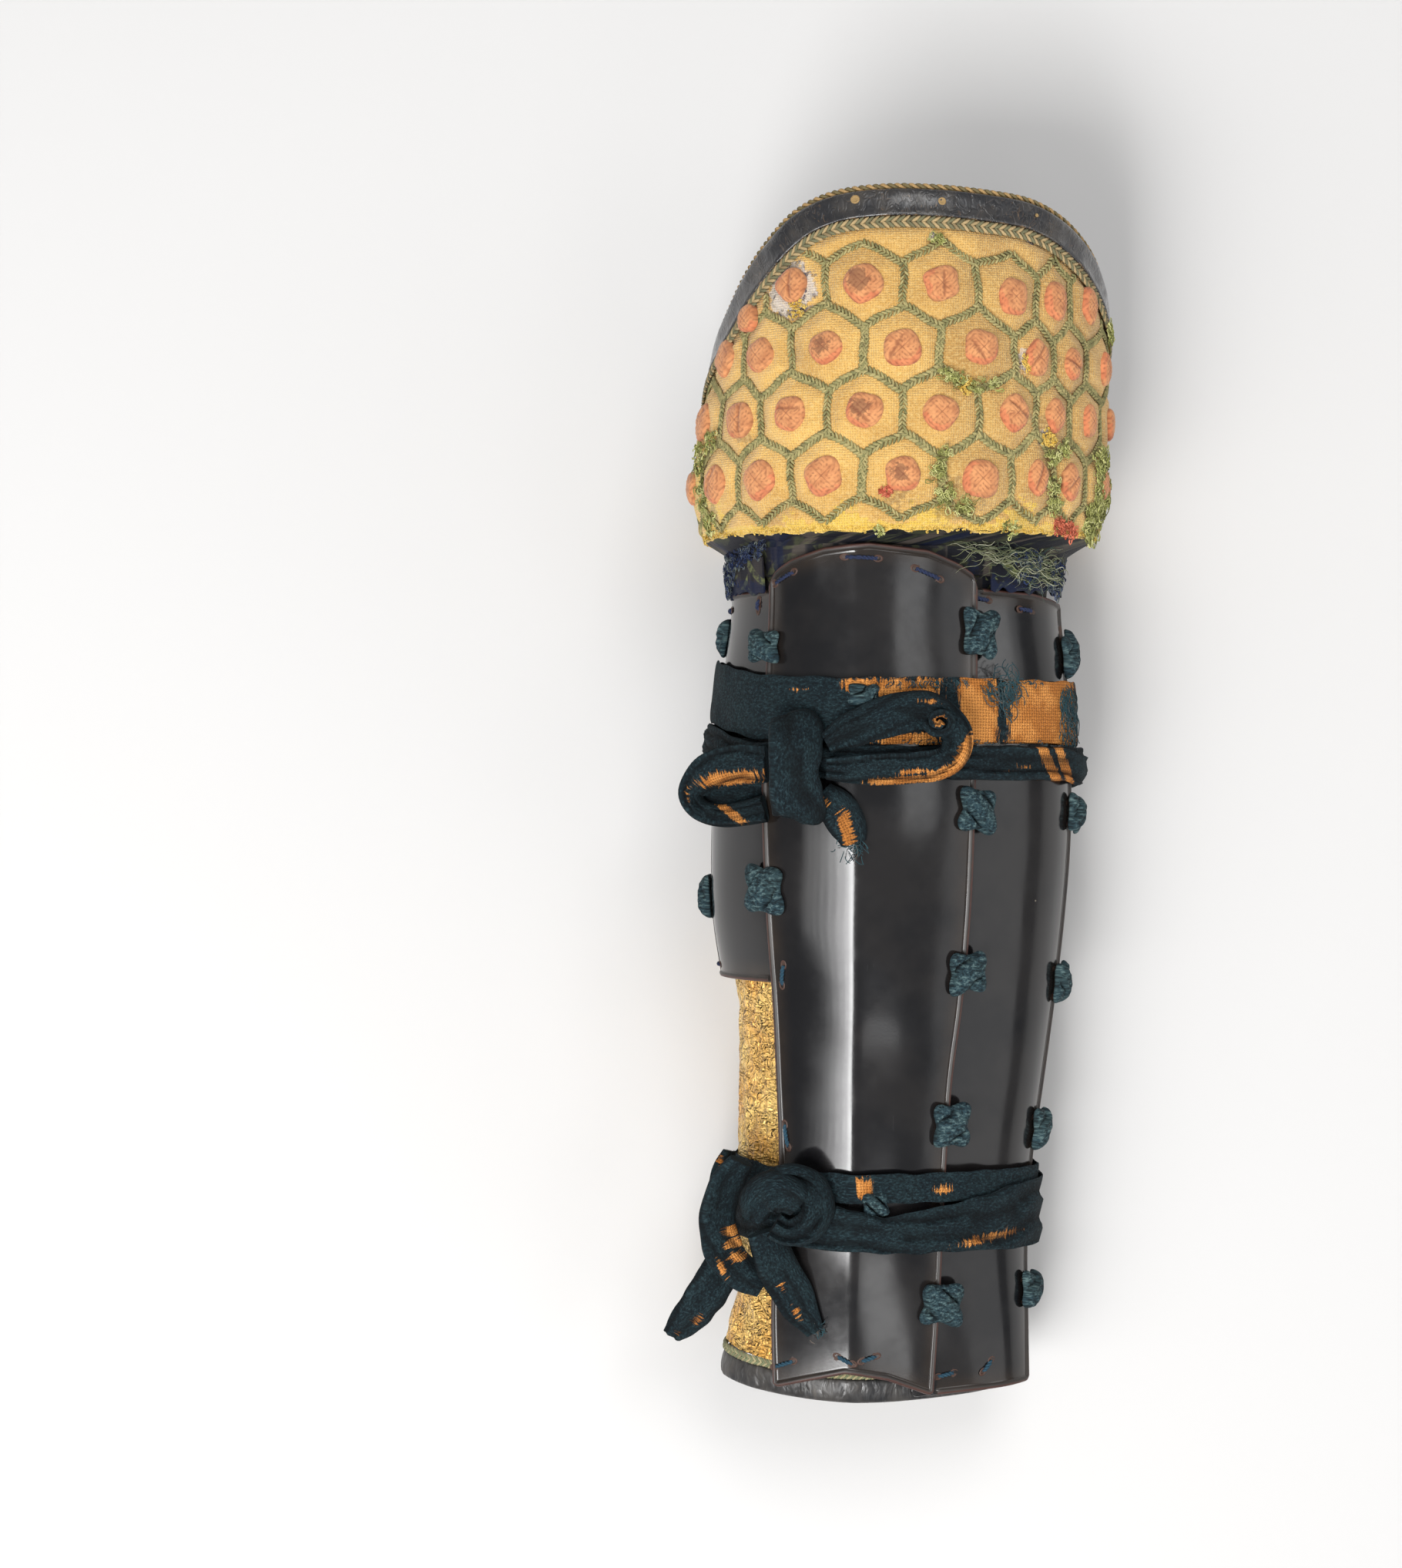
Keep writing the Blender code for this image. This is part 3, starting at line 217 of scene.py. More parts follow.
class Form:
    """A tube-like surface along Y that is open at the back."""

    def __init__(self, rows, line_x, crease, corner, flap):
        self.rows = np.asarray(rows, float)
        self.line_x = line_x
        self.crease = crease
        self.corner = corner
        self.flap = flap
        self.levels = np.arange(self.rows[0, 0], self.rows[-1, 0] + 0.5)
        self.sections = [self.section(y) for y in self.levels]

    def side(self, half, front, back):
        """One half of a section, from the front line to the end of the flap."""
        wide = back + (front - back) * (1 - FRONT_SHARE)
        turn = np.linspace(0, math.pi / 2, 121)
        foot = back + self.corner
        w = np.linspace(0, 1, 41)[1:]
        out = [half * np.sin(turn), half - SIDE_TAPER * smoothstep(w)]
        up = [
            wide + (front - wide) * ((1 - self.crease) * np.cos(turn) + self.crease * (1 - np.sin(turn))),
            wide + (foot - wide) * w,
        ]
        if self.corner:
            w = np.linspace(0, 1, 25)[1:]
            out += [half - SIDE_TAPER - self.corner * w * w, half - SIDE_TAPER - self.corner - self.flap * w]
            up += [foot - self.corner * (2 * w - w * w), back + 0 * w]
        return np.concatenate(out), np.concatenate(up), len(turn) - 1, len(turn) + 39

    def section(self, y):
        """One section as s, x, z, the two parts of the way out, and where its marks are."""
        left, right, front = (curve_through(self.rows, k, y) for k in (1, 2, 3))
        back = np.interp(y, self.rows[:, 0], self.rows[:, 4])
        lx, lz, quarter, side = self.side(self.line_x - left, front, back)
        rx, rz, _, _ = self.side(right - self.line_x, front, back)
        ls, rs = run_along(lx, lz), run_along(rx, rz)
        s = np.concatenate([-ls[:0:-1], rs])
        x = self.line_x + np.concatenate([-lx[:0:-1], rx])
        z = np.concatenate([lz[:0:-1], rz])
        dx = np.gradient(x, s)
        dz = np.gradient(z, s)
        long = np.hypot(dx, dz)
        marks = {"quarter": (ls[quarter], rs[quarter]), "side": (ls[side], rs[side]), "end": (ls[-1], rs[-1])}
        return s, x, z, -dz / long, dx / long, marks

    def mark(self, which, side, y):
        """The length along the section from the front line to a mark, on the side -1 or 1."""
        return np.interp(y, self.levels, [section[5][which][int(side > 0)] for section in self.sections])

    def ends(self, y, which="end"):
        """The places of a mark on the inner and the outer side."""
        return -self.mark(which, -1, y), self.mark(which, 1, y)

    def at(self, s, y, lift=0.0):
        """The points of arrays of places, as one array that ends in x, y, z."""
        s, y, lift = np.broadcast_arrays(*(np.asarray(v, float) for v in (s, y, lift)))
        shape = s.shape
        s, y, lift = s.ravel(), y.ravel(), lift.ravel()
        level = np.clip(y - self.levels[0], 0, len(self.levels) - 1.001)
        found = np.empty((4, len(s)))
        for k in np.unique(level.astype(int)):
            here = level.astype(int) == k
            share = level[here] - k
            low, high = self.sections[k], self.sections[k + 1]
            for n in range(4):
                a = np.interp(s[here], low[0], low[n + 1])
                b = np.interp(s[here], high[0], high[n + 1])
                found[n, here] = a + (b - a) * share
        x, z, out_x, out_z = found
        long = np.hypot(out_x, out_z)
        z = np.maximum(0.0, z + lift * out_z / long)
        return np.stack([x + lift * out_x / long, y, z], -1).reshape(*shape, 3)

    def frames(self, s, y, lift, angle=0.0):
        """Points with three unit directions each: along the angle, across it and out of the form."""
        step = 0.4
        point = self.at(s, y, lift)
        round_it = self.at(s + step, y, lift) - self.at(s - step, y, lift)
        up_it = self.at(s, y + step, lift) - self.at(s, y - step, lift)
        out = unit(np.cross(round_it, up_it))
        round_it = unit(round_it)
        up_it = np.cross(out, round_it)
        cos, sin = np.cos(angle)[..., None], np.sin(angle)[..., None]
        return point, round_it * cos + up_it * sin, up_it * cos - round_it * sin, out


def unit(vectors):
    """The vectors at length 1."""
    return vectors / np.maximum(np.linalg.norm(vectors, axis=-1, keepdims=True), 1e-12)


SHIN = Form(SHIN_ROWS, -14.0, 0.15, 12.0, 20.0)
KNEE = Form(KNEE_ROWS, 2.0, 0.0, 0.0, 0.0)


# Meshes


def in_scene(name, data):
    """A new object that holds the data."""
    made = bpy.data.objects.new(name, data)
    bpy.context.scene.collection.objects.link(made)
    return made


def add_mesh(name, points, faces, mat, fields=None, sharp=50):
    """A mesh object that rides on the guard. Each field is a number or a vector for each point."""
    points = np.maximum(np.asarray(points, float).reshape(-1, 3), LOWEST)
    faces = [tuple(f) for f in np.asarray(faces).tolist()] if not isinstance(faces, list) else faces
    mesh = bpy.data.meshes.new(name)
    mesh.from_pydata((points * MM).tolist(), [], faces)
    mesh.materials.append(mat)
    for field, values in (fields or {}).items():
        values = np.asarray(values, np.float32)
        wide = values.size == 3 * len(points)
        made = mesh.attributes.new(field, "FLOAT_VECTOR" if wide else "FLOAT", "POINT")
        made.data.foreach_set("vector" if wide else "value", values.ravel())
    mesh.shade_smooth()
    mesh.set_sharp_from_angle(angle=math.radians(sharp))
    piece = in_scene(name, mesh)
    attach(piece, "root")
    return piece


def put(piece, slot, node=None):
    """Hides the node that the piece takes the place of, if it has one. The slot is not used."""
    if node:
        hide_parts(node)
    return piece


def joined(frames):
    """Several sets of frames as one."""
    return [np.concatenate(parts) for parts in zip(*frames)]


def facing_out(points, faces):
    """Turns the quads or triangles of a closed mesh so that they face out."""
    faces = np.asarray(faces)
    p = np.asarray(points, float).reshape(-1, 3)
    volume = 0.0
    for k in range(1, faces.shape[1] - 1):
        volume += np.einsum("ij,ij->i", p[faces[:, 0]], np.cross(p[faces[:, k]], p[faces[:, k + 1]])).sum()
    return faces if volume > 0 else faces[:, ::-1]


def grid_faces(rows, columns, start=0, wrap=False):
    """Quads of a grid whose points run along its columns. wrap joins the last column to the first."""
    across = columns if wrap else columns - 1
    r, c = (v.ravel() for v in np.meshgrid(np.arange(rows - 1), np.arange(across), indexing="ij"))
    d = (c + 1) % columns
    here = r * columns
    return start + np.stack([here + c, here + d, here + columns + d, here + columns + c], 1)


def wall(name, outer, inner, mat, fields=None, keep=None, sharp=50):
    """A closed wall between two grids of points. keep says which quads are there."""
    rows, columns = outer.shape[:2]
    faces = grid_faces(rows, columns)
    if keep is not None:
        faces = faces[keep.ravel()]
    used, faces = np.unique(faces, return_inverse=True)
    faces = faces.reshape(-1, 4)
    count = len(used)
    ends = np.concatenate([faces[:, [k, (k + 1) % 4]] for k in range(4)])
    key = ends[:, 0] * count + ends[:, 1]
    rim = ends[~np.isin(key, ends[:, 1] * count + ends[:, 0])]
    sides = np.stack([rim[:, 1], rim[:, 0], rim[:, 0] + count, rim[:, 1] + count], 1)
    faces = np.concatenate([faces, faces[:, ::-1] + count, sides])
    points = np.concatenate([outer.reshape(-1, 3)[used], inner.reshape(-1, 3)[used]])
    both = {}
    for field, values in (fields or {}).items():
        values = np.asarray(values).reshape(rows * columns, -1)[used]
        both[field] = np.concatenate([values, values])
    return add_mesh(name, points, facing_out(points, faces), mat, both, sharp)


def loops(name, rings, mat, fields, closed=False):
    """A tube through rings of points. closed joins its ends to each other, and else each has a cap."""
    count, sides = rings.shape[:2]
    points = rings.reshape(-1, 3)
    faces = grid_faces(count, sides, wrap=True)
    if closed:
        last = grid_faces(2, sides, wrap=True)
        faces = np.concatenate([faces, np.where(last >= sides, last - sides, last + (count - 1) * sides)])
    faces = [tuple(f) for f in facing_out(points, faces).tolist()]
    if not closed:
        first = tuple(range(sides))
        last = tuple(k + (count - 1) * sides for k in first)
        turned = faces[0][0] != 0
        faces += [first, last[::-1]] if turned else [first[::-1], last]
    return add_mesh(name, points, faces, mat, fields)


def scatter(name, shape, faces, frames, sizes, mat, fields):
    """Many copies of a small shape joined into one mesh, one for each frame."""
    point, along, across, out = (v.reshape(-1, 1, 3) for v in frames)
    sizes = np.broadcast_to(np.asarray(sizes, float), (len(point), 3))
    local = shape[None] * sizes[:, None]
    points = point + along * local[..., :1] + across * local[..., 1:2] + out * local[..., 2:]
    count = len(shape)
    shift = np.arange(len(point))[:, None, None] * count
    made = {k: np.repeat(np.asarray(v, float), count, axis=0) for k, v in fields.items()}
    made["lay"] = local + np.arange(len(point))[:, None, None] * 3.7
    return add_mesh(name, points, (np.asarray(faces)[None] + shift).reshape(-1, 4), mat, made, 180)


def grain_shape():
    """A spindle of length 2 and width 2, as its points and quads."""
    turn = ring(4)
    rings = []
    for x, radius in ((-1.0, 0.15), (-0.62, 0.75), (0.0, 1.0), (0.62, 0.75), (1.0, 0.15)):
        rings.append(np.stack([x + 0 * turn, radius * np.cos(turn), radius * np.sin(turn)], 1))
    return np.concatenate(rings), grid_faces(len(rings), len(turn), wrap=True)[:, ::-1]


def lathe(rows, count, squash=1.0):
    """A small shape turned about its z, as its points and quads. Rows hold radius and height."""
    turn = ring(count)
    rings = [np.stack([r * np.cos(turn), squash * r * np.sin(turn), h + 0 * turn], 1) for r, h in rows]
    return np.concatenate(rings), grid_faces(len(rows), count, wrap=True)


def threads(name, lines, radius, mat, tint, sides):
    """Thin tubes, one for each line of points in an array of lines by points by 3."""
    along = unit(np.gradient(lines, axis=1))
    side = unit(np.cross(along, (0.31, 0.23, 0.92)))
    up = np.cross(along, side)
    turn = ring(sides)
    radius = np.broadcast_to(np.asarray(radius, float), lines.shape[:2])[..., None, None]
    around = side[..., None, :] * np.cos(turn)[:, None] + up[..., None, :] * np.sin(turn)[:, None]
    points = lines[..., None, :] + radius * around
    count = lines.shape[1] * sides
    faces = grid_faces(lines.shape[1], sides, wrap=True)
    faces = (faces[None] + np.arange(len(lines))[:, None, None] * count).reshape(-1, 4)
    length = np.cumsum(np.linalg.norm(np.diff(lines, axis=1, prepend=lines[:, :1]), axis=-1), axis=1)
    lay = np.zeros((*lines.shape[:2], sides, 3))
    lay[..., 0] = length[..., None]
    lay[..., 1] = np.arange(sides)
    lay[..., 2] = np.arange(len(lines))[:, None, None] * 5.3
    fields = {"lay": lay, "tint": np.repeat(np.asarray(tint, float), count)}
    return add_mesh(name, points, faces, mat, fields, 180)


# Shaders


class Graph:
    """Short ways to add nodes to a node tree and join them."""

    def __init__(self, tree):
        self.tree = tree

    def add(self, kind, sockets=None, **settings):
        made = self.tree.nodes.new(kind)
        for name, value in settings.items():
            setattr(made, name, value)
        for name, value in (sockets or {}).items():
            self.feed(made.inputs[name], value)
        return made

    def feed(self, socket, value):
        """Joins a socket to the value, or sets it."""
        if isinstance(value, bpy.types.NodeSocket):
            self.tree.links.new(value, socket)
        else:
            socket.default_value = value

    def filled(self, kind, *values, **settings):
        """The first output of a new node whose sockets take the values in turn."""
        made = self.add(kind, **settings)
        for socket, value in zip(made.inputs, values):
            self.feed(socket, value)
        return made.outputs[0]

    def math(self, operation, *values, clamp=False):
        return self.filled("ShaderNodeMath", *values, operation=operation, use_clamp=clamp)

    def vector(self, operation, *values):
        return self.filled("ShaderNodeVectorMath", *values, operation=operation)

    def times(self, a, b):
        """The product."""
        return self.math("MULTIPLY", a, b)

    def highest(self, a, b):
        """The larger of the two."""
        return self.math("MAXIMUM", a, b)

    def mix(self, share, a, b):
        """From colour a at share 0 to colour b at share 1."""
        made = self.add("ShaderNodeMix", data_type="RGBA")
        for socket, value in ((0, share), (6, a), (7, b)):
            self.feed(made.inputs[socket], value)
        return made.outputs[2]

    def tint(self, base, mask, share, *colour):
        """The base with a share of another colour where the mask is."""
        return self.mix(self.times(mask, share), base, tone(*colour))

    def spread(self, value, low, high, to_low=0.0, to_high=1.0):
        """Maps a range of values to another, and stops at its ends."""
        numbers = (value, low, high, to_low, to_high)
        return self.filled("ShaderNodeMapRange", *numbers, interpolation_type="SMOOTHSTEP")

    def field(self, name, output="Fac"):
        """A field of the mesh."""
        return self.add("ShaderNodeAttribute", attribute_name=name).outputs[output]

    def stretched(self, vector, *scale):
        """The vector times a scale, which is three numbers or another vector."""
        return self.vector("MULTIPLY", vector, scale if len(scale) == 3 else scale[0])

    def scaled(self, vector, scale):
        """The vector times one number."""
        sockets = {"Vector": vector, "Scale": scale}
        return self.add("ShaderNodeVectorMath", sockets, operation="SCALE").outputs[0]

    def texture(self, kind, vector, scale, **sockets):
        """The outputs of a texture."""
        return self.add("ShaderNodeTex" + kind, {"Vector": vector, "Scale": scale, **sockets}).outputs

    def warped(self, vector, size, reach):
        """The vector, moved about by smooth noise whose lumps are size across."""
        moved = self.texture("Noise", vector, 1.0 / size, Detail=1.0)["Color"]
        return self.vector("MULTIPLY_ADD", moved, (reach, reach, 0.0), vector)

    def noise(self, vector, size, detail=3.0, rough=0.55):
        """Noise from 0 to 1 whose lumps are about size across."""
        return self.texture("Noise", vector, 1.0 / size, Detail=detail, Roughness=rough)["Fac"]

    def use(self, group, **sockets):
        """Places a shader node group. A socket's name has _ for each space."""
        made = self.add("ShaderNodeGroup", node_tree=group)
        for name, value in sockets.items():
            self.feed(made.inputs[name.replace("_", " ")], value)
        return made.outputs

    def bump(self, height, size, normal=None):
        """A normal from a height from 0 to 1 that stands for size millimetres."""
        sockets = {"Height": height, "Strength": 1.0, "Distance": size * MM}
        if normal is not None:
            sockets["Normal"] = normal
        return self.add("ShaderNodeBump", sockets).outputs[0]


def socket_kind(label, value):
    """Colours are named so, a tuple or Vector is a vector, and the rest are numbers."""
    if label.startswith("Color"):
        return "NodeSocketColor"
    return "NodeSocketVector" if label == "Vector" or isinstance(value, tuple) else "NodeSocketFloat"


def shader_group(name, inputs, outputs, build):
    """A node group that takes a Vector and the inputs. build fills it in."""
    tree = bpy.data.node_groups.new(name, "ShaderNodeTree")
    for label, value in {"Vector": None, **inputs}.items():
        kind = socket_kind(label, value)
        socket = tree.interface.new_socket(name=label, in_out="INPUT", socket_type=kind)
        if value is not None:
            socket.default_value = value
    for label in outputs:
        tree.interface.new_socket(name=label, in_out="OUTPUT", socket_type=socket_kind(label, None))
    graph = Graph(tree)
    source = graph.add("NodeGroupInput").outputs
    made = build(graph, source)
    sink = graph.add("NodeGroupOutput")
    for label in outputs:
        graph.feed(sink.inputs[label], made[label])
    return tree


def build_weave(g, source):
    """Threads that pass over and under each other, one pitch apart."""
    split = g.add("ShaderNodeSeparateXYZ", {"Vector": source["Vector"]}).outputs
    turned = [g.times(g.math("DIVIDE", split[k], source["Pitch"]), math.pi) for k in (0, 1)]
    waves = [g.math("SINE", turn) for turn in turned]
    crossing = g.times(*waves)
    lifted = []
    for wave, sign in zip(waves, (0.5, -0.5)):
        over = g.math("MULTIPLY_ADD", crossing, sign, 0.5)
        lifted.append(g.times(g.math("ABSOLUTE", wave), over))
    return {"Height": g.math("POWER", g.highest(*lifted), 0.6)}


def build_patches(g, source):
    """Cloudy patches of a second colour in a first one."""
    noise = g.texture("Noise", source["Vector"], source["Scale"], Detail=4.0, Roughness=0.6)["Fac"]
    share = g.spread(noise, source["Low"], source["High"])
    return {"Color": g.mix(share, source["Color A"], source["Color B"])}


def build_cracks(g, source):
    """The height of a surface with a net of fine cracks, wavy and broken."""
    lumps = g.texture("Noise", source["Vector"], source["Scale"], Detail=3.0)
    moved = g.scaled(lumps["Color"], g.math("DIVIDE", source["Warp"], source["Scale"]))
    place = g.vector("ADD", source["Vector"], moved)
    sockets = {"Vector": place, "Scale": source["Scale"]}
    cells = g.add("ShaderNodeTexVoronoi", sockets, feature="DISTANCE_TO_EDGE")
    width = g.times(source["Width"], g.spread(lumps["Fac"], 0.35, 0.65, 0.15, 1.6))
    return {"Height": g.spread(g.math("DIVIDE", cells.outputs["Distance"], width), 0.0, 3.0)}


def build_creases(g, source):
    """Fine lines where a surface has crumpled. Mask is 1 in a line."""
    twist = source["Twist"]
    noise = g.texture("Noise", source["Vector"], source["Scale"], Detail=1.0, Distortion=twist)["Fac"]
    away = g.math("ABSOLUTE", g.math("SUBTRACT", noise, 0.5))
    return {"Mask": g.spread(away, 0.0, source["Width"], 1.0, 0.0), "Height": g.spread(away, 0.0, 0.14)}


def build_worn(g, source):
    """Turns a smooth field into a patch with a ragged edge. Drag draws the edge out along the threads."""
    vector = g.stretched(source["Vector"], source["Drag"])
    noise = g.texture("Noise", vector, source["Scale"], Detail=5.0, Roughness=0.65)["Fac"]
    shift = g.times(g.math("SUBTRACT", noise, 0.5), source["Ragged"])
    return {"Mask": g.spread(g.math("ADD", source["Field"], shift), 0.44, 0.56)}


def build_flowers(g, source):
    """Rows of round flowers with pointed leaves between them, as woven silk has. Mask is 1 in the figure."""
    cells = g.texture("Voronoi", source["Vector"], source["Scale"], Randomness=0.25)
    here = g.scaled(source["Vector"], source["Scale"])
    middle = g.scaled(cells["Position"], source["Scale"])
    away = g.vector("SUBTRACT", here, middle)
    split = g.add("ShaderNodeSeparateXYZ", {"Vector": away}).outputs
    radius = g.math("SQRT", g.math("ADD", *(g.math("POWER", split[k], 2.0) for k in (0, 1))))
    turn = g.math("ARCTAN2", split[1], split[0])
    petals = g.math("MULTIPLY_ADD", g.math("COSINE", g.times(turn, 6.0)), 0.10, 0.26)
    flower = g.spread(g.math("SUBTRACT", radius, petals), -0.02, 0.02, 1.0, 0.0)
    heart = g.spread(radius, 0.06, 0.09)
    leaf_wave = g.math("SINE", g.math("MULTIPLY_ADD", radius, 26.0, g.times(turn, 2.0)))
    leaf = g.times(g.spread(leaf_wave, 0.35, 0.6), g.spread(radius, 0.38, 0.42))
    return {"Mask": g.math("MAXIMUM", g.times(flower, heart), leaf, clamp=True)}


# Every group takes a Vector too.
WEAVE = shader_group("weave", {"Pitch": 0.6}, ("Height",), build_weave)
CRACKS = shader_group("cracks", {"Scale": 0.4, "Width": 0.06, "Warp": 0.6}, ("Height",), build_cracks)
CREASES = shader_group(
    "creases",
    {"Scale": 0.5, "Width": 0.03, "Twist": 0.6},
    ("Mask", "Height"),
    build_creases,
)
FLOWERS = shader_group("flowers", {"Scale": 0.03}, ("Mask",), build_flowers)
PATCHES = shader_group(
    "patches",
    {"Scale": 0.05, "Low": 0.4, "High": 0.6, "Color A": None, "Color B": None},
    ("Color",),
    build_patches,
)
WORN = shader_group(
    "worn",
    {"Field": 0.0, "Drag": (1, 1, 1), "Scale": 0.5, "Ragged": 0.6},
    ("Mask",),
    build_worn,
)


def patchy(g, lay, scale, first, second, low=0.4, high=0.6):
    """A colour with cloudy patches of a second one."""
    colours = {"Color_A": tone(*first), "Color_B": tone(*second)}
    return g.use(PATCHES, Vector=lay, Scale=scale, Low=low, High=high, **colours)["Color"]


def ragged(g, lay, field, scale, rough, **more):
    """A ragged mask where a field is high. The field is a mesh's, by name, or a node's."""
    field = g.field(field) if isinstance(field, str) else field
    return g.use(WORN, Field=field, Vector=lay, Scale=scale, Ragged=rough, **more)["Mask"]


def finish(name, build, **values):
    """A material whose Principled BSDF has these values. build joins what changes over the surface."""
    mat = bpy.data.materials.new(name)
    mat.use_nodes = True
    shader = mat.node_tree.nodes["Principled BSDF"]
    graph = Graph(mat.node_tree)
    for socket, value in values.items():
        shader.inputs[socket.replace("_", " ")].default_value = value
    for socket, value in build(graph, graph.field("lay", "Vector")).items():
        graph.feed(shader.inputs[socket], value)
    return mat


def lacquer_look(g, lay):
    """Black lacquer, thin and red-brown on the rims and round the holes, with dust and fine scratches."""
    edge = g.field("edge")
    base = patchy(g, lay, 0.02, (0.06, 0.058, 0.065), (0.105, 0.098, 0.098))
    base = g.tint(base, ragged(g, lay, g.spread(edge, 0.6, 1.9, 0.9, 0.0), 0.22, 1.1), 0.8, 0.24, 0.10, 0.08)
    haze = g.times(g.spread(edge, 1.0, 10.0, 1.0, 0.0), g.noise(lay, 9.0))
    base = g.tint(base, haze, 0.35, 0.30, 0.24, 0.18)
    rust = ragged(g, lay, "rust", 0.5, 0.9)
    base = g.tint(base, rust, 0.7, 0.25, 0.16, 0.11)
    specks = g.texture("Voronoi", lay, 0.06)["Distance"]
    base = g.tint(base, g.spread(specks, 0.010, 0.020, 1.0, 0.0), 0.7, 0.62, 0.58, 0.52)
    scratch = g.noise(g.stretched(lay, 1.0, 0.045, 1.0), 0.7, 2.0)
    scratch = g.times(g.spread(scratch, 0.70, 0.78), g.spread(g.noise(lay, 30.0), 0.5, 0.62))
    smudge = g.spread(g.noise(lay, 16.0, 5.0, 0.7), 0.3, 0.75, 0.11, 0.20)
    rough = g.highest(g.math("ADD", smudge, g.times(scratch, 0.2)), g.times(rust, 0.6))
    rough = g.highest(rough, g.spread(edge, 1.8, 2.9, 0.5, 0.0))
    wave = g.bump(g.noise(lay, 34.0, 1.0), 0.35)
    return {"Base Color": base, "Roughness": rough, "Normal": g.bump(g.noise(lay, 0.8, 2.0), 0.005, wave)}


def wool_look(g, lay):
    """Tan yellow wool, brighter where the nap has gone, soiled in places and torn in a few, with painted
    shade on its outer side and in the dips along the braid.
    """
    base = patchy(g, lay, 0.035, (0.87, 0.69, 0.37), (0.75, 0.57, 0.28), 0.35, 0.68)
    # Painted shade: darker on the knee guard's outer side and in the dips where the pads meet the braid.
    painted_shade = g.times(ragged(g, lay, "painted_shade", 0.06, 0.7), 0.5)
    painted_shade = g.highest(painted_shade, g.times(g.field("painted_shade"), 0.55))
    base = g.mix(painted_shade, base, tone(0.62, 0.47, 0.26))
    base = g.tint(base, ragged(g, lay, "bright", 0.3, 1.3), 0.6, 0.86, 0.72, 0.22)
    base = g.tint(base, ragged(g, lay, "soil", 0.3, 1.3), 0.5, 0.42, 0.32, 0.20)
    navy = (0.25, 0.23, 0.30)
    lint = patchy(g, lay, 0.3, (0.80, 0.75, 0.70), navy, 0.56, 0.62)
    rim = g.spread(g.field("torn"), 0.50, 0.66, 1.0, 0.0)
    rim = g.times(rim, g.spread(g.noise(lay, 6.0), 0.45, 0.6))
    base = g.mix(ragged(g, lay, "torn", 0.4, 0.8), base, g.mix(rim, lint, tone(*navy)))
    weave = g.use(WEAVE, Vector=g.warped(lay, 2.5, 0.5), Pitch=0.9)["Height"]
    nap = g.noise(lay, 1.2, 4.0, 0.7)
    # Painted shade in the gaps of the weave.
    base = g.mix(g.spread(weave, 0.15, 0.6, 0.55, 0.0), base, tone(0.50, 0.36, 0.15))
    base = g.mix(g.spread(nap, 0.42, 0.66, 0.0, 0.30), base, tone(0.95, 0.84, 0.58))
    height = g.math("MULTIPLY_ADD", weave, 0.6, g.times(nap, 0.6))
    return {"Base Color": base, "Normal": g.bump(height, 0.75)}


def boss_look(g, lay):
    """Salmon thread, cross-stitched, redder at one side and with painted shade in its grooves."""
    base = patchy(g, lay, 0.25, (0.81, 0.56, 0.36), (0.70, 0.45, 0.28), 0.35, 0.7)
    base = g.tint(base, ragged(g, lay, "rim", 0.35, 1.3), 0.32, 0.80, 0.34, 0.24)
    base = g.tint(base, ragged(g, lay, "soil", 0.35, 1.5), 0.6, 0.36, 0.24, 0.17)
    # Painted shade in the grooves between the stitches and in the folds.
    base = g.mix(g.spread(g.field("groove_shade"), 0.25, 0.95, 0.0, 0.62), base, tone(0.42, 0.21, 0.13))
    return {"Base Color": base, "Normal": g.bump(g.noise(lay, 0.25, 3.0, 0.7), 0.15)}


def braid(name, first, second, dark):
    """A braid of two colours of thread, with worn and dirty strands."""

    def build(g, lay):
        base = g.mix(g.field("strand"), tone(*first), tone(*second))
        base = g.mix(g.spread(g.field("tint"), 0.55, 1.0, 0.0, 0.55), base, tone(*dark))
        fibre = g.noise(g.stretched(lay, 0.35, 1.6, 1.6), 0.35, 2.0)
        base = g.mix(g.spread(fibre, 0.5, 0.75, 0.0, 0.35), base, tone(*dark))
        return {"Base Color": base, "Normal": g.bump(fibre, 0.14)}

    return finish(name, build, Roughness=0.85)


def fibres(name, *colours):
    """Loose fibres whose colour runs through the given ones from strand to strand."""

    def build(g, lay):
        made = g.add("ShaderNodeValToRGB", {"Fac": g.field("tint")})
        stops = made.color_ramp.elements
        for k, colour in enumerate(colours):
            at = k / (len(colours) - 1)
            stop = stops[k] if k < 2 else stops.new(at)
            stop.position = at
            stop.color = tone(*colour)
        shade = g.spread(g.noise(lay, 1.5), 0.4, 0.8, 0.0, 0.4)
        return {"Base Color": g.mix(shade, made.outputs[0], tone(0.16, 0.16, 0.10))}

    return finish(name, build, Roughness=0.9)


def thread(name, colour, light):
    """Tightly twisted thread that is lighter along its plies."""

    def build(g, lay):
        fibre = g.noise(g.stretched(lay, 0.6, 1.5, 1.0), 0.5, 2.0)
        base = g.mix(g.spread(fibre, 0.35, 0.7), tone(*colour), tone(*light))
        return {"Base Color": base, "Normal": g.bump(fibre, 0.12)}

    return finish(name, build, Roughness=0.8)


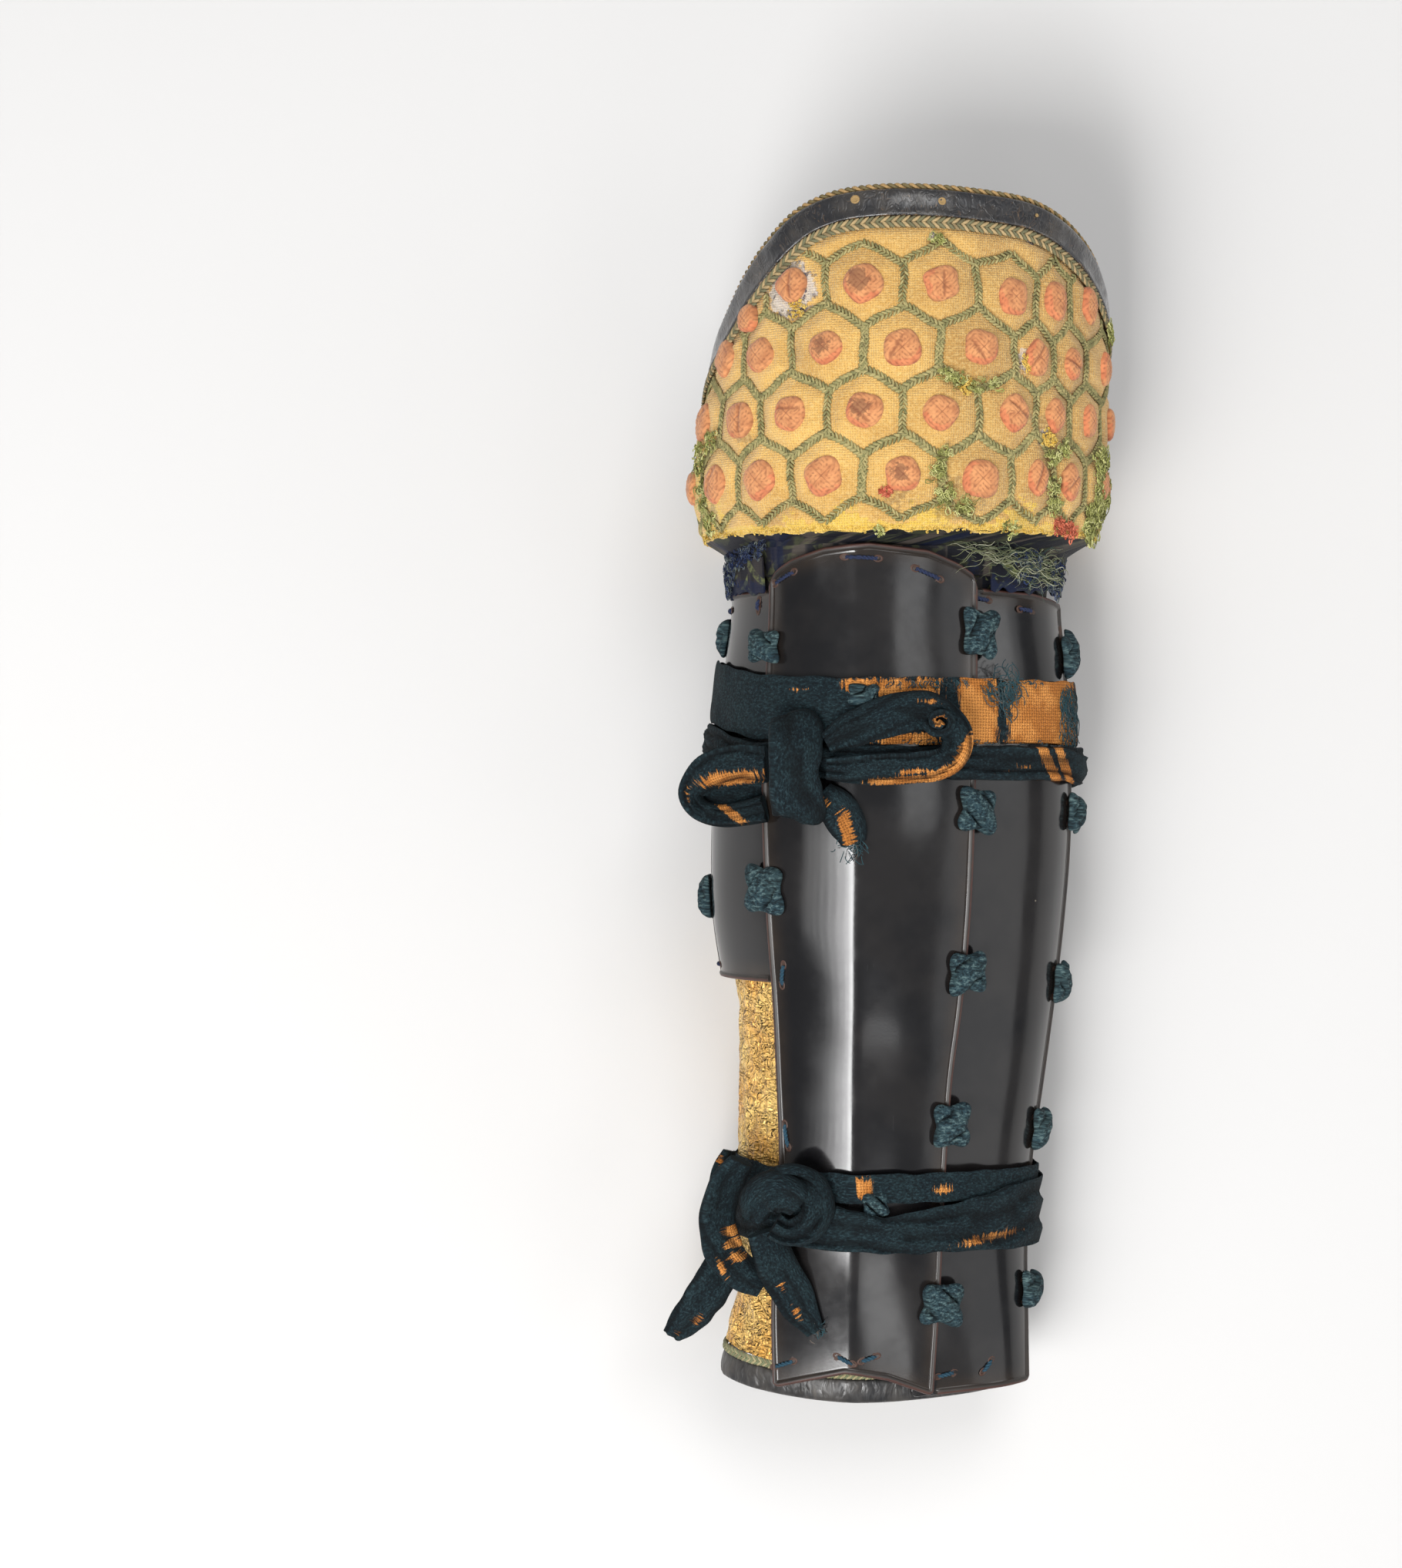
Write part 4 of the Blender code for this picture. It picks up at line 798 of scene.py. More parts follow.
def border_leather_look(g, lay):
    """Old black leather, glossy where it is whole and brown along its cracks and edges."""
    base = patchy(g, lay, 0.08, (0.12, 0.12, 0.13), (0.23, 0.215, 0.20), 0.38, 0.7)
    cracks = g.use(CREASES, Vector=g.stretched(lay, 1.0, 0.6, 1.0), Scale=0.3, Width=0.014, Twist=1.2)
    base = g.tint(base, ragged(g, lay, "edge", 0.25, 1.5), 0.6, 0.50, 0.40, 0.29)
    shown = g.spread(g.noise(lay, 7.0), 0.45, 0.62, 0.05, 0.6)
    base = g.tint(base, cracks["Mask"], shown, 0.46, 0.37, 0.28)
    rough = g.spread(g.noise(lay, 5.0, 5.0), 0.3, 0.7, 0.22, 0.48)
    grain = g.bump(g.noise(lay, 0.7, 3.0), 0.06)
    return {"Base Color": base, "Roughness": rough, "Normal": g.bump(cracks["Height"], 0.16, grain)}


def lining_look(g, lay):
    """Black lacquered leather with a net of cracks."""
    base = patchy(g, lay, 0.05, (0.09, 0.09, 0.095), (0.16, 0.15, 0.145))
    cracks = g.use(CRACKS, Vector=lay, Scale=0.3, Width=0.12, Warp=1.2)
    grain = g.bump(g.noise(lay, 1.6, 4.0), 0.25)
    return {"Base Color": base, "Normal": g.bump(cracks["Height"], 0.5, grain)}


def hem_leather_look(g, lay):
    """Soft black leather, grey on its folds."""
    base = patchy(g, lay, 0.05, (0.12, 0.12, 0.125), (0.22, 0.21, 0.20))
    folds = g.noise(g.stretched(g.warped(lay, 9.0, 6.0), 1.0, 0.35, 1.0), 3.0, 2.0)
    base = g.mix(g.spread(folds, 0.55, 0.75, 0.0, 0.3), base, tone(0.36, 0.33, 0.30))
    rough = g.spread(folds, 0.3, 0.7, 0.3, 0.55)
    return {"Base Color": base, "Roughness": rough, "Normal": g.bump(folds, 0.9)}


def brocade_look(motif, sheen_stripes):
    """Navy silk with a painted grey-brown sheen in stripes, woven flowers and leaves, and ribs along its
    weft.
    """

    def build(g, lay):
        base = patchy(g, lay, 0.04, (0.05, 0.057, 0.09), (0.125, 0.12, 0.14), 0.4, 0.65)
        # Painted sheen: grey-brown stripes along the weft.
        sheen_band = g.noise(g.stretched(lay, 1.0, 0.06, 0.06), 9.0, 2.0)
        base = g.tint(base, g.spread(sheen_band, 0.52, 0.58), sheen_stripes, 0.33, 0.30, 0.27)
        figure = g.use(FLOWERS, Vector=lay, Scale=0.032)["Mask"]
        figure = g.times(figure, g.spread(g.noise(lay, 3.0, 4.0), 0.38, 0.62))
        base = g.tint(base, figure, motif, 0.46, 0.48, 0.30)
        base = g.tint(base, ragged(g, lay, "worn", 0.3, 1.1), 0.7, 0.055, 0.095, 0.20)
        ribs = g.use(WEAVE, Vector=g.stretched(lay, 1.0, 0.45, 1.0), Pitch=0.42)["Height"]
        # Painted shade in the gaps between the ribs.
        base = g.mix(g.spread(ribs, 0.1, 0.6, 0.5, 0.0), base, tone(0.05, 0.06, 0.12))
        return {"Base Color": base, "Normal": g.bump(ribs, 0.10)}

    return build


def gilt_look(g, lay):
    """Gilded leather, crumpled into creases of three sizes, dark where the gold has gone."""
    base = patchy(g, lay, 0.05, (1.0, 0.84, 0.50), (0.94, 0.70, 0.34), 0.35, 0.7)
    level, slant, tiny = (
        g.use(CREASES, Vector=g.stretched(lay, *drawn), Scale=scale, Width=width, Twist=twist)
        for drawn, scale, width, twist in (
            ((0.45, 1.2, 1.0), 0.26, 0.034, 0.8),
            ((1.0, 0.6, 1.0), 0.24, 0.030, 1.0),
            ((0.45, 1.2, 1.0), 0.50, 0.042, 0.7),
        )
    )
    lines = g.highest(g.highest(level["Mask"], slant["Mask"]), g.times(tiny["Mask"], 0.35))
    loose = g.spread(g.noise(lay, 9.0, 3.0), 0.38, 0.62, 0.25, 1.0)
    rub = ragged(g, lay, "crease", 0.6, 1.2)
    dark = g.highest(g.times(lines, loose), g.times(rub, 0.7))
    rough = g.spread(g.noise(lay, 2.2, 4.0), 0.3, 0.7, 0.26, 0.42)
    folded = g.bump(level["Height"], 1.2, g.bump(slant["Height"], 1.5))
    return {
        "Base Color": g.tint(base, dark, 0.9, 0.31, 0.17, 0.065),
        "Metallic": g.spread(dark, 0.0, 1.0, 0.42, 0.0),
        "Roughness": g.math("ADD", rough, g.times(dark, 0.3)),
        "Normal": g.bump(tiny["Height"], 0.16, folded),
    }


def crepe_look(first, second, light, grain):
    """Dark crepe with painted shade in its wrinkles and folds and a painted highlight on its wrinkles'
    crests, worn through in places to the orange canvas below it.
    """

    def build(g, lay):
        base = patchy(g, lay, 0.10, first, second, 0.35, 0.7)
        wrinkle = g.noise(g.stretched(lay, 1.0, 1.5, 1.0), grain, 2.0, 0.7)
        # Painted shade in the wrinkles' hollows, then a painted highlight in the light colour on their
        # crests.
        base = g.mix(g.spread(wrinkle, 0.36, 0.52, 0.75, 0.0), base, tone(0.02, 0.04, 0.055))
        base = g.mix(g.spread(wrinkle, 0.52, 0.68, 0.0, 0.8), base, tone(*light))
        weave = g.use(WEAVE, Vector=g.warped(lay, 3.0, 0.6), Pitch=1.1)["Height"]
        canvas = patchy(g, lay, 0.12, (0.83, 0.56, 0.29), (0.70, 0.44, 0.20))
        # Painted shade in the gaps of the canvas weave.
        canvas = g.mix(g.spread(weave, 0.1, 0.7, 0.9, 0.0), canvas, tone(0.36, 0.20, 0.08))
        worn = ragged(g, lay, "worn", 1.2, 1.5, Drag=(1.1, 0.10, 1.0))
        base = g.mix(worn, base, canvas)
        # Painted shade in the valleys, troughs and tucks that the fold field marks.
        base = g.mix(g.spread(g.field("fold"), 0.3, 1.0, 0.0, 0.8), base, tone(0.012, 0.025, 0.035))
        height = g.math("MULTIPLY_ADD", worn, g.math("SUBTRACT", weave, wrinkle), wrinkle)
        return {"Base Color": base, "Normal": g.bump(height, 0.8)}

    return build


LACQUER = finish("black lacquer", lacquer_look, IOR=1.5)
WOOL = finish("yellow wool", wool_look, Roughness=0.92, Sheen_Weight=0.25, Sheen_Roughness=0.5)
BOSS = finish("salmon stitching", boss_look, Roughness=0.85, Sheen_Weight=0.15)
OLIVE = braid("olive braid", (0.66, 0.61, 0.41), (0.47, 0.46, 0.29), (0.24, 0.23, 0.13))
HERRINGBONE = braid("herringbone braid", (0.66, 0.57, 0.41), (0.42, 0.41, 0.30), (0.30, 0.26, 0.18))
HEM_PLAIT = braid("hem plait", (0.60, 0.56, 0.42), (0.43, 0.45, 0.33), (0.27, 0.25, 0.18))
CORD = braid("edge cord", (0.63, 0.51, 0.33), (0.42, 0.37, 0.24), (0.25, 0.20, 0.13))
BORDER = finish("border leather", border_leather_look, Coat_Weight=0.5, Coat_Roughness=0.18)
LINING = finish("lining leather", lining_look, Roughness=0.22, Coat_Weight=0.5, Coat_Roughness=0.1)
HEM = finish("hem leather", hem_leather_look)
# The second number of each brocade is the strength of its painted sheen stripes.
BROCADE = finish("navy brocade", brocade_look(0.6, 0.25), Roughness=0.75, Specular_IOR_Level=0.2)
ROLL_SILK = finish("brocade with painted sheen", brocade_look(0.22, 0.7), Roughness=0.65, Specular_IOR_Level=0.25)
GILT = finish("gilt leather", gilt_look)
# The third colour of each crepe is its painted highlight on the wrinkles' crests.
CREPE = finish(
    "teal crepe",
    crepe_look((0.055, 0.105, 0.125), (0.085, 0.14, 0.155), (0.15, 0.22, 0.24), 1.1),
    Roughness=0.9,
    Specular_IOR_Level=0.2,
)
KNOT = finish(
    "knot cloth",
    crepe_look((0.13, 0.21, 0.24), (0.17, 0.24, 0.25), (0.34, 0.42, 0.42), 1.5),
    Roughness=0.88,
    Specular_IOR_Level=0.25,
)
BLUE_THREAD = thread("blue thread", (0.05, 0.09, 0.20), (0.11, 0.17, 0.31))
TEAL_THREAD = thread("teal thread", (0.05, 0.17, 0.24), (0.10, 0.28, 0.35))
FRAY_GREEN = fibres("green fibres", (0.42, 0.42, 0.20), (0.63, 0.64, 0.35), (0.80, 0.79, 0.54))
FRAY_PALE = fibres("pale fibres", (0.16, 0.26, 0.26), (0.50, 0.52, 0.36), (0.74, 0.74, 0.64))
FRAY_NAVY = fibres("navy fibres", (0.05, 0.08, 0.16), (0.09, 0.17, 0.34), (0.42, 0.45, 0.42))
FRAY_RED = fibres("red fibres", (0.62, 0.25, 0.15), (0.88, 0.50, 0.38))
FRAY_YELLOW = fibres("yellow fibres", (0.80, 0.64, 0.24), (0.90, 0.78, 0.42))
FRAY_TEAL = fibres("teal fibres", (0.07, 0.16, 0.19), (0.12, 0.27, 0.30), (0.75, 0.48, 0.24))


# The plates


def inner_seam(y):
    """Where the two inner plates meet."""
    return SHIN.ends(y, "quarter")[0] - 11.5 - 3.5 * np.sin(np.asarray(y) / 50)


def outer_seam(y):
    """Where the two outer plates meet."""
    return 0.93 * SHIN.ends(y, "quarter")[1]


SEAMS = {
    "centre_inner": lambda y: curve_through(CENTRE_ROWS, 1, y),
    "centre_outer": lambda y: curve_through(CENTRE_ROWS, 2, y),
    "inner_seam": inner_seam,
    "outer_seam": outer_seam,
    "inner_rear": lambda y: SHIN.ends(y, "side")[0] + 1.5,
    "outer_rear": lambda y: SHIN.ends(y, "side")[1] - 1.5,
}


class Plate:
    """A lacquered plate between two seams. tuck moves its hidden front edge below its neighbour."""

    def __init__(self, node, front, tuck, rear, top, low, rear_lift):
        self.node = node
        self.front_seam = SEAMS[front]
        self.tuck = tuck
        self.rear = SEAMS[rear]
        self.top = top
        self.low = low
        self.front_lift = TUCKED_LIFT if tuck else OVER_LIFT
        self.rear_lift = rear_lift
        self.width = float(abs(self.rear(0.0) - self.front(0.0)))

    def front(self, y):
        """The s of its front edge."""
        return self.front_seam(y) + self.tuck

    def s(self, share, y):
        """The s at a share of the way from its front edge to its rear edge."""
        return (1 - share) * self.front(y) + share * self.rear(y)

    def lift(self, share):
        """Of the inner face, flat over each overlap and rising between them."""
        flat = (TUCK + 3) / self.width
        eased = smoothstep((share - flat) / (1 - 2 * flat))
        return self.front_lift + (self.rear_lift - self.front_lift) * eased

    def top_at(self, s, y):
        """The lift of its rimmed outer face, or 0 beside it."""
        share = (s - self.front(y)) / (self.rear(y) - self.front(y))
        low, top = line_through(self.low, share), line_through(self.top, share)
        on = (share >= 0) & (share <= 1) & (low <= y) & (y <= top)
        return np.where(on, self.lift(share) + PLATE + RIM_RISE, 0.0)

    def spots(self, count, length):
        """Distances from one edge over length, close together in the rolled rims."""
        rim = np.array([0, 0.15, 0.45, 0.85, 1.2, 1.55, 1.85, 2.15, 2.5, 3.2])
        return np.concatenate([rim, np.linspace(4.2, length - 4.2, count), length - rim[::-1]])

    def build(self, holes):
        """The plate, dished a little, with its rolled rim and its holes worn brown."""
        length = float(line_through(self.top, 0.5) - line_through(self.low, 0.5))
        across = self.spots(round(self.width / 1.9), self.width)
        along = self.spots(round(length / 2.8), length)
        d_side = np.minimum(across, self.width - across)
        d_end = np.minimum(along, length - along)[:, None]
        share = np.broadcast_to(across / self.width, (len(along), len(across)))
        inset = np.maximum(0, PLATE_CORNER - d_side)
        corner = PLATE_CORNER - np.sqrt(np.maximum(0, PLATE_CORNER**2 - inset**2))
        top = line_through(self.top, share) - corner
        low = line_through(self.low, share) + corner
        y = low + (top - low) * (along / length)[:, None]
        s = self.s(share, y)
        edge = np.minimum(d_side, d_end)
        hidden = (self.tuck != 0) * (share < 0.2)
        over_rim = (edge - RIM_WIDTH / 2) / (RIM_WIDTH / 2)
        bead = RIM_RISE * np.sqrt(np.maximum(0, 1 - over_rim**2)) * (1 - hidden)
        skin = PLATE * smoothstep(0.35 + edge / 0.6)
        base = self.lift(share)
        dish = 0.12 * ripple(s, y, 28, len(self.node))
        outer = SHIN.at(s, y, base + skin + bead + dish * smoothstep((edge - 2) / 8))
        inner = SHIN.at(s, y, base)
        rust = np.zeros(s.shape)
        for hole_s, hole_y in holes:
            away_s, away_y = (s - hole_s) / HOLE_WEAR, (y - hole_y) / HOLE_WEAR
            rust = np.maximum(rust, np.exp(-(away_s**2) - away_y**2))
        fields = {"lay": pattern_at(s, y), "edge": edge + 9 * hidden, "rust": rust * 0.8}
        name = self.node.replace("plate", "lacquered")
        put(wall(name, outer, inner, LACQUER, fields, sharp=70), "black_lacquer", self.node)


PLATES = (
    Plate("plate_centre", "centre_inner", 0, "centre_outer", CENTRE_TOP, CENTRE_LOW, OVER_LIFT),
    Plate("plate_inner_1", "centre_inner", TUCK, "inner_seam", INNER_1_TOP, INNER_1_LOW, OVER_LIFT),
    Plate("plate_inner_2", "inner_seam", TUCK, "inner_rear", INNER_2_TOP, INNER_2_LOW, REAR_LIFT),
    Plate("plate_outer_1", "centre_outer", -TUCK, "outer_seam", OUTER_1_TOP, OUTER_1_LOW, OVER_LIFT),
    Plate("plate_outer_2", "outer_seam", -TUCK, "outer_rear", OUTER_2_TOP, OUTER_2_LOW, REAR_LIFT),
)


def stack_top(s, y, reach=0.0):
    """How far the plates reach out from the form near places."""
    around = ((0, 0), (-reach, 0), (reach, 0), (0, -reach), (0, reach))
    return np.max([plate.top_at(s + ds, y + dy) for plate in PLATES for ds, dy in around], axis=0)


# Thread bars through slots in the plates. Columns: s, y, length, angle in degrees, blue or teal.
BLUE, TEAL = 0, 1
THREAD_ROWS = (
    (-26, 83, 9, 25, BLUE), (2, 89.5, 9.5, -3, BLUE), (25, 84, 9.5, -22, BLUE), (47.5, 75.5, 7, -8, BLUE),
    (68, 72, 6, -5, BLUE), (-44, 74, 3.5, 80, BLUE), (-24, -209, 7, 20, TEAL), (-2, -206.5, 5, -30, TEAL),
    (6, -206, 5, 20, TEAL), (36, -213.5, 6, 12, TEAL), (52, -211, 5, 50, TEAL), (-25.5, -62, 7, 85, TEAL),
    (-23.5, -122, 8, 100, TEAL), (-75, 73, 9, 4, BLUE), (-75, -60, 9, 0, BLUE), (-104, 66, 6, -30, BLUE),
    (96, 66, 8, 0, BLUE), (102, -205, 8, 0, TEAL), (78, -212, 6, 5, TEAL),
)


def bar_ends(row, beyond=0.0):
    """Places at the two ends of a thread bar, or beyond them."""
    s, y, length, angle, _ = row
    way = math.radians(angle)
    reach = length / 2 + beyond
    return [(s + end * reach * math.cos(way), y + end * reach * math.sin(way)) for end in (-1, 1)]


def build_thread_bars():
    """Twisted thread bars, each between two slots."""
    kinds = ((BLUE, BLUE_THREAD, "blue_thread_bars"), (TEAL, TEAL_THREAD, "teal_thread_bars"))
    for kind, mat, name in kinds:
        lines = []
        for s, y, length, angle, colour in THREAD_ROWS:
            if colour != kind:
                continue
            way = math.radians(angle)
            t = np.linspace(-1, 1, 17)
            s_line = s + t * length / 2 * math.cos(way)
            y_line = y + t * length / 2 * math.sin(way)
            rise = stack_top(np.array([s]), np.array([y]))[0] - RIM_RISE + 0.9 * (1 - t**4) - 0.35
            point, _, across, out = SHIN.frames(s_line, y_line, rise, np.full(17, way))
            for ply in (0, math.pi):
                twist = t * length * 1.1 + ply
                lines.append(point + 0.38 * (across * np.cos(twist)[:, None] + out * np.sin(twist)[:, None]))
        put(threads(name, np.array(lines), 0.48, mat, np.zeros(len(lines)), 7), "teal_crepe")


def build_slots():
    """The worn lips of the slots that the thread bars go through."""
    frames = []
    shape, faces = lathe(((1.35, 0.0), (1.1, 0.2), (0.85, 0.16), (0.6, -0.15)), 14, 0.72)
    for row in THREAD_ROWS:
        lift = stack_top(np.array([row[0]]), np.array([row[1]])) - RIM_RISE
        for s, y in bar_ends(row, 0.3):
            frames.append(SHIN.frames(np.array([s]), np.array([y]), lift, np.array([math.radians(row[3])])))
    fields = {"edge": np.zeros(len(frames)), "rust": np.full(len(frames), 0.9)}
    put(scatter("slot_lips", shape, faces, joined(frames), 1.4, LACQUER, fields), "black_lacquer")


def build_plates():
    """All five plates, with wear at the ends of the thread bars and at the corners of the lacing knots."""
    holes = [end for row in THREAD_ROWS for end in bar_ends(row)]
    for seam, y, width, height, _ in LACING_ROWS:
        s = float(SEAMS[seam](y))
        holes += [(s + a * width * 0.3, y + b * height * 0.3) for a in (-1, 1) for b in (-1, 1)]
    for plate in PLATES:
        plate.build(holes)


# The knee guard


def find_knee_top():
    """The upper edge, as s and y, found by halving: it lies at the edge table's y for its own height."""
    s = np.linspace(-170, 170, 1361)
    low = np.full(s.shape, KNEE_LOW + 1)
    high = np.full(s.shape, 226.0)
    for _ in range(24):
        y = (low + high) / 2
        share = KNEE.at(s, y)[:, 2] / curve_through(KNEE_ROWS, 3, y)
        edge = np.where(s < 0, *(curve_through(KNEE_EDGE_ROWS, column, share) for column in (1, 2)))
        low = np.where(edge > y, y, low)
        high = np.where(edge > y, high, y)
    return s, low


KNEE_TOP = find_knee_top()


def knee_top(s):
    """The y of the upper edge, as the table has it."""
    return np.interp(s, *KNEE_TOP)


def within_rear(s, y):
    """Keeps s between the knee guard's two rear edges."""
    return np.clip(s, *KNEE.ends(y))


def edge_places(count):
    """Evenly spaced places along the upper edge, outer side first, the ways into the cloth, the lengths."""
    s = np.linspace(*KNEE.ends(KNEE_EDGE_LOW)[::-1], 1200)
    y = knee_top(s)
    y = np.convolve(np.pad(y, 6, mode="edge"), np.ones(13) / 13, mode="valid")
    length = run_along(s, y)
    at = np.linspace(0, length[-1], count)
    places = np.stack([np.interp(at, length, s), np.interp(at, length, y)], 1)
    along = np.gradient(places, axis=0)
    return places, unit(np.stack([-along[:, 1], along[:, 0]], 1)), at


EDGE, EDGE_INTO, _ = edge_places(420)


def nearest(pieces, s, y):
    """The distance of places from the nearest of some straight pieces."""
    found = np.full(s.shape, math.inf)
    for a, b in pieces:
        d = b - a
        t = np.clip(((s - a[0]) * d[0] + (y - a[1]) * d[1]) / (d @ d), 0, 1)
        found = np.minimum(found, np.hypot(s - a[0] - t * d[0], y - a[1] - t * d[1]))
    return found


def edge_distance(s, y):
    """The distance of places from the upper edge."""
    return nearest(zip(EDGE[:-1:3], EDGE[3::3]), s, y)


def hand_sewn(s, y):
    """Where a place of the drawn pattern came out in the sewing, drawn in on both sides."""
    squeezed = s - 17 * smoothstep((s - 36) / 60) + 4.5 * smoothstep((-s - 45) / 30)
    sunk = y - 4.5 * smoothstep((s - 20) / 25) * smoothstep((y - 140) / 40)
    return squeezed + 0.9 * ripple(s, y, 24, 3), sunk + 0.9 * ripple(s, y, 24, 4)


def hexagons():
    """The middles of the whole hexagons, as drawn."""
    for y, first, last, half_over in HEX_ROWS:
        for k in range(first, last + 2):
            s = (k + 0.5 * half_over) * HEX_PITCH
            sewn = hand_sewn(s, y)
            clear = edge_distance(np.array([sewn[0]]), np.array([sewn[1]]))[0]
            if clear > BORDER_END + BOSS_RADIUS and abs(sewn[0]) < KNEE.mark("end", s, y) - 8:
                yield s, y


HEXAGONS = tuple(hexagons())


def hexagon_sides():
    """Each side once, as its two ends."""
    sides = {}
    for s, y in HEXAGONS:
        turn = np.arange(6) * math.pi / 3 + math.pi / 6
        corners = [(s + HEX_SIDE * math.cos(a), y + HEX_SIDE * math.sin(a)) for a in turn]
        for a, b in zip(corners, corners[1:] + corners[:1]):
            key = tuple(sorted(((round(a[0]), round(a[1])), (round(b[0]), round(b[1])))))
            sides[key] = (a, b) if a < b else (b, a)
    return [np.array([hand_sewn(*a), hand_sewn(*b)]) for a, b in sides.values()]


SIDES = hexagon_sides()


def seam_distance(s, y):
    """The distance of places from the nearest side of a hexagon."""
    return nearest(SIDES, s, y)


def wool_lift(s, y):
    """Of the wool's outer face: pads that dip to the braided lines, plain near the border and the seam."""
    pad = PAD_RISE * smoothstep((seam_distance(s, y) - 0.9) / 4.4)
    clear = smoothstep((edge_distance(s, y) - BORDER_END - BRAID_WIDTH) / 3)
    clear = clear * smoothstep((y - KNEE_LOW - 0.5) / 3)
    return CLOTH + pad * clear + 0.25 * ripple(s, y, 9, 5) * clear


# Marks on the wool. Columns: s, y, radius, strength.
# The first rows are painted shade on the outer side of the knee guard.
PAINTED_SHADE_ROWS = (
    (50, 170, 44, 0.85), (40, 125, 34, 0.75), (60, 200, 40, 0.8), (24, 150, 22, 0.7), (10, 207, 24, 0.5),
)
BRIGHT_ROWS = (
    (-82, 104, 14, 0.75), (-40, 100, 8, 0.6), (-20, 100, 9, 0.8), (10, 99, 12, 0.75), (44, 100, 12, 0.7),
    (-122, 128, 34, 0.9), (-100, 160, 18, 0.55), (122, 122, 26, 0.75),
)
SOIL_ROWS = (
    (19, 109, 10, 0.8), (-2, 111, 7, 0.6), (52, 139, 6, 0.6), (-62, 134, 5, 0.7), (60, 162, 6, 0.5),
    (13, 202, 5, 0.6), (-80, 108, 6, 0.6),
)
TORN_ROWS = (
    (-41, 186, 10.8, 0.95), (46, 160, 5.5, 0.75), (55, 133, 5, 0.7), (11, 204, 2.2, 0.8),
    (49, 205, 2.2, 0.8),
)


def marked(rows, s, y):
    """A smooth field from 0 to 1 that is high at the rows' places."""
    found = np.zeros(np.shape(s))
    for at_s, at_y, radius, strength in rows:
        away = ((s - at_s) ** 2 + (y - at_y) ** 2) / radius**2
        found = np.maximum(found, strength * np.exp(-0.7 * away))
    return found


def sewn_edge(columns):
    """The y of the upper edge, as smoothed by edge_places."""
    return np.interp(columns, EDGE[::-1, 0], EDGE[::-1, 1])


def build_wool():
    """The wool face: quilted, torn in places, soiled and rubbed, with painted shade on its outer side and in
    the dips along the braid.
    """
    columns = np.linspace(*KNEE.ends(KNEE_EDGE_LOW), 264)
    share = np.linspace(0, 1, 106)[:, None]
    low = KNEE_LOW - 0.9 + 1.5 * np.abs(ripple(columns, 0 * columns, 6, 6))
    y = low + (sewn_edge(columns) - 1.4 - low) * share
    s = within_rear(np.broadcast_to(columns, y.shape), y)
    torn = marked(TORN_ROWS, s, y)
    lift = wool_lift(s, y) * smoothstep(0.4 + edge_distance(s, y) / 6)
    lift -= 0.9 * smoothstep((torn - 0.4) / 0.3)
    # Painted shade in the dips where the pads sink to the braid.
    dip_shade = 0.42 * np.exp(-((seam_distance(s, y) / 2.6) ** 2))
    fields = {
        "lay": pattern_at(s, y),
        "painted_shade": np.maximum(marked(PAINTED_SHADE_ROWS, s, y), dip_shade),
        "bright": np.maximum(marked(BRIGHT_ROWS, s, y), 0.8 * smoothstep((KNEE_LOW + 7 - y) / 7)),
        "soil": marked(SOIL_ROWS, s, y),
        "torn": torn,
    }
    wool = wall("quilted_wool", KNEE.at(s, y, lift), KNEE.at(s, y), WOOL, fields)
    put(wool, "quilted_wool", "knee_cloth")


# Bosses that have browned. Columns: s, y, strength.
BROWNED = ((-14, 187, 0.8), (-27, 164, 0.62), (-13.5, 141, 0.75), (0, 118, 0.62))
# A boss that sits against the border, with no hexagon of its own.
SQUEEZED_BOSS = (-61.5, 177.5)


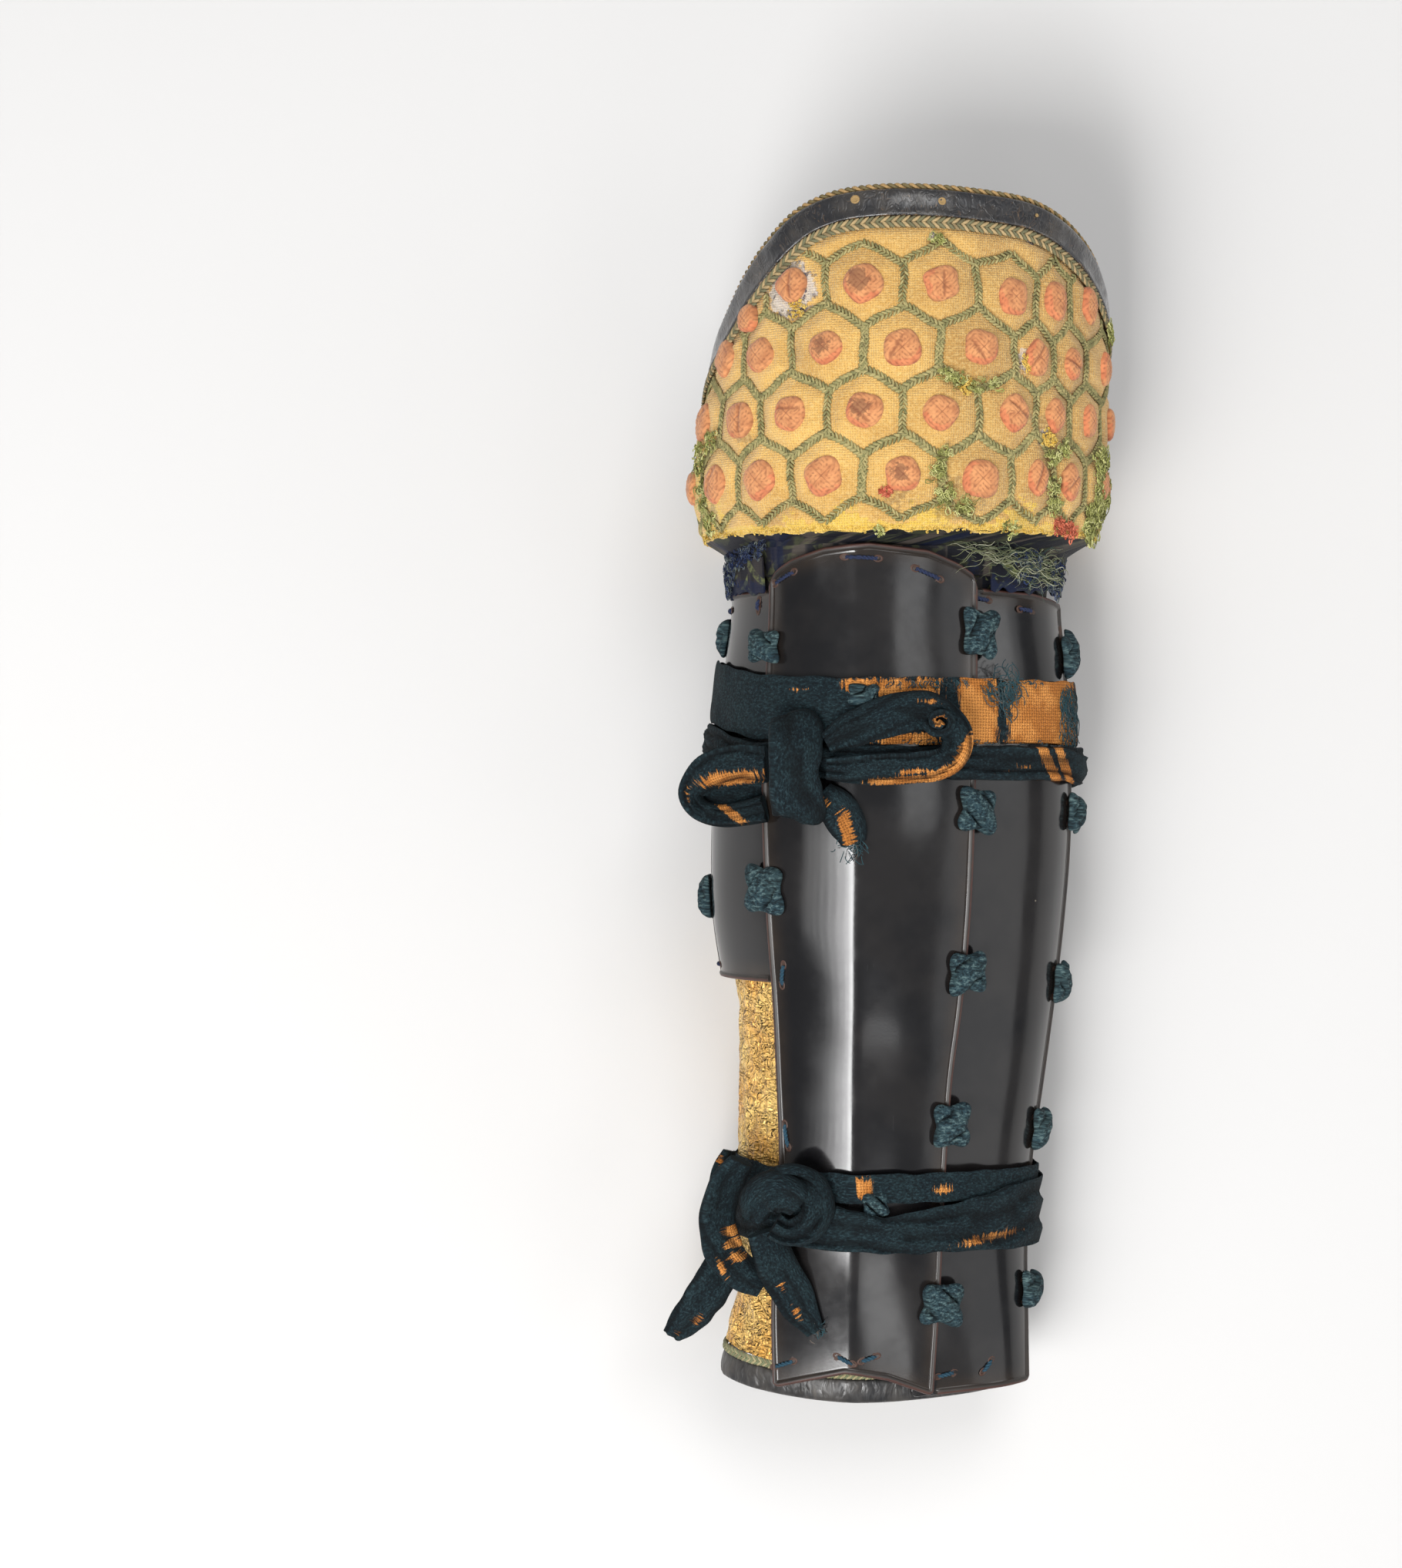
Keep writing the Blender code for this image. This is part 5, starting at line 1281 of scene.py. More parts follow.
def build_bosses():
    """Domes of cross-stitched thread, one in the middle of each hexagon, some folded."""
    chance = np.random.default_rng(11)
    turn = ring(40)
    radii = np.array([0.0, 0.14, 0.28, 0.42, 0.55, 0.67, 0.78, 0.87, 0.94, 0.985, 1.0, 1.0])[:, None]
    points, faces, fields = [], [], {"lay": [], "rim": [], "soil": [], "groove_shade": []}
    centres = [hand_sewn(*centre) for centre in HEXAGONS] + [SQUEEZED_BOSS]
    for number, (s0, y0) in enumerate(centres):
        lumpy = 0.07 * ripple(5 * np.cos(turn), 5 * np.sin(turn), 3.4, number)
        lumpy = lumpy + 0.035 * np.cos(4 * turn + number)
        squeezed = 0.78 if (s0, y0) == SQUEEZED_BOSS else 1
        reach = BOSS_RADIUS * chance.uniform(0.88, 1.04) * (1 + lumpy) * squeezed
        ds = radii * reach * np.cos(turn) * (1 - 0.3 * float(smoothstep((s0 - 26) / 26)))
        dy = radii * reach * np.sin(turn) * 1.04
        dome = BOSS_RISE * np.sqrt(np.maximum(0, 1 - (radii**2.7))) * np.ones(len(turn))
        dome[-1] = -0.8
        a = (ds + dy) * math.pi / 1.9
        b = (ds - dy) * math.pi / 1.9
        stitch = np.abs(np.sin(a) * np.sin(b)) ** 0.5
        crease_way = chance.uniform(0, math.pi)
        crease = ds * math.sin(crease_way) - dy * math.cos(crease_way) - chance.uniform(-2, 2)
        folded = chance.uniform() < 0.45
        fold = folded * np.exp(-((crease / 0.55) ** 2)) * smoothstep((reach - np.hypot(ds, dy)) / 2)
        lift = CLOTH + PAD_RISE - 0.2 + dome + 0.42 * stitch * (radii < 1) - 0.9 * fold
        faces.append(grid_faces(len(radii), len(turn), number * ds.size, wrap=True))
        points.append(KNEE.at(s0 + ds, y0 + dy, lift).reshape(-1, 3))
        browned = [strength for s, y, strength in BROWNED if math.hypot(s - s0, y - y0) < 8]
        redder = 0.5 + 0.5 * np.cos(turn - chance.uniform(2.6, 5.2))
        spot = np.exp(-((ds + 1.5) ** 2 + (dy - 1.0) ** 2) / 30)
        fields["lay"].append(pattern_at(ds + 31 * number, dy).reshape(-1, 3))
        fields["rim"].append((0.8 * redder * smoothstep((radii - 0.4) / 0.5)).ravel())
        fields["soil"].append(((browned[0] if browned else 0.12) * spot).ravel())
        # The groove field is painted shade in the stitch grooves and folds.
        fields["groove_shade"].append(np.maximum(1 - stitch, fold).ravel())
    fields = {k: np.concatenate(v) for k, v in fields.items()}
    bosses = add_mesh("stitched_bosses", np.concatenate(points), np.concatenate(faces), BOSS, fields, 180)
    put(bosses, "quilted_wool")


def plait(name, form, places, ways, lift, width, grain, mat, seed, two_colours=False):
    """A flat braid along places: slanting strands on both sides of its middle. ways are along it."""
    chance = np.random.default_rng(seed)
    count = len(places)
    side_way = np.stack([-ways[:, 1], ways[:, 0]], 1)
    frames, strand, tint = [], [], []
    for side in (-1, 1):
        at = places + side_way * side * width * 0.25 + chance.normal(0, 0.04, places.shape)
        slant = np.arctan2(ways[:, 1], ways[:, 0]) - side * math.radians(38)
        frames.append(form.frames(at[:, 0], at[:, 1], lift, slant + chance.normal(0, 0.06, count)))
        strand.append(np.arange(count) % 2.0 if two_colours else chance.uniform(0, 1, count))
        tint.append(chance.uniform(0, 1, count) ** 2)
    fields = {"strand": np.concatenate(strand), "tint": np.concatenate(tint)}
    return scatter(name, *grain_shape(), joined(frames), grain, mat, fields)


def build_hexagon_braid():
    """The plaited braid along the sides of the hexagons."""
    places, ways = [], []
    pitch = 1.5
    for a, b in SIDES:
        length = math.dist(a, b)
        count = max(2, round(length / pitch))
        t = (np.arange(count) + 0.5) / count
        bend = 0.35 * np.sin(t * math.pi * 2 + a[0])
        way = (b - a) / length
        places.append(a + (b - a) * t[:, None] + np.array([-way[1], way[0]]) * bend[:, None])
        ways.append(np.tile(way, (count, 1)))
    places, ways = np.concatenate(places), np.concatenate(ways)
    s, y = places.T
    inner, outer = KNEE.ends(y)
    clear = edge_distance(s, y) > BORDER_END + BRAID_WIDTH + 0.6
    clear &= np.abs(s) < np.where(s > 0, outer, -inner) - 1
    lift = CLOTH + 0.55 + 0.3 * ripple(s[clear], y[clear], 6, 8)
    sizes = (1.35, 0.55, 0.6)
    braided = plait("hexagon_braid", KNEE, places[clear], ways[clear], lift, 2.7, sizes, OLIVE, 21)
    put(braided, "herringbone_braid")


def along_edge(depth, pitch):
    """Places at a depth below the upper edge, one pitch apart, with the directions along it."""
    line = EDGE + EDGE_INTO * depth
    line[:, 0] = within_rear(line[:, 0], line[:, 1])
    length = np.concatenate([[0], np.cumsum(np.linalg.norm(np.diff(line, axis=0), axis=1))])
    at = np.arange(pitch / 2, length[-1], pitch)
    places = np.stack([np.interp(at, length, line[:, k]) for k in (0, 1)], 1)
    return places, unit(np.gradient(places, axis=0)), at


def build_edge_trims():
    """The herringbone braid below the border, and the twisted cord along the very edge."""
    places, ways, _ = along_edge(BORDER_END + SEAM + BRAID_WIDTH / 2, 1.75)
    sizes = (2.05, 0.8, 0.75)
    braided = plait("edge_braid", KNEE, places, ways, CLOTH + 1.5, BRAID_WIDTH, sizes, HERRINGBONE, 22, True)
    put(braided, "herringbone_braid", "knee_braid")
    places, ways, at = along_edge(1.15, 0.42)
    angle = np.arctan2(ways[:, 1], ways[:, 0])
    point, _, across, out = KNEE.frames(places[:, 0], places[:, 1], np.full(len(places), 1.6), angle)
    plies = []
    for ply in (0.0, math.pi):
        twist = at[:, None] * 2 * math.pi / 5.0 + ply
        plies.append(point + CORD_PLY * (across * np.cos(twist) + out * np.sin(twist)))
    cord = threads("edge_cord", np.array(plies), CORD_PLY, CORD, (0.2, 0.4), 7)
    strand = cord.data.attributes.new("strand", "FLOAT", "POINT")
    shares = np.repeat([0.0, 1.0], len(cord.data.vertices) // 2)
    strand.data.foreach_set("value", shares.astype(np.float32))
    put(cord, "edge_cord", "knee_cord")


# Holes in the border through which it was once tied. Columns: s, y, size.
EYELET_ROWS = ((-15.9, 218, 0.85), (14, 217.2, 0.75), (50.5, 214, 0.35))


def build_border():
    """The black leather binding: a soft fold at its lower edge, puckers across it and three eyelets."""
    places, into, at = edge_places(520)
    depth = np.array([2.1, 2.4, 3.2, 4.5, 6.0, 7.5, 9.0, 10.2, 11.2, 11.9, 12.2, 12.3])[:, None]
    rise = np.array([0.3, 0.9, 1.15, 1.2, 1.15, 1.1, 1.1, 1.2, 1.45, 1.4, 0.9, 0.3])[:, None]
    y = places[:, 1] + into[:, 1] * depth
    s = within_rear(places[:, 0] + into[:, 0] * depth, y)
    at, depth = np.broadcast_arrays(at, depth)
    pucker = 0.09 * ripple(at, depth * 0.5, 3.0, 31) + 0.3 * ripple(at, depth, 9, 32)
    lift = CLOTH + 0.4 + rise + pucker * smoothstep((depth - 2) / 3)
    edge = np.maximum(0.55 * smoothstep((3.4 - depth) / 1.5), 0.5 * smoothstep((depth - 11.2) / 1))
    fields = {"lay": pattern_at(at, depth), "edge": edge}
    outer, inner = KNEE.at(s, y, lift), KNEE.at(s, y, CLOTH + 0.35)
    put(wall("leather_border", outer, inner, BORDER, fields, sharp=80), "black_leather", "knee_border")
    rows = ((2.1, -0.4), (1.9, 0.1), (1.6, 0.25), (1.3, 0.2), (1.1, 0.05), (0.5, 0.0), (0.05, 0.0))
    shape, faces = lathe(rows, 18)
    s, y, size = np.array(EYELET_ROWS).T
    frames = KNEE.frames(s, y, np.full(len(s), CLOTH + 1.7), 0 * s)
    fields = {"strand": np.full(len(s), 0.25), "tint": np.full(len(s), 0.5)}
    put(scatter("eyelets", shape, faces, frames, size[:, None], CORD, fields), "black_leather")


def build_lining():
    """Glossy crinkled leather inside the knee guard."""
    columns = np.linspace(*KNEE.ends(KNEE_EDGE_LOW), 136)
    share = np.linspace(0, 1, 46)[:, None]
    top = sewn_edge(columns) - 1.0
    y = KNEE_LOW + 0.3 + (top - KNEE_LOW - 0.3) * share
    s = within_rear(np.broadcast_to(columns, y.shape), y)
    crinkle = np.abs(ripple(s, y, 5.5, 41)) + 0.5 * np.abs(ripple(s, y, 3.0, 42))
    sink = SEAM + 1.0 + 0.9 * (0.7 - crinkle).clip(0, 1) * smoothstep((top - y) / 4)
    fields = {"lay": pattern_at(s, y)}
    lining = wall("leather_lining", KNEE.at(s, y, -SEAM), KNEE.at(s, y, -sink), LINING, fields)
    put(lining, "lining_leather", "knee_lining")


def build_roll():
    """The folded roll of brocade at the knee seam, with its creases."""
    rings, lay, worn = [], [], []
    for share in np.linspace(-1, 1, 330):
        side = 1 if share > 0 else -1
        knee_s = share * KNEE.mark("end", side, KNEE_LOW)
        shin_s = share * SHIN.mark("side", side, ROLL_LOW)
        under_plate = smoothstep((58 - abs(shin_s - 5)) / 14)
        bulge = 4.6 - 3.0 * under_plate
        step_y = 96.0 * under_plate + 93.0 * (1 - under_plate)
        corners = np.array(
            [
                SHIN.at(shin_s, ROLL_LOW, 2 * SEAM),
                SHIN.at(shin_s, SHIN_TOP, 2 * SEAM),
                KNEE.at(knee_s, KNEE_LOW - SEAM, 0.0),
                KNEE.at(knee_s, KNEE_LOW - SEAM, CLOTH),
                SHIN.at(shin_s, step_y, bulge),
                SHIN.at(shin_s, 89.0, bulge + 0.1),
                SHIN.at(shin_s, ROLL_LOW + 1.0, 0.6 * bulge),
            ]
        )
        at = np.arange(0, 7, 1 / 3)
        closed = np.concatenate([corners, corners[:1]])
        section = np.stack([np.interp(at, np.arange(8), closed[:, k]) for k in range(3)], 1)
        out = unit(section - section.mean(0))
        shown = ((at > 2.6) & (at < 6.4)).astype(float)
        here = np.full(len(at), shin_s)
        fold = 0.5 * ripple(here, at * 4, 5, 51) + 0.35 * ripple(here * 0.4, at * 6, 4, 52)
        rings.append(section + out * (fold * shown)[:, None])
        lay.append(pattern_at(here, at * 4.5))
        worn.append(0.62 * ripple(here, at * 2, 9, 53).clip(0, 1) + 0.3 * (shin_s < -30))
    fields = {"lay": np.array(lay), "worn": np.array(worn)}
    roll = loops("brocade_roll", np.maximum(np.array(rings), LOWEST), ROLL_SILK, fields)
    put(roll, "navy_brocade", "seam_roll")


# Frayed places. Columns: s, y, reach, number of strands, length, lift of the surface below.
GREEN_ON_KNEE = (
    (15, 154.5, 2, 20, 5, 4), (19.5, 152, 2.5, 26, 5.5, 4), (26, 150, 2.5, 20, 5, 4),
    (32, 151.5, 2, 16, 5, 4), (12, 203, 2, 22, 4.5, 3), (14, 126, 2, 16, 6, 4), (12, 119, 2.6, 34, 7, 4),
    (14.5, 111, 3, 34, 7, 3.5), (22, 107, 3, 30, 7, 3), (-80, 134, 4, 34, 6, 4), (-90, 128, 6, 46, 7, 4),
    (-88, 114, 6, 46, 7, 3), (-84, 104, 5, 40, 6, 3), (56, 126, 2.6, 30, 6, 4), (62, 129, 2.6, 34, 6, 4),
    (57, 116, 2.6, 34, 6, 4), (88, 126, 6, 120, 8, 4), (92, 114, 8, 200, 9, 3.5), (84, 104, 7, 160, 8, 3),
    (59, 109, 2.6, 60, 6, 3), (98, 175, 3, 44, 8, 3.5), (-8, 98.6, 1.6, 14, 3, 3),
    (40, 100.5, 3, 24, 4, 3),
)
RED_ON_KNEE = ((62, 101.5, 3, 46, 5.5, 3), (68, 100.5, 3, 40, 5.5, 3), (-6, 112, 1.8, 34, 3.4, 4))
YELLOW_ON_KNEE = (
    (46, 160, 3, 50, 3.5, 3.5), (55, 133, 3, 50, 3.5, 3.5), (-38, 179, 4, 40, 3, 3),
    (22, 150, 3, 40, 3.5, 3.5),
)
NAVY_ON_ROLL = (
    (-50, 93, 6, 90, 6, 5.2), (-60, 88, 6, 110, 7, 5.6), (-68, 83, 5, 120, 7, 5.6), (-40, 95, 5, 60, 5, 5),
    (66, 88, 7, 80, 8, 5.6), (84, 84, 6, 90, 8, 5.6),
)
PALE_ON_ROLL = (
    (46, 94, 4, 40, 11, 5.2), (58, 90, 4.5, 60, 12, 5.6), (70, 88, 5, 80, 12, 5.6),
    (80, 85, 4, 50, 10, 5.6),
)
# Torn brocade below the roll. Columns: s at both ends, y of the top and of the lower edge, lift.
BROCADE_FLAPS = ((-78, -37, 91, 78, 5.3), (50, 96, 91, 78.5, 5.3))


def build_flaps():
    """The torn edges of brocade that hang below the roll."""
    share = np.linspace(0, 1, 14)[:, None]
    for number, (s_first, s_last, top, low, lift) in enumerate(BROCADE_FLAPS, 1):
        columns = np.linspace(s_first, s_last, 60)
        ragged_low = low + (
            1.6 * ripple(columns, 0 * columns, 4, 421 + number)
            + 1.2 * smoothstep((6 - np.abs(columns - s_first)) / 6)
        )
        y = top + (ragged_low - top) * share
        s = np.broadcast_to(columns, y.shape)
        fold = lift + 0.9 * ripple(s, 0.4 * y, 6, 431 + number) + 0.3 * (1 - share)
        fields = {"lay": pattern_at(s, y), "worn": 0.75 * share + 0 * s}
        outer, inner = SHIN.at(s, y, fold), SHIN.at(s, y, fold - 0.7)
        flap = put(wall(f"brocade_flap_{number}", outer, inner, BROCADE, fields), "navy_brocade")


def walk(way, step):
    """How far lines have come after each of their steps, along two axes."""
    return np.cumsum(step * np.cos(way), axis=1), np.cumsum(step * np.sin(way), axis=1)


def fray(name, form, rows, mat, seed, radius, level):
    """Loose curling strands that grow out of worn places. level from 0 to 1 lays them out sideways."""
    chance = np.random.default_rng(seed)
    t = np.linspace(0, 1, 8)
    lines = []
    for s, y, reach, count, length, lift in rows:
        turn = chance.uniform(0, 2 * math.pi, count)
        far = reach * np.sqrt(chance.uniform(0, 1, count))
        curl = chance.uniform(0.8, 1.6, count)[:, None] * 2 * math.pi * t
        curl = curl + chance.uniform(0, 6, count)[:, None]
        sideways = math.pi * chance.integers(0, 2, count) + chance.normal(0, 0.3, count)
        way = np.where(level > 0, sideways, chance.uniform(0, 2 * math.pi, count))[:, None]
        way = way + 2.0 * (1 - 0.75 * level) * np.sin(curl)
        ds, dy = walk(way, length * chance.uniform(0.5, 1.4, count)[:, None] / 7)
        arch = chance.uniform(0.1, 1, count)[:, None] * np.sin(math.pi * t * 0.8)
        start_s, start_y = s + far * np.cos(turn), y + far * np.sin(turn)
        lines.append(form.at(start_s[:, None] + ds, start_y[:, None] + dy, lift + 0.2 + length * 0.24 * arch))
    lines = np.concatenate(lines)
    lines[..., 2] = np.maximum(lines[..., 2], 0.3)
    taper = radius * chance.uniform(0.6, 1.3, len(lines))[:, None] * np.interp(t, [0, 0.6, 1], [1, 0.8, 0.25])
    return threads(name, lines, taper, mat, chance.uniform(0, 1, len(lines)), 3)


def build_frays():
    """All the frayed places, and the nap along the wool's lower edge."""
    inner, outer = KNEE.ends(KNEE_LOW)
    nap_rows = [(s, KNEE_LOW + 0.9, 1.4, 5, 2.4, 2.0) for s in np.arange(4 + inner, outer - 4, 2.4)]
    for name, form, rows, mat, seed, radius, level, slot in (
        ("green_fray", KNEE, GREEN_ON_KNEE, FRAY_GREEN, 401, 0.3, 0.0, "herringbone_braid"),
        ("red_fray", KNEE, RED_ON_KNEE, FRAY_RED, 402, 0.3, 0.0, "quilted_wool"),
        ("yellow_fray", KNEE, YELLOW_ON_KNEE, FRAY_YELLOW, 403, 0.3, 0.0, "quilted_wool"),
        ("navy_fray", SHIN, NAVY_ON_ROLL, FRAY_NAVY, 404, 0.26, 0.0, "navy_brocade"),
        ("pale_fray", SHIN, PALE_ON_ROLL, FRAY_PALE, 405, 0.15, 1.0, "navy_brocade"),
        ("hem_nap", KNEE, nap_rows, FRAY_YELLOW, 406, 0.24, 0.0, "quilted_wool"),
    ):
        put(fray(name, form, rows, mat, seed, radius, level), slot)


# The shin cloth, the gilt leather and the hem


def hem(s):
    """The y of the lower edge."""
    return curve_through(HEM_ROWS, 1, s)


def leather_fold(s, y):
    """How far the gilt leather has sunk, along one slanting fold."""
    slant = (s + 75) * 0.55 + (y + 178)
    fold = -2.4 * np.exp(-((slant / 7) ** 2)) * smoothstep((-38 - s) / 18)
    return fold * smoothstep((y + 212) / 14)


def down_to_hem(s, ys):
    """The y of rows of places, of which the lowest ones bend to follow the hem."""
    y = np.repeat(ys[:, None], s.shape[1], axis=1)
    low = hem(s[0]) + HEM_LEATHER + HEM_BRAID + 2 * SEAM
    return y + (low - y[0]) * smoothstep(1 - (y - CLOTH_LOW) / 12)


def build_shin_cloth():
    """The brocade backing, with an opening for the gilt leather on its lower inner side."""
    gold_rows = 61
    gold_columns = 45
    ys = np.concatenate([np.linspace(CLOTH_LOW, GOLD_TOP, 62), np.linspace(GOLD_TOP, SHIN_TOP, 40)[1:]])
    start, stop = (end[:, None] for end in SHIN.ends(ys))
    left = start + (GOLD_FRONT_S - start) * np.linspace(0, 1, gold_columns + 1)
    right = GOLD_FRONT_S + (stop - GOLD_FRONT_S) * np.linspace(0, 1, 76)[1:]
    s = np.concatenate([left, right], axis=1)
    y = down_to_hem(s, ys)
    crease = 0.5 * ripple(s, y * 0.35, 11, 61) + 0.35 * ripple(s * 0.5, y, 9, 62)
    free = smoothstep((np.abs(s) - 100) / 10)
    outer = SHIN.at(s, y, -0.3 + 0.3 * crease * free)
    inner = SHIN.at(s, y, -CLOTH + 0.3 * crease * free)
    keep = np.ones((len(ys) - 1, s.shape[1] - 1), bool)
    keep[:gold_rows, :gold_columns] = False
    fields = {"lay": pattern_at(s, y), "worn": 0.35 * ripple(s, y, 14, 63).clip(0, 1)}
    cloth = put(wall("shin_brocade", outer, inner, BROCADE, fields, keep), "navy_brocade", "shin_cloth")


def build_gilt_leather():
    """Soft leather that has crumpled into creases and sunk along a fold."""
    ys = np.linspace(CLOTH_LOW, GOLD_TOP - SEAM, 130)
    start = SHIN.ends(ys)[0][:, None]
    s = start + (GOLD_FRONT_S - SEAM - start) * np.linspace(0, 1, 84)
    y = down_to_hem(s, ys)
    crumple = 1 - np.abs(ripple(s, y * 0.8, 7, 71)) * 1.6
    fine = 1 - np.abs(ripple(s * 0.8, y, 3.2, 72)) * 1.6
    relief = 0.55 * crumple.clip(-1, 1) + 0.28 * fine.clip(-1, 1)
    sunk = leather_fold(s, y)
    outer = SHIN.at(s, y, sunk + relief * smoothstep((-30 - s) / 8) - 0.5)
    inner = SHIN.at(s, y, sunk - CLOTH)
    crease = 0.5 * smoothstep((crumple - 0.55) / 0.5) + 0.25 * smoothstep((fine - 0.6) / 0.4)
    fields = {"lay": pattern_at(s, y), "crease": crease}
    leather = put(wall("gilt_leather", outer, inner, GILT, fields), "gilt_leather", "gold_leather")


def hem_places(count):
    """Places along the hem, a little short of the opening at the back."""
    inner, outer = SHIN.ends(HEM_MIDDLE)
    s = np.linspace(inner + 0.4, outer - 0.4, count)
    return s, hem(s)


def build_hem():
    """The leather binding of the ankle edge, puckered, and the braid above it."""
    s, low = hem_places(330)
    share = np.array([0.0, 0.02, 0.08, 0.2, 0.35, 0.5, 0.65, 0.8, 0.92, 0.98, 1.0])[:, None]
    round_off = np.array([-1.5, -0.7, -0.2, 0.1, 0.3, 0.35, 0.3, 0.15, -0.1, -0.6, -1.3])[:, None]
    y = low + HEM_LEATHER * share
    s = np.broadcast_to(s, y.shape)
    shown = smoothstep((-34 - s) / 6)
    pucker = 0.3 * ripple(s * 1.2 + y * 0.4, y * 0.25, 2.4, 81) + 0.25 * ripple(s, y, 8, 82)
    puckered = pucker * (0.4 + 0.6 * shown) * (round_off > -0.3)
    outer = SHIN.at(s, y, round_off + 0.4 * shown + puckered - 0.15)
    inner = SHIN.at(s, y, np.minimum(-CLOTH, round_off - 0.4))
    binding = wall("hem_binding", outer, inner, HEM, {"lay": pattern_at(s, y)})
    put(binding, "black_leather", "hem_leather")
    s, low = hem_places(230)
    places = np.stack([s, low + HEM_LEATHER + SEAM + HEM_BRAID / 2], 1)
    ways = unit(np.gradient(places, axis=0))
    lift = -0.6 + 1.0 * smoothstep((-34 - s) / 6)
    sizes = (1.55, 0.72, 0.75)
    braided = plait("hem_braid_sewn", SHIN, places, ways, lift, HEM_BRAID, sizes, HEM_PLAIT, 83, True)
    put(braided, "herringbone_braid", "hem_braid")


# Lacing knots


def crossed_knot(name, form, s, y, width, height, lift, seed):
    """A knot of two puffed strips that cross: a pad with drawn-in sides and an ear at each corner."""
    chance = np.random.default_rng(seed)
    radii = np.array([0.0, 0.05, *np.linspace(0.1, 0.8, 13), 0.85, 0.9, 0.94, 0.97, 0.99, 1.0])[:, None]
    turn = ring(76)
    square = (np.abs(np.cos(turn)) ** 4 + np.abs(np.sin(turn)) ** 4) ** -0.25
    ears = np.interp(turn, np.arange(9) * math.pi / 4, [1, *chance.uniform(0.9, 1.1, 7), 1])
    outline = square * (1 - 0.2 * np.cos(2 * turn) ** 2) * ears * 1.02
    outline = outline * (1 + 0.035 * ripple(7 * np.cos(turn), 7 * np.sin(turn), 2.2, seed))
    skew = chance.normal(0, 0.09)
    u = radii * outline * np.cos(turn)
    v = radii * outline * np.sin(turn)
    u, v = u + skew * v, v - skew * u
    over_side = 1 if seed % 3 else -1
    across_over = (u - over_side * v) / math.sqrt(2) + 0.1 * np.sin(3 * (u + v) + seed)
    across_under = (u + over_side * v) / math.sqrt(2) + 0.1 * np.sin(3 * (u - v) + seed)
    over = smoothstep((0.50 - np.abs(across_over)) / 0.10)
    tuck = np.exp(-(((np.abs(across_over) - 0.52) / 0.07) ** 2)) * smoothstep((0.95 - radii) / 0.2)
    dome = np.maximum(0, 1 - radii**3.4) ** 0.55
    folds = over * np.abs(np.sin(5.2 * across_over + 1)) + (1 - over) * np.abs(np.sin(5.8 * across_under + 2))
    ds, dy = u * width / 2, v * height / 2
    pebble = ripple(ds, dy, 1.3, seed, 9)
    top = dome * (LACING_RISE * 0.74 + 1.5 * over - 1.9 * tuck + 0.6 * folds)
    top = top + 0.16 * pebble * smoothstep(dome * 2)
    upper = form.at(s + ds, y + dy, lift + top)
    lower = form.at(s + ds[::-4] * 0.96, y + dy[::-4] * 0.96, lift - 0.5 + 0 * ds[::-4])
    points = np.concatenate([upper, lower])
    faces = facing_out(points, grid_faces(*points.shape[:2], wrap=True))
    lay = np.stack([ds, dy, 0 * ds + seed], -1)
    lay = np.concatenate([lay, lay[::-4]])
    # The fold field is painted shade where one strip tucks under the other.
    fields = {"lay": lay, "worn": np.zeros(lay.shape[:2]), "fold": np.concatenate([tuck, 0 * tuck[::-4]])}
    return add_mesh(name, points, faces, KNOT, fields, 75)


def build_lacing():
    """The knots that hinge the plates, and the stitches that hold the ties."""
    a, b = (v.ravel() for v in np.meshgrid((-0.5, 0, 0.5), (-0.5, 0, 0.5)))
    for number, (seam, y, width, height, clearance) in enumerate(LACING_ROWS, 1):
        s = float(SEAMS[seam](y))
        lift = float(stack_top(s + width * a, y + height * b, 1.0).max()) + clearance
        knot = crossed_knot(f"lacing_knot_{number:02d}", SHIN, s, y, width, height, lift, 100 + number)
        put(knot, "teal_crepe", f"lacing_{number:02d}")
    for number, (s, y, lift, size) in enumerate(CARRIER_ROWS, 1):
        name = f"carrier_stitch_{number}"
        put(crossed_knot(name, SHIN, s, y, size, size, lift, 130 + number), "teal_crepe")


# Ties

# Columns of a belt: share of the way round to each flap's end, y of its middle, width, thickness.
UPPER_FLAT = (
    (-1, 37, 22, TIE), (-0.62, 42.7, 22.6, TIE), (-0.42, 42.7, 22.6, TIE), (-0.2, 36, 24, TIE),
    (0, 34.4, 24, TIE), (0.6, 34.4, 24, TIE), (1, 37, 22, TIE),
)
UPPER_SECOND = (
    (-1, 18, 14, TIE), (-0.84, 21, 14, TIE), (-0.62, 23.8, 14, 3.5), (-0.42, 23.8, 14, 3.5),
    (-0.2, 17.2, 12.6, 4), (0, 15.6, 12.4, 4.5), (0.35, 15.6, 12.4, 5.5), (0.62, 14, 15, 5),
    (0.84, 15, 14, TIE), (1, 18, 14, TIE),
)
LOWER_UNDER = (
    (-1, -140, 14, TIE), (-0.8, -140, 14, 1.3), (-0.4, -139.5, 16, 1.3), (0, -141, 11, 1.3),
    (0.8, -141, 11, 1.3), (1, -140, 14, TIE),
)
LOWER_OVER = (
    (-1, -159, 19, TIE), (-0.8, -158.5, 18, TIE), (-0.4, -152, 18, TIE), (-0.2, -155, 15, 2.6),
    (-0.03, -155.5, 17, 2.8), (0.06, -158.5, 13.5, 3), (0.4, -153.5, 25, 2.2), (0.6, -152.5, 27, 2),
    (0.75, -158.5, 20, TIE), (1, -159, 19, TIE),
)
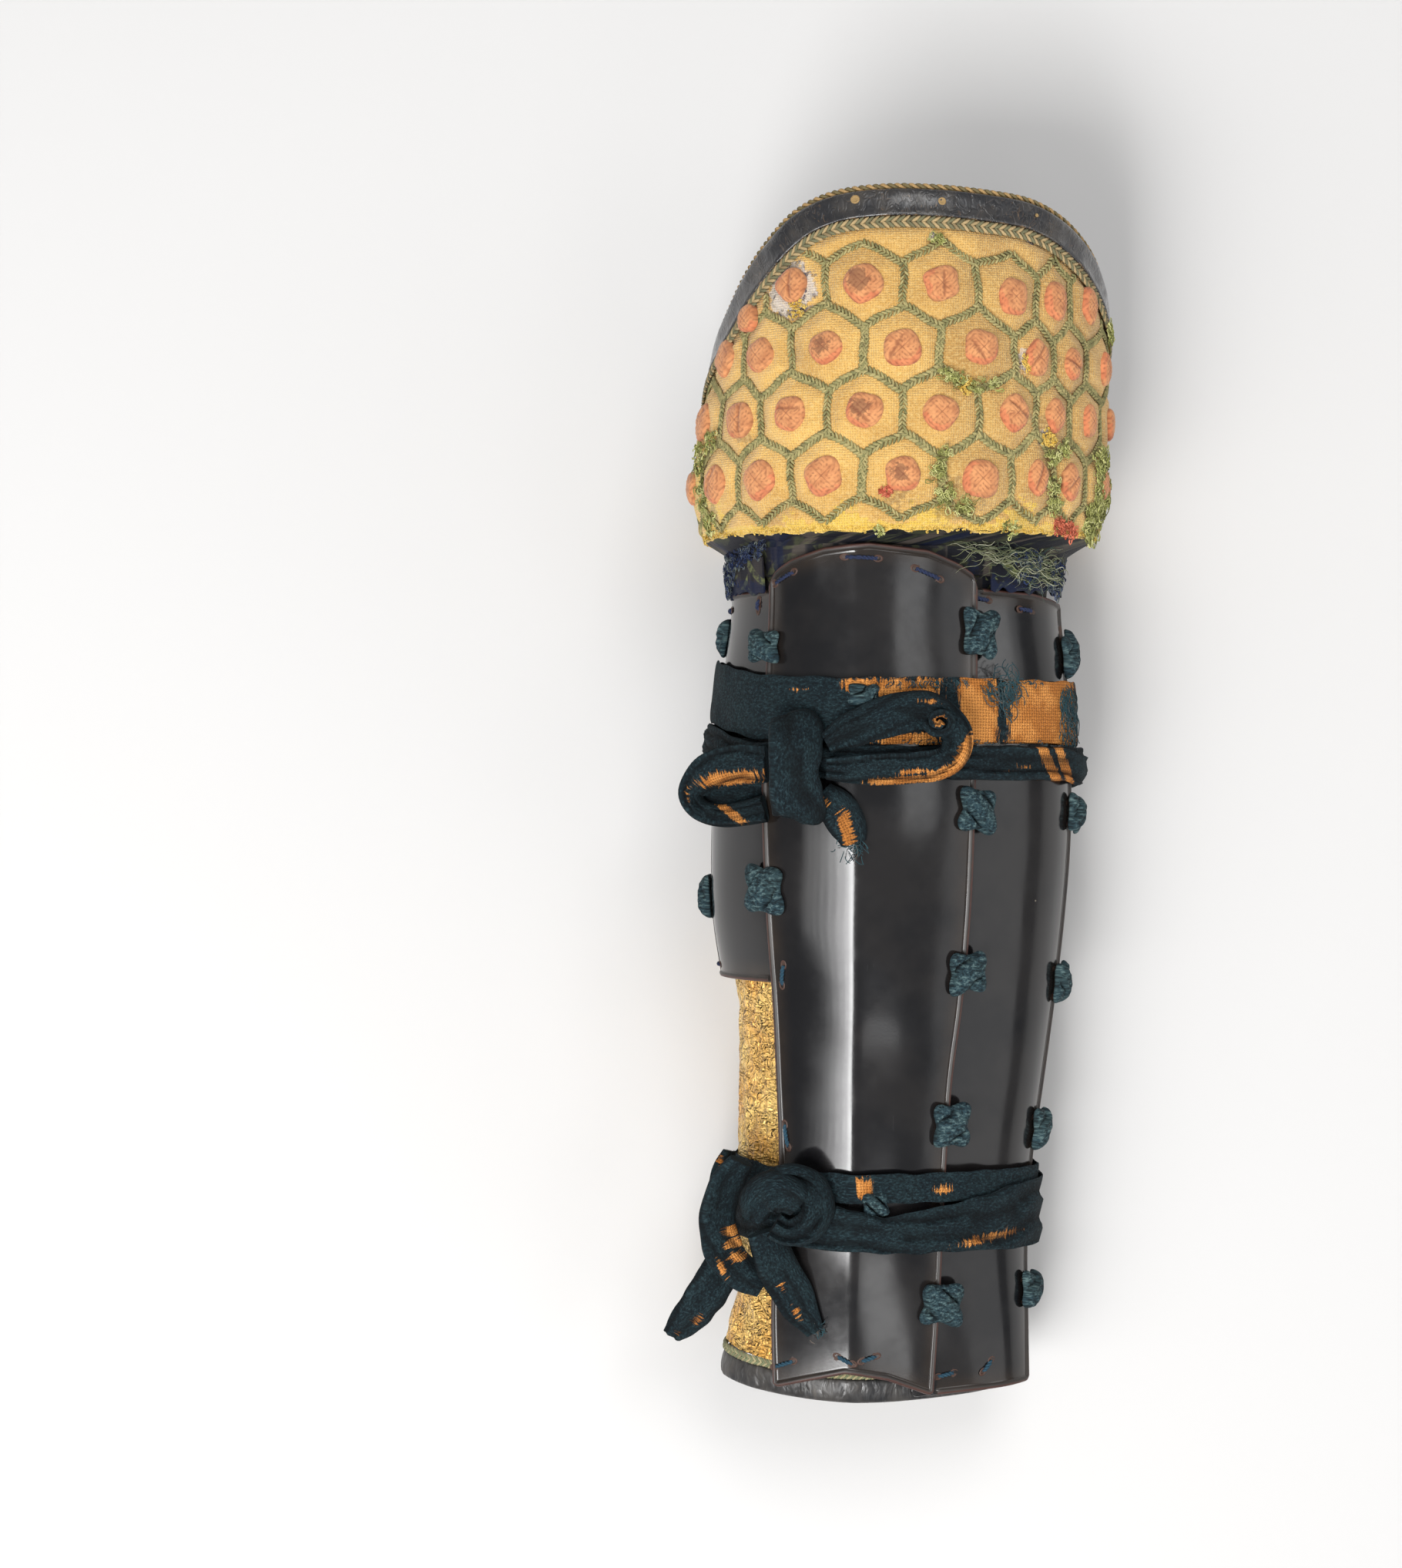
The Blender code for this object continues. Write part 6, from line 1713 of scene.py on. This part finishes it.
# Where a tie has worn through to its canvas.
# Columns: x, y, half length, half width, turn in degrees, strength.
WORN_ROWS = {
    "upper_crepe_flat": (
        (30.6, 34.5, 5.8, 15, 0, 1.2), (55.4, 34.5, 10.8, 15, 0, 1.3), (-13, 43.6, 6, 2.4, 0, 0.85),
        (4, 42.5, 14, 4, 0, 0.72), (5, 24, 11, 2.6, 0, 0.85), (-35, 42, 5, 1, 0, 0.5),
    ),
    "upper_crepe_second": (
        (58, 15.5, 1.7, 9, 28, 1), (63.6, 16.5, 1.5, 9, 22, 1), (46, 13.5, 8, 0.8, 12, 0.5),
    ),
    "upper_right_loop": (
        (25.3, 19, 2.4, 7, -25, 1.05), (17.5, 12, 7.5, 1.9, 22, 1), (2, 9.3, 11, 1.3, 4, 0.85),
        (6, 12.8, 6, 0.9, 5, 0.7), (11, 37.8, 6, 0.9, -6, 0.55),
    ),
    "upper_curl": ((15.4, 30.6, 2.2, 1.6, 20, 0.95),),
    "upper_left_loop": (
        (-59.5, 10, 10, 2.2, 6, 0.9), (-59, -2.6, 6.5, 1.4, -38, 0.9), (-74.5, 3, 1.2, 4, 10, 0.5),
    ),
    "upper_tail": ((-27, 1.6, 3, 1.5, 0, 0.8), (-17.6, -8, 2.2, 6, 18, 0.95)),
    "lower_crepe_under": ((-10, -141, 2.6, 4, 0, 0.85), (19.5, -141.6, 3.4, 1.7, 0, 0.8)),
    "lower_crepe_over": ((37.5, -160.8, 13, 1.8, 9, 0.66), (8, -147.5, 9, 0.6, 10, 0.5)),
    "lower_strip": (
        (-58.8, -157.5, 3, 2, 8, 0.8), (-57.6, -162.5, 3.6, 1.8, 8, 0.85),
        (-56.8, -167.5, 3.6, 1.6, 8, 0.85), (-62.5, -171, 1.2, 4.5, 24, 0.62),
    ),
    "lower_right_tail": ((-34.5, -188, 1.5, 3, 30, 0.6), (-40, -178, 2, 2, 0, 0.55)),
    "lower_left_tail": ((-71, -193, 3, 1.8, 30, 0.58), (-79, -198.5, 1.8, 1.5, 0, 0.6)),
    "lower_left_end": ((-62.5, -133, 1.6, 2.4, 20, 0.6),),
}


def worn_at(name, points):
    """The worn field of the points of a tie's piece."""
    found = np.zeros(points.shape[:-1])
    for x, y, half_x, half_y, turn, strength in WORN_ROWS.get(name, ()):
        cos, sin = math.cos(math.radians(turn)), math.sin(math.radians(turn))
        dx, dy = points[..., 0] - x, points[..., 1] - y
        a, b = dx * cos + dy * sin, dy * cos - dx * sin
        spot = strength * np.exp(-0.55 * ((a / half_x) ** 4 + (b / half_y) ** 4) ** 0.6)
        found = np.maximum(found, spot * smoothstep((points[..., 2] - 25) / 30))
    return found


def section_loop():
    """Points round a strap's section: across from -1 to 1 and height from 0 to 1."""
    turn = ring(38)
    across = np.sign(np.cos(turn)) * np.abs(np.cos(turn)) ** 0.55
    return across, 0.5 + 0.5 * np.sign(np.sin(turn)) * np.abs(np.sin(turn)) ** 0.75


def bunched(across, along, folds, seed):
    """Ridges along a bunched strap that wander across it, from 0 to 1."""
    drift = 0.35 * ripple(along, 0 * along, 16, seed) + along / 95
    layer = (across * 0.5 * folds + drift) % 1
    return np.where(layer < 0.8, layer / 0.8, (1 - layer) / 0.2)


class Belt:
    """A stretch of tie that runs once round the guard, over the plates and under the flaps."""

    def __init__(self, node, rows, stack, folds, depth, seed):
        self.node = node
        self.rows = np.asarray(rows, float)
        self.stack = stack
        self.folds = folds
        self.depth = depth
        self.seed = seed

    def at_share(self, share, column):
        return np.interp(share, self.rows[:, 0], self.rows[:, column])

    def place(self, share):
        """The s and y of its middle line."""
        y = self.at_share(share, 1)
        inner, outer = SHIN.ends(y)
        return share * np.where(share > 0, outer, -inner), y

    def lift(self, share):
        """Of its inner face: over the highest edge near it, eased between."""
        shares = np.linspace(-1, 1, 177)
        s, y = self.place(shares)
        half = self.at_share(shares, 2) / 2
        raw = np.max([stack_top(s, y + dy, 0.8) for dy in (-half, 0 * half, half)], axis=0)
        raw = np.pad(raw, 12, mode="edge")
        highest = np.array([raw[k - 6 : k + 7].max() for k in range(6, len(raw) - 6)])
        eased = np.array([highest[k - 6 : k + 7].mean() for k in range(6, len(highest) - 6)])
        return np.interp(share, shares, eased)

    def build(self, flat):
        """The belt as a closed ring: round the form, and straight across the opening at the back."""
        share = np.linspace(-1, 1, 280)
        s, y = self.place(share)
        width = self.at_share(share, 2)
        thick = self.at_share(share, 3)
        on_plates = smoothstep((0.86 - np.abs(share)) / 0.1)
        low = self.lift(share) + 2 * SEAM + on_plates * (0.5 + self.stack)
        across, height = section_loop()
        along = s[:, None] + 0 * across
        fold = bunched(across, along, self.folds, self.seed)
        ruffle = 0.35 * ripple(along, across * 5, 8, self.seed + 1)
        upper = (height > 0.5) * on_plates[:, None]
        rise = thick[:, None] * height - upper * self.depth * (1 - fold) * height + upper * ruffle * 0.5
        waver = 0.5 * ripple(along, 0 * along + 3 * np.sign(across), 7, self.seed + 2) * np.abs(across)
        y_here = y[:, None] + across * width[:, None] / 2 + waver
        rings = SHIN.at(along, y_here, low[:, None] + rise)
        floor = (1 - height) * TIE
        flap = smoothstep((np.abs(share) - 0.88) / 0.04)[:, None]
        rings[..., 2] = rings[..., 2] * (1 - flap) + floor * flap
        rings[..., 2] = np.maximum(rings[..., 2], (1 - height) * TIE * 0.98)
        bridge = np.linspace(0, 1, 26)[1:-1, None, None]
        across_back = rings[-1] * (1 - bridge) + rings[0] * bridge
        rings = np.concatenate([rings, across_back])
        lay = np.zeros(rings.shape)
        lay[: len(share), :, 0] = along
        lay[len(share) :, :, 0] = s[-1] + 40 * bridge[:, :, 0]
        lay[..., 1] = rings[..., 1]
        lay[..., 2] = height * 3
        name = self.node.replace("tie", "crepe")
        # Painted shade in the valleys between the belt's folds, carried by the fold field.
        valley_shade = upper * (1 - fold) * smoothstep((self.depth - 0.5) / 1.0)
        valley_shade = np.concatenate([valley_shade, np.zeros((len(bridge), len(across)))])
        fields = {"lay": lay, "worn": worn_at(name, rings), "fold": valley_shade}
        belt = put(loops(name, rings, CREPE, fields, closed=True), "teal_crepe", self.node)


def smooth_path(rows, parts):
    """The rows of a path, with parts steps from each to the next along smooth curves."""
    table = np.asarray(rows, float)
    numbered = np.column_stack([np.arange(len(table)), table])
    at = np.linspace(0, len(table) - 1, parts * (len(table) - 1) + 1)
    return np.column_stack([curve_through(numbered, column, at) for column in range(1, table.shape[1] + 1)])


def strap(name, rows, folds, depth, seed, rests_on, node=None, parts=9):
    """A soft strip along a path. Rows hold x, y, z, width, thickness and roll in degrees."""
    path = smooth_path(rows, parts)
    spine = path[:, :3]
    way = unit(np.gradient(spine, axis=0))
    side = unit(np.cross(way, (0, 0, 1)))
    up = np.cross(side, way)
    width, thick, roll = path[:, 3], path[:, 4], np.radians(path[:, 5])
    wide = side * np.cos(roll)[:, None] + up * np.sin(roll)[:, None]
    high = up * np.cos(roll)[:, None] - side * np.sin(roll)[:, None]
    across, height = section_loop()
    length = np.concatenate([[0], np.cumsum(np.linalg.norm(np.diff(spine, axis=0), axis=1))])
    along = length[:, None] + 0 * across
    fold = bunched(across, along, folds, seed)
    top = height > 0.5
    b = (height - 0.5) - top * depth * (1 - fold) * height
    b = b + 0.12 * top * ripple(along, across * 5, 5, seed + 1)
    waver = 1 + 0.05 * ripple(along, 0 * along + 3 * np.sign(across), 5, seed + 2)
    rings = (
        spine[:, None]
        + wide[:, None] * (across * waver * width[:, None] / 2)[..., None]
        + high[:, None] * (b * thick[:, None])[..., None]
    )
    lay = np.stack([along, across * width[:, None] / 2 + 9 * height, 0 * along + seed], -1)
    # The fold field is painted shade in the troughs between the ridges.
    fields = {"lay": lay, "worn": worn_at(name, rings), "fold": top * (1 - fold)}
    piece = put(loops(name, rings, CREPE, fields), "teal_crepe", node)


UPPER_RIGHT_LOOP = (
    (-25, 22.6, 137, 8, 5.5, 0), (-15, 28, 138, 13, 4.6, 0), (-4, 32, 137.7, 15, 4, 0),
    (8, 34, 136.3, 15, 4, 0), (17, 32, 135.5, 13, 4.4, 0), (22.5, 25, 135.5, 11, 4.8, 0),
    (19, 16.8, 137.2, 11, 4.6, 0), (7.5, 14, 138.7, 11.5, 4.6, 0), (-9, 13, 139.4, 11, 4.6, 0),
    (-25, 13.6, 138, 8, 5, 0),
)
UPPER_LEFT_LOOP = (
    (-46.5, 15, 125, 13, 5, 0), (-58, 14.5, 117.5, 15.5, 5.2, 0), (-67.5, 11.5, 112.5, 14.5, 5.4, 0),
    (-73.8, 5, 108.5, 9.5, 5.6, 0), (-70.5, -1.2, 107.5, 8, 5.6, 0), (-61, -3.6, 109, 8.5, 5.4, 0),
    (-47, -1, 117, 10, 5, 0),
)
UPPER_LOOP_INSIDE = (
    (-47, 4, 112, 12, 2.4, 0), (-58, 4.5, 106.5, 13, 2.4, 0), (-70, 4.5, 103.5, 11, 2.4, 0),
)
# The curled end in the loop. Columns: turn in degrees, radius, height above the loop.
CURL_CENTRE = (15.4, 30.4)
CURL_HEIGHT = 139.4
CURL_ROWS = (
    (190, 5.6, -1.4), (250, 5.2, -0.6), (310, 4.9, 0), (370, 4.4, 0), (430, 3.8, 0), (490, 3.2, 0.2),
    (550, 2.5, 0.5), (620, 1.7, 0.8), (700, 0.9, 1.2),
)
UPPER_WRAP = (
    (-36, 33, 128.5, 14, 4.5, 0), (-35.6, 30, 134.5, 18.5, 6, 4), (-36, 23, 139, 20, 7.5, 3),
    (-36.8, 14, 140.5, 18, 8.5, 0), (-36.2, 5, 139, 19, 7.5, -3), (-34.6, -1.5, 134.5, 19.5, 6, -3),
    (-34.8, -4, 128.5, 14, 4.5, 0),
)
UPPER_TAIL = (
    (-26.5, 5, 131, 9, 3.4, 0), (-20.5, -1, 131.6, 14, 3, 0), (-16.5, -8, 132, 13, 2.6, 0),
    (-14.8, -13.5, 131.8, 9.5, 2.2, 0),
)
LOWER_LEFT_END = (
    (-59, -129.5, 76.5, 9, 3, 60), (-61.2, -136, 76.5, 16, 3.6, 60), (-62, -144, 75.5, 17, 3.6, 60),
    (-60.5, -152, 74.5, 12, 3, 60),
)
LOWER_STRIP = (
    (-55, -131, 100, 10, 4.5, 25), (-60.5, -140, 96.5, 14, 4.2, 25), (-63.5, -152, 92.5, 15, 4, 25),
    (-61.5, -165, 89.5, 15, 4, 15), (-54.5, -174, 89, 13, 3.8, 0), (-47, -179, 89, 9, 3.2, 0),
)
LOWER_LEFT_TAIL = (
    (-60.5, -168, 85.4, 13, 3.4, 10), (-66, -180, 80.9, 15.5, 3.2, 10), (-74.5, -192.5, 73.8, 14, 3, 15),
    (-81, -200, 67.5, 8, 2.4, 15),
)
LOWER_RIGHT_TAIL = (
    (-46.5, -157, 99.5, 13, 4.2, 0), (-42, -170, 95.2, 15.5, 3.6, 0), (-34.5, -184, 91.5, 14.5, 3, 0),
    (-27.5, -195.5, 89.2, 7, 2.4, 0),
)
COIL_CENTRE = (-36.8, -147.0)
COIL_RADIUS = 9.8
COIL_HEIGHT = 107.0
LOWER_LOBE = (
    (-50.5, -151.5, 101, 10, 6, 0), (-48.5, -144.5, 106, 14.5, 8.5, 0), (-43.5, -141.2, 109.5, 16, 9.5, 0),
    (-37.8, -142.8, 110.2, 14.5, 9, 0), (-34.2, -146.2, 109, 10, 7, 0),
)


def curl_rows():
    """The curled end in the right loop, as a path."""
    rows = []
    for turn, radius, rise in CURL_ROWS:
        x = CURL_CENTRE[0] + radius * math.cos(math.radians(turn))
        y = CURL_CENTRE[1] + 0.85 * radius * math.sin(math.radians(turn))
        rows.append((x, y, CURL_HEIGHT + rise, 2.9, 3.8, 0))
    return rows


def coil_rows():
    """The lower tie's knot: a thick roll from the left over the top, round the right and under."""
    rows = []
    for turn in np.radians(np.arange(150, -131, -20)):
        late = smoothstep((math.radians(-20) - turn) / 1.6)
        x = COIL_CENTRE[0] + COIL_RADIUS * math.cos(turn)
        y = COIL_CENTRE[1] + COIL_RADIUS * math.sin(turn)
        z = COIL_HEIGHT - 3.5 * late + 1.2 * math.sin(turn)
        rows.append((x, y, z, 12.5 - 2.5 * late, 9.0 - 2.0 * late, 0))
    return rows


# Crepe threads left on the canvas. Columns: s, y, spread along s and y, number, length, turn in degrees.
THREADS_ON_CANVAS = (
    (54.5, 36.5, 1.6, 8, 46, 11, 88), (49, 43.5, 6, 2.2, 34, 11, -35), (30, 45.4, 9, 0.6, 20, 3.5, -60),
    (18, 45, 9, 0.8, 20, 3.5, -90), (58, 45.2, 12, 0.5, 18, 3.5, -20), (86, 38.5, 4.5, 6.5, 80, 12, -70),
    (47, 45.5, 3, 0.6, 5, 9, 50), (44, 22.6, 30, 0.5, 34, 2.5, 30), (84, 20, 5, 5, 40, 6, 80),
)
# Frayed ends. Columns: x, y, z, number, length, way in degrees.
FRAYED_ENDS = ((-15, -13.5, 131.8, 50, 4, -80), (-28.5, -194, 89, 20, 2.5, -60))


def build_tie_threads(flat_tie):
    """Threads of crepe that are left on the canvas, and the frayed ends of the tie."""
    chance = np.random.default_rng(441)
    t = np.linspace(0, 1, 8)
    lines = []
    for s, y, wide, high, count, length, turn in THREADS_ON_CANVAS:
        at_s = s + chance.uniform(-wide, wide, count)[:, None]
        at_y = y + chance.uniform(-high, high, count)[:, None]
        curl = 1.5 * math.pi * t + chance.uniform(0, 6, count)[:, None]
        way = math.radians(turn) + chance.normal(0, 0.3, count)[:, None] + 0.9 * np.sin(curl)
        ds, dy = walk(way, length * chance.uniform(0.4, 1.1, count)[:, None] / 7)
        at_s, at_y = at_s + ds, at_y + dy
        share = at_s / SHIN.mark("end", 1, 34.0)
        up = flat_tie.lift(share) + 2 * SEAM + 0.5 + TIE + 0.35 + 0.4 * np.sin(math.pi * t)
        lines.append(SHIN.at(at_s, at_y, up))
    for x, y, z, count, length, turn in FRAYED_ENDS:
        way = math.radians(turn) + chance.normal(0, 0.5, count)[:, None]
        way = way + chance.normal(0, 1.2, count)[:, None] * t
        step = length * chance.uniform(0.4, 1.1, count)[:, None] / 7
        start = np.array([x, y, z]) + chance.normal(0, 1.0, (count, 3)) * (2.2, 2.2, 0.6)
        lines.append(start[:, None] + pattern_at(*walk(way, step)))
    lines = np.concatenate(lines)
    tint = chance.uniform(0, 0.6, len(lines))
    put(threads("tie_threads", lines, 0.19, FRAY_TEAL, tint, 3), "teal_crepe")


def build_ties():
    """Both ties: the belts round the guard, the folded pieces on them, and loose threads."""
    flat_tie = Belt("upper_tie_flat", UPPER_FLAT, 0.0, 1, 0.25, 201)
    flat_tie.build((0.024, 0.44))
    build_tie_threads(flat_tie)
    Belt("upper_tie_second", UPPER_SECOND, 0.0, 2.6, 2.2, 211).build((0.017, 0.42))
    Belt("lower_tie_under", LOWER_UNDER, 0.0, 2, 0.3, 221).build((0.0135, 0.36))
    Belt("lower_tie_over", LOWER_OVER, 1.9, 2.4, 2.0, 231).build((0.021, 0.36))
    second, over = "upper_crepe_second", "lower_crepe_over"
    strap("upper_right_loop", UPPER_RIGHT_LOOP, 3, 0.35, 241, second, "upper_tie_right_loop")
    strap("upper_left_loop", UPPER_LEFT_LOOP, 3, 0.4, 251, second, "upper_tie_left_loop")
    strap("upper_wrap", UPPER_WRAP, 1.3, 0.22, 261, second, "upper_tie_knot")
    strap("upper_tail", UPPER_TAIL, 2, 0.35, 271, second, "upper_tie_tail")
    strap("lower_left_end", LOWER_LEFT_END, 2, 0.3, 281, over, "lower_tie_left_end")
    strap("lower_strip", LOWER_STRIP, 2, 0.3, 291, over, "lower_tie_strip")
    strap("lower_left_tail", LOWER_LEFT_TAIL, 2, 0.4, 301, over, "lower_tie_left_tail")
    strap("lower_right_tail", LOWER_RIGHT_TAIL, 2, 0.4, 311, over, "lower_tie_right_tail")
    strap("lower_coil", coil_rows(), 2, 0.4, 321, over, "lower_tie_knot", parts=5)
    strap("lower_lobe", LOWER_LOBE, 2, 0.2, 331, "lower_coil")
    strap("upper_loop_inside", UPPER_LOOP_INSIDE, 2, 0.2, 341, "upper_left_loop")
    strap("upper_curl", curl_rows(), 1, 0.15, 351, "upper_right_loop")


# Floor, light and camera

CAMERA_X = -70.0
CAMERA_Y = 8.0
CAMERA_HEIGHT = 1500.0
FOCAL_PIXELS = 4930.0
PHOTO_HEIGHT = 2035.0
SENSOR = 36.0
# The wide softbox on the left is a row of strips that fade away from the guard.
SOFTBOX_NEAR_END = -0.20
SOFTBOX_WIDTH = 2.2
STRIPS = 10
# Columns: name, place and aim in metres, width and length, power.
LIGHTS = (
    ("softbox_above", (0.30, 0.95, 2.00), (0.08, 0.15, 0.0), (0.90, 1.00), 19),
    ("softbox_right", (1.12, -0.08, 1.70), (0.3, 0, 0.0), (0.40, 0.50), 1.5),
    ("softbox_near", (0.75, -1.45, 1.70), (0.2, -0.6, 0.0), (0.45, 0.45), 2.2),
    ("softbox_low_right", (2.4, 0.6, 1.3), (0, 0, 0.05), (0.8, 1.4), 6),
    ("softbox_far_right", (3.0, -0.6, 1.70), (0.0, 0.0, 0.0), (2.0, 3.0), 17),
)


def area_light(name, place, aim, size, power):
    """A rectangular light that shines from a place to where it aims."""
    data = bpy.data.lights.new(name, "AREA")
    data.shape = "RECTANGLE"
    data.size, data.size_y = size
    data.energy = power
    light = in_scene(name, data)
    light.location = place
    light.rotation_euler = aimed(np.array(aim) - np.array(place))


def aimed(direction):
    """The rotation of a light that shines along a direction and keeps its sides level with x and y."""
    x, y, z = unit(direction)
    return (math.asin(y), math.atan2(-x, -z), 0.0)


def build_floor():
    """A sheet of pale paper."""
    mesh = bpy.data.meshes.new("floor")
    half = 4.0
    corners = [(-half, -half, 0), (half, -half, 0), (half, half, 0), (-half, half, 0)]
    mesh.from_pydata(corners, [], [(0, 1, 2, 3)])
    paper = bpy.data.materials.new("pale paper")
    paper.use_nodes = True
    shader = paper.node_tree.nodes["Principled BSDF"]
    shader.inputs["Base Color"].default_value = tone(0.775, 0.77, 0.765)
    shader.inputs["Roughness"].default_value = 0.8
    mesh.materials.append(paper)
    in_scene("floor", mesh)


def build_room():
    """A pale room that is a little brighter overhead."""
    world = bpy.data.worlds.new("studio")
    bpy.context.scene.world = world
    world.use_nodes = True
    sky = Graph(world.node_tree)
    place = sky.add("ShaderNodeTexCoord").outputs["Generated"]
    up = sky.add("ShaderNodeSeparateXYZ", {"Vector": place}).outputs[2]
    background = world.node_tree.nodes["Background"]
    background.inputs["Color"].default_value = (0.95, 0.97, 1.0, 1)
    sky.feed(background.inputs["Strength"], sky.spread(up, 0.1, 0.95, 0.27, 0.40))


def build_lights():
    """The softboxes, of which the left one is made of strips."""
    ends = SOFTBOX_NEAR_END - SOFTBOX_WIDTH * (np.arange(STRIPS + 1) / STRIPS) ** 1.5
    for number, (right, left) in enumerate(zip(ends, ends[1:]), 1):
        middle = (left + right) / 2
        strength = 1.2 + 24.5 * math.exp(-(((SOFTBOX_NEAR_END - middle) / 0.62) ** 1.5))
        size = (right - left, 0.90)
        power = strength * math.pi * size[0] * size[1]
        area_light(f"softbox_left_{number}", (middle, -0.75, 1.70), (-0.45, -0.6, 0.0), size, power)
    for row in LIGHTS:
        area_light(*row)


def build_camera():
    """A camera straight above, as in the photo."""
    data = bpy.data.cameras.new("camera")
    data.sensor_width = SENSOR
    data.lens = FOCAL_PIXELS / PHOTO_HEIGHT * SENSOR
    data.clip_start, data.clip_end = 0.1, 20
    camera = in_scene("camera", data)
    camera.location = (CAMERA_X * MM, CAMERA_Y * MM, CAMERA_HEIGHT * MM)
    bpy.context.scene.camera = camera
    bpy.context.scene.view_settings.view_transform = "Standard"


def main():
    """Builds everything."""
    build_wool()
    build_bosses()
    build_hexagon_braid()
    build_edge_trims()
    build_border()
    build_lining()
    build_roll()
    build_frays()
    build_flaps()
    build_shin_cloth()
    build_gilt_leather()
    build_hem()
    build_plates()
    build_slots()
    build_thread_bars()
    build_lacing()
    build_ties()
    build_floor()
    build_room()
    build_lights()
    build_camera()


main()
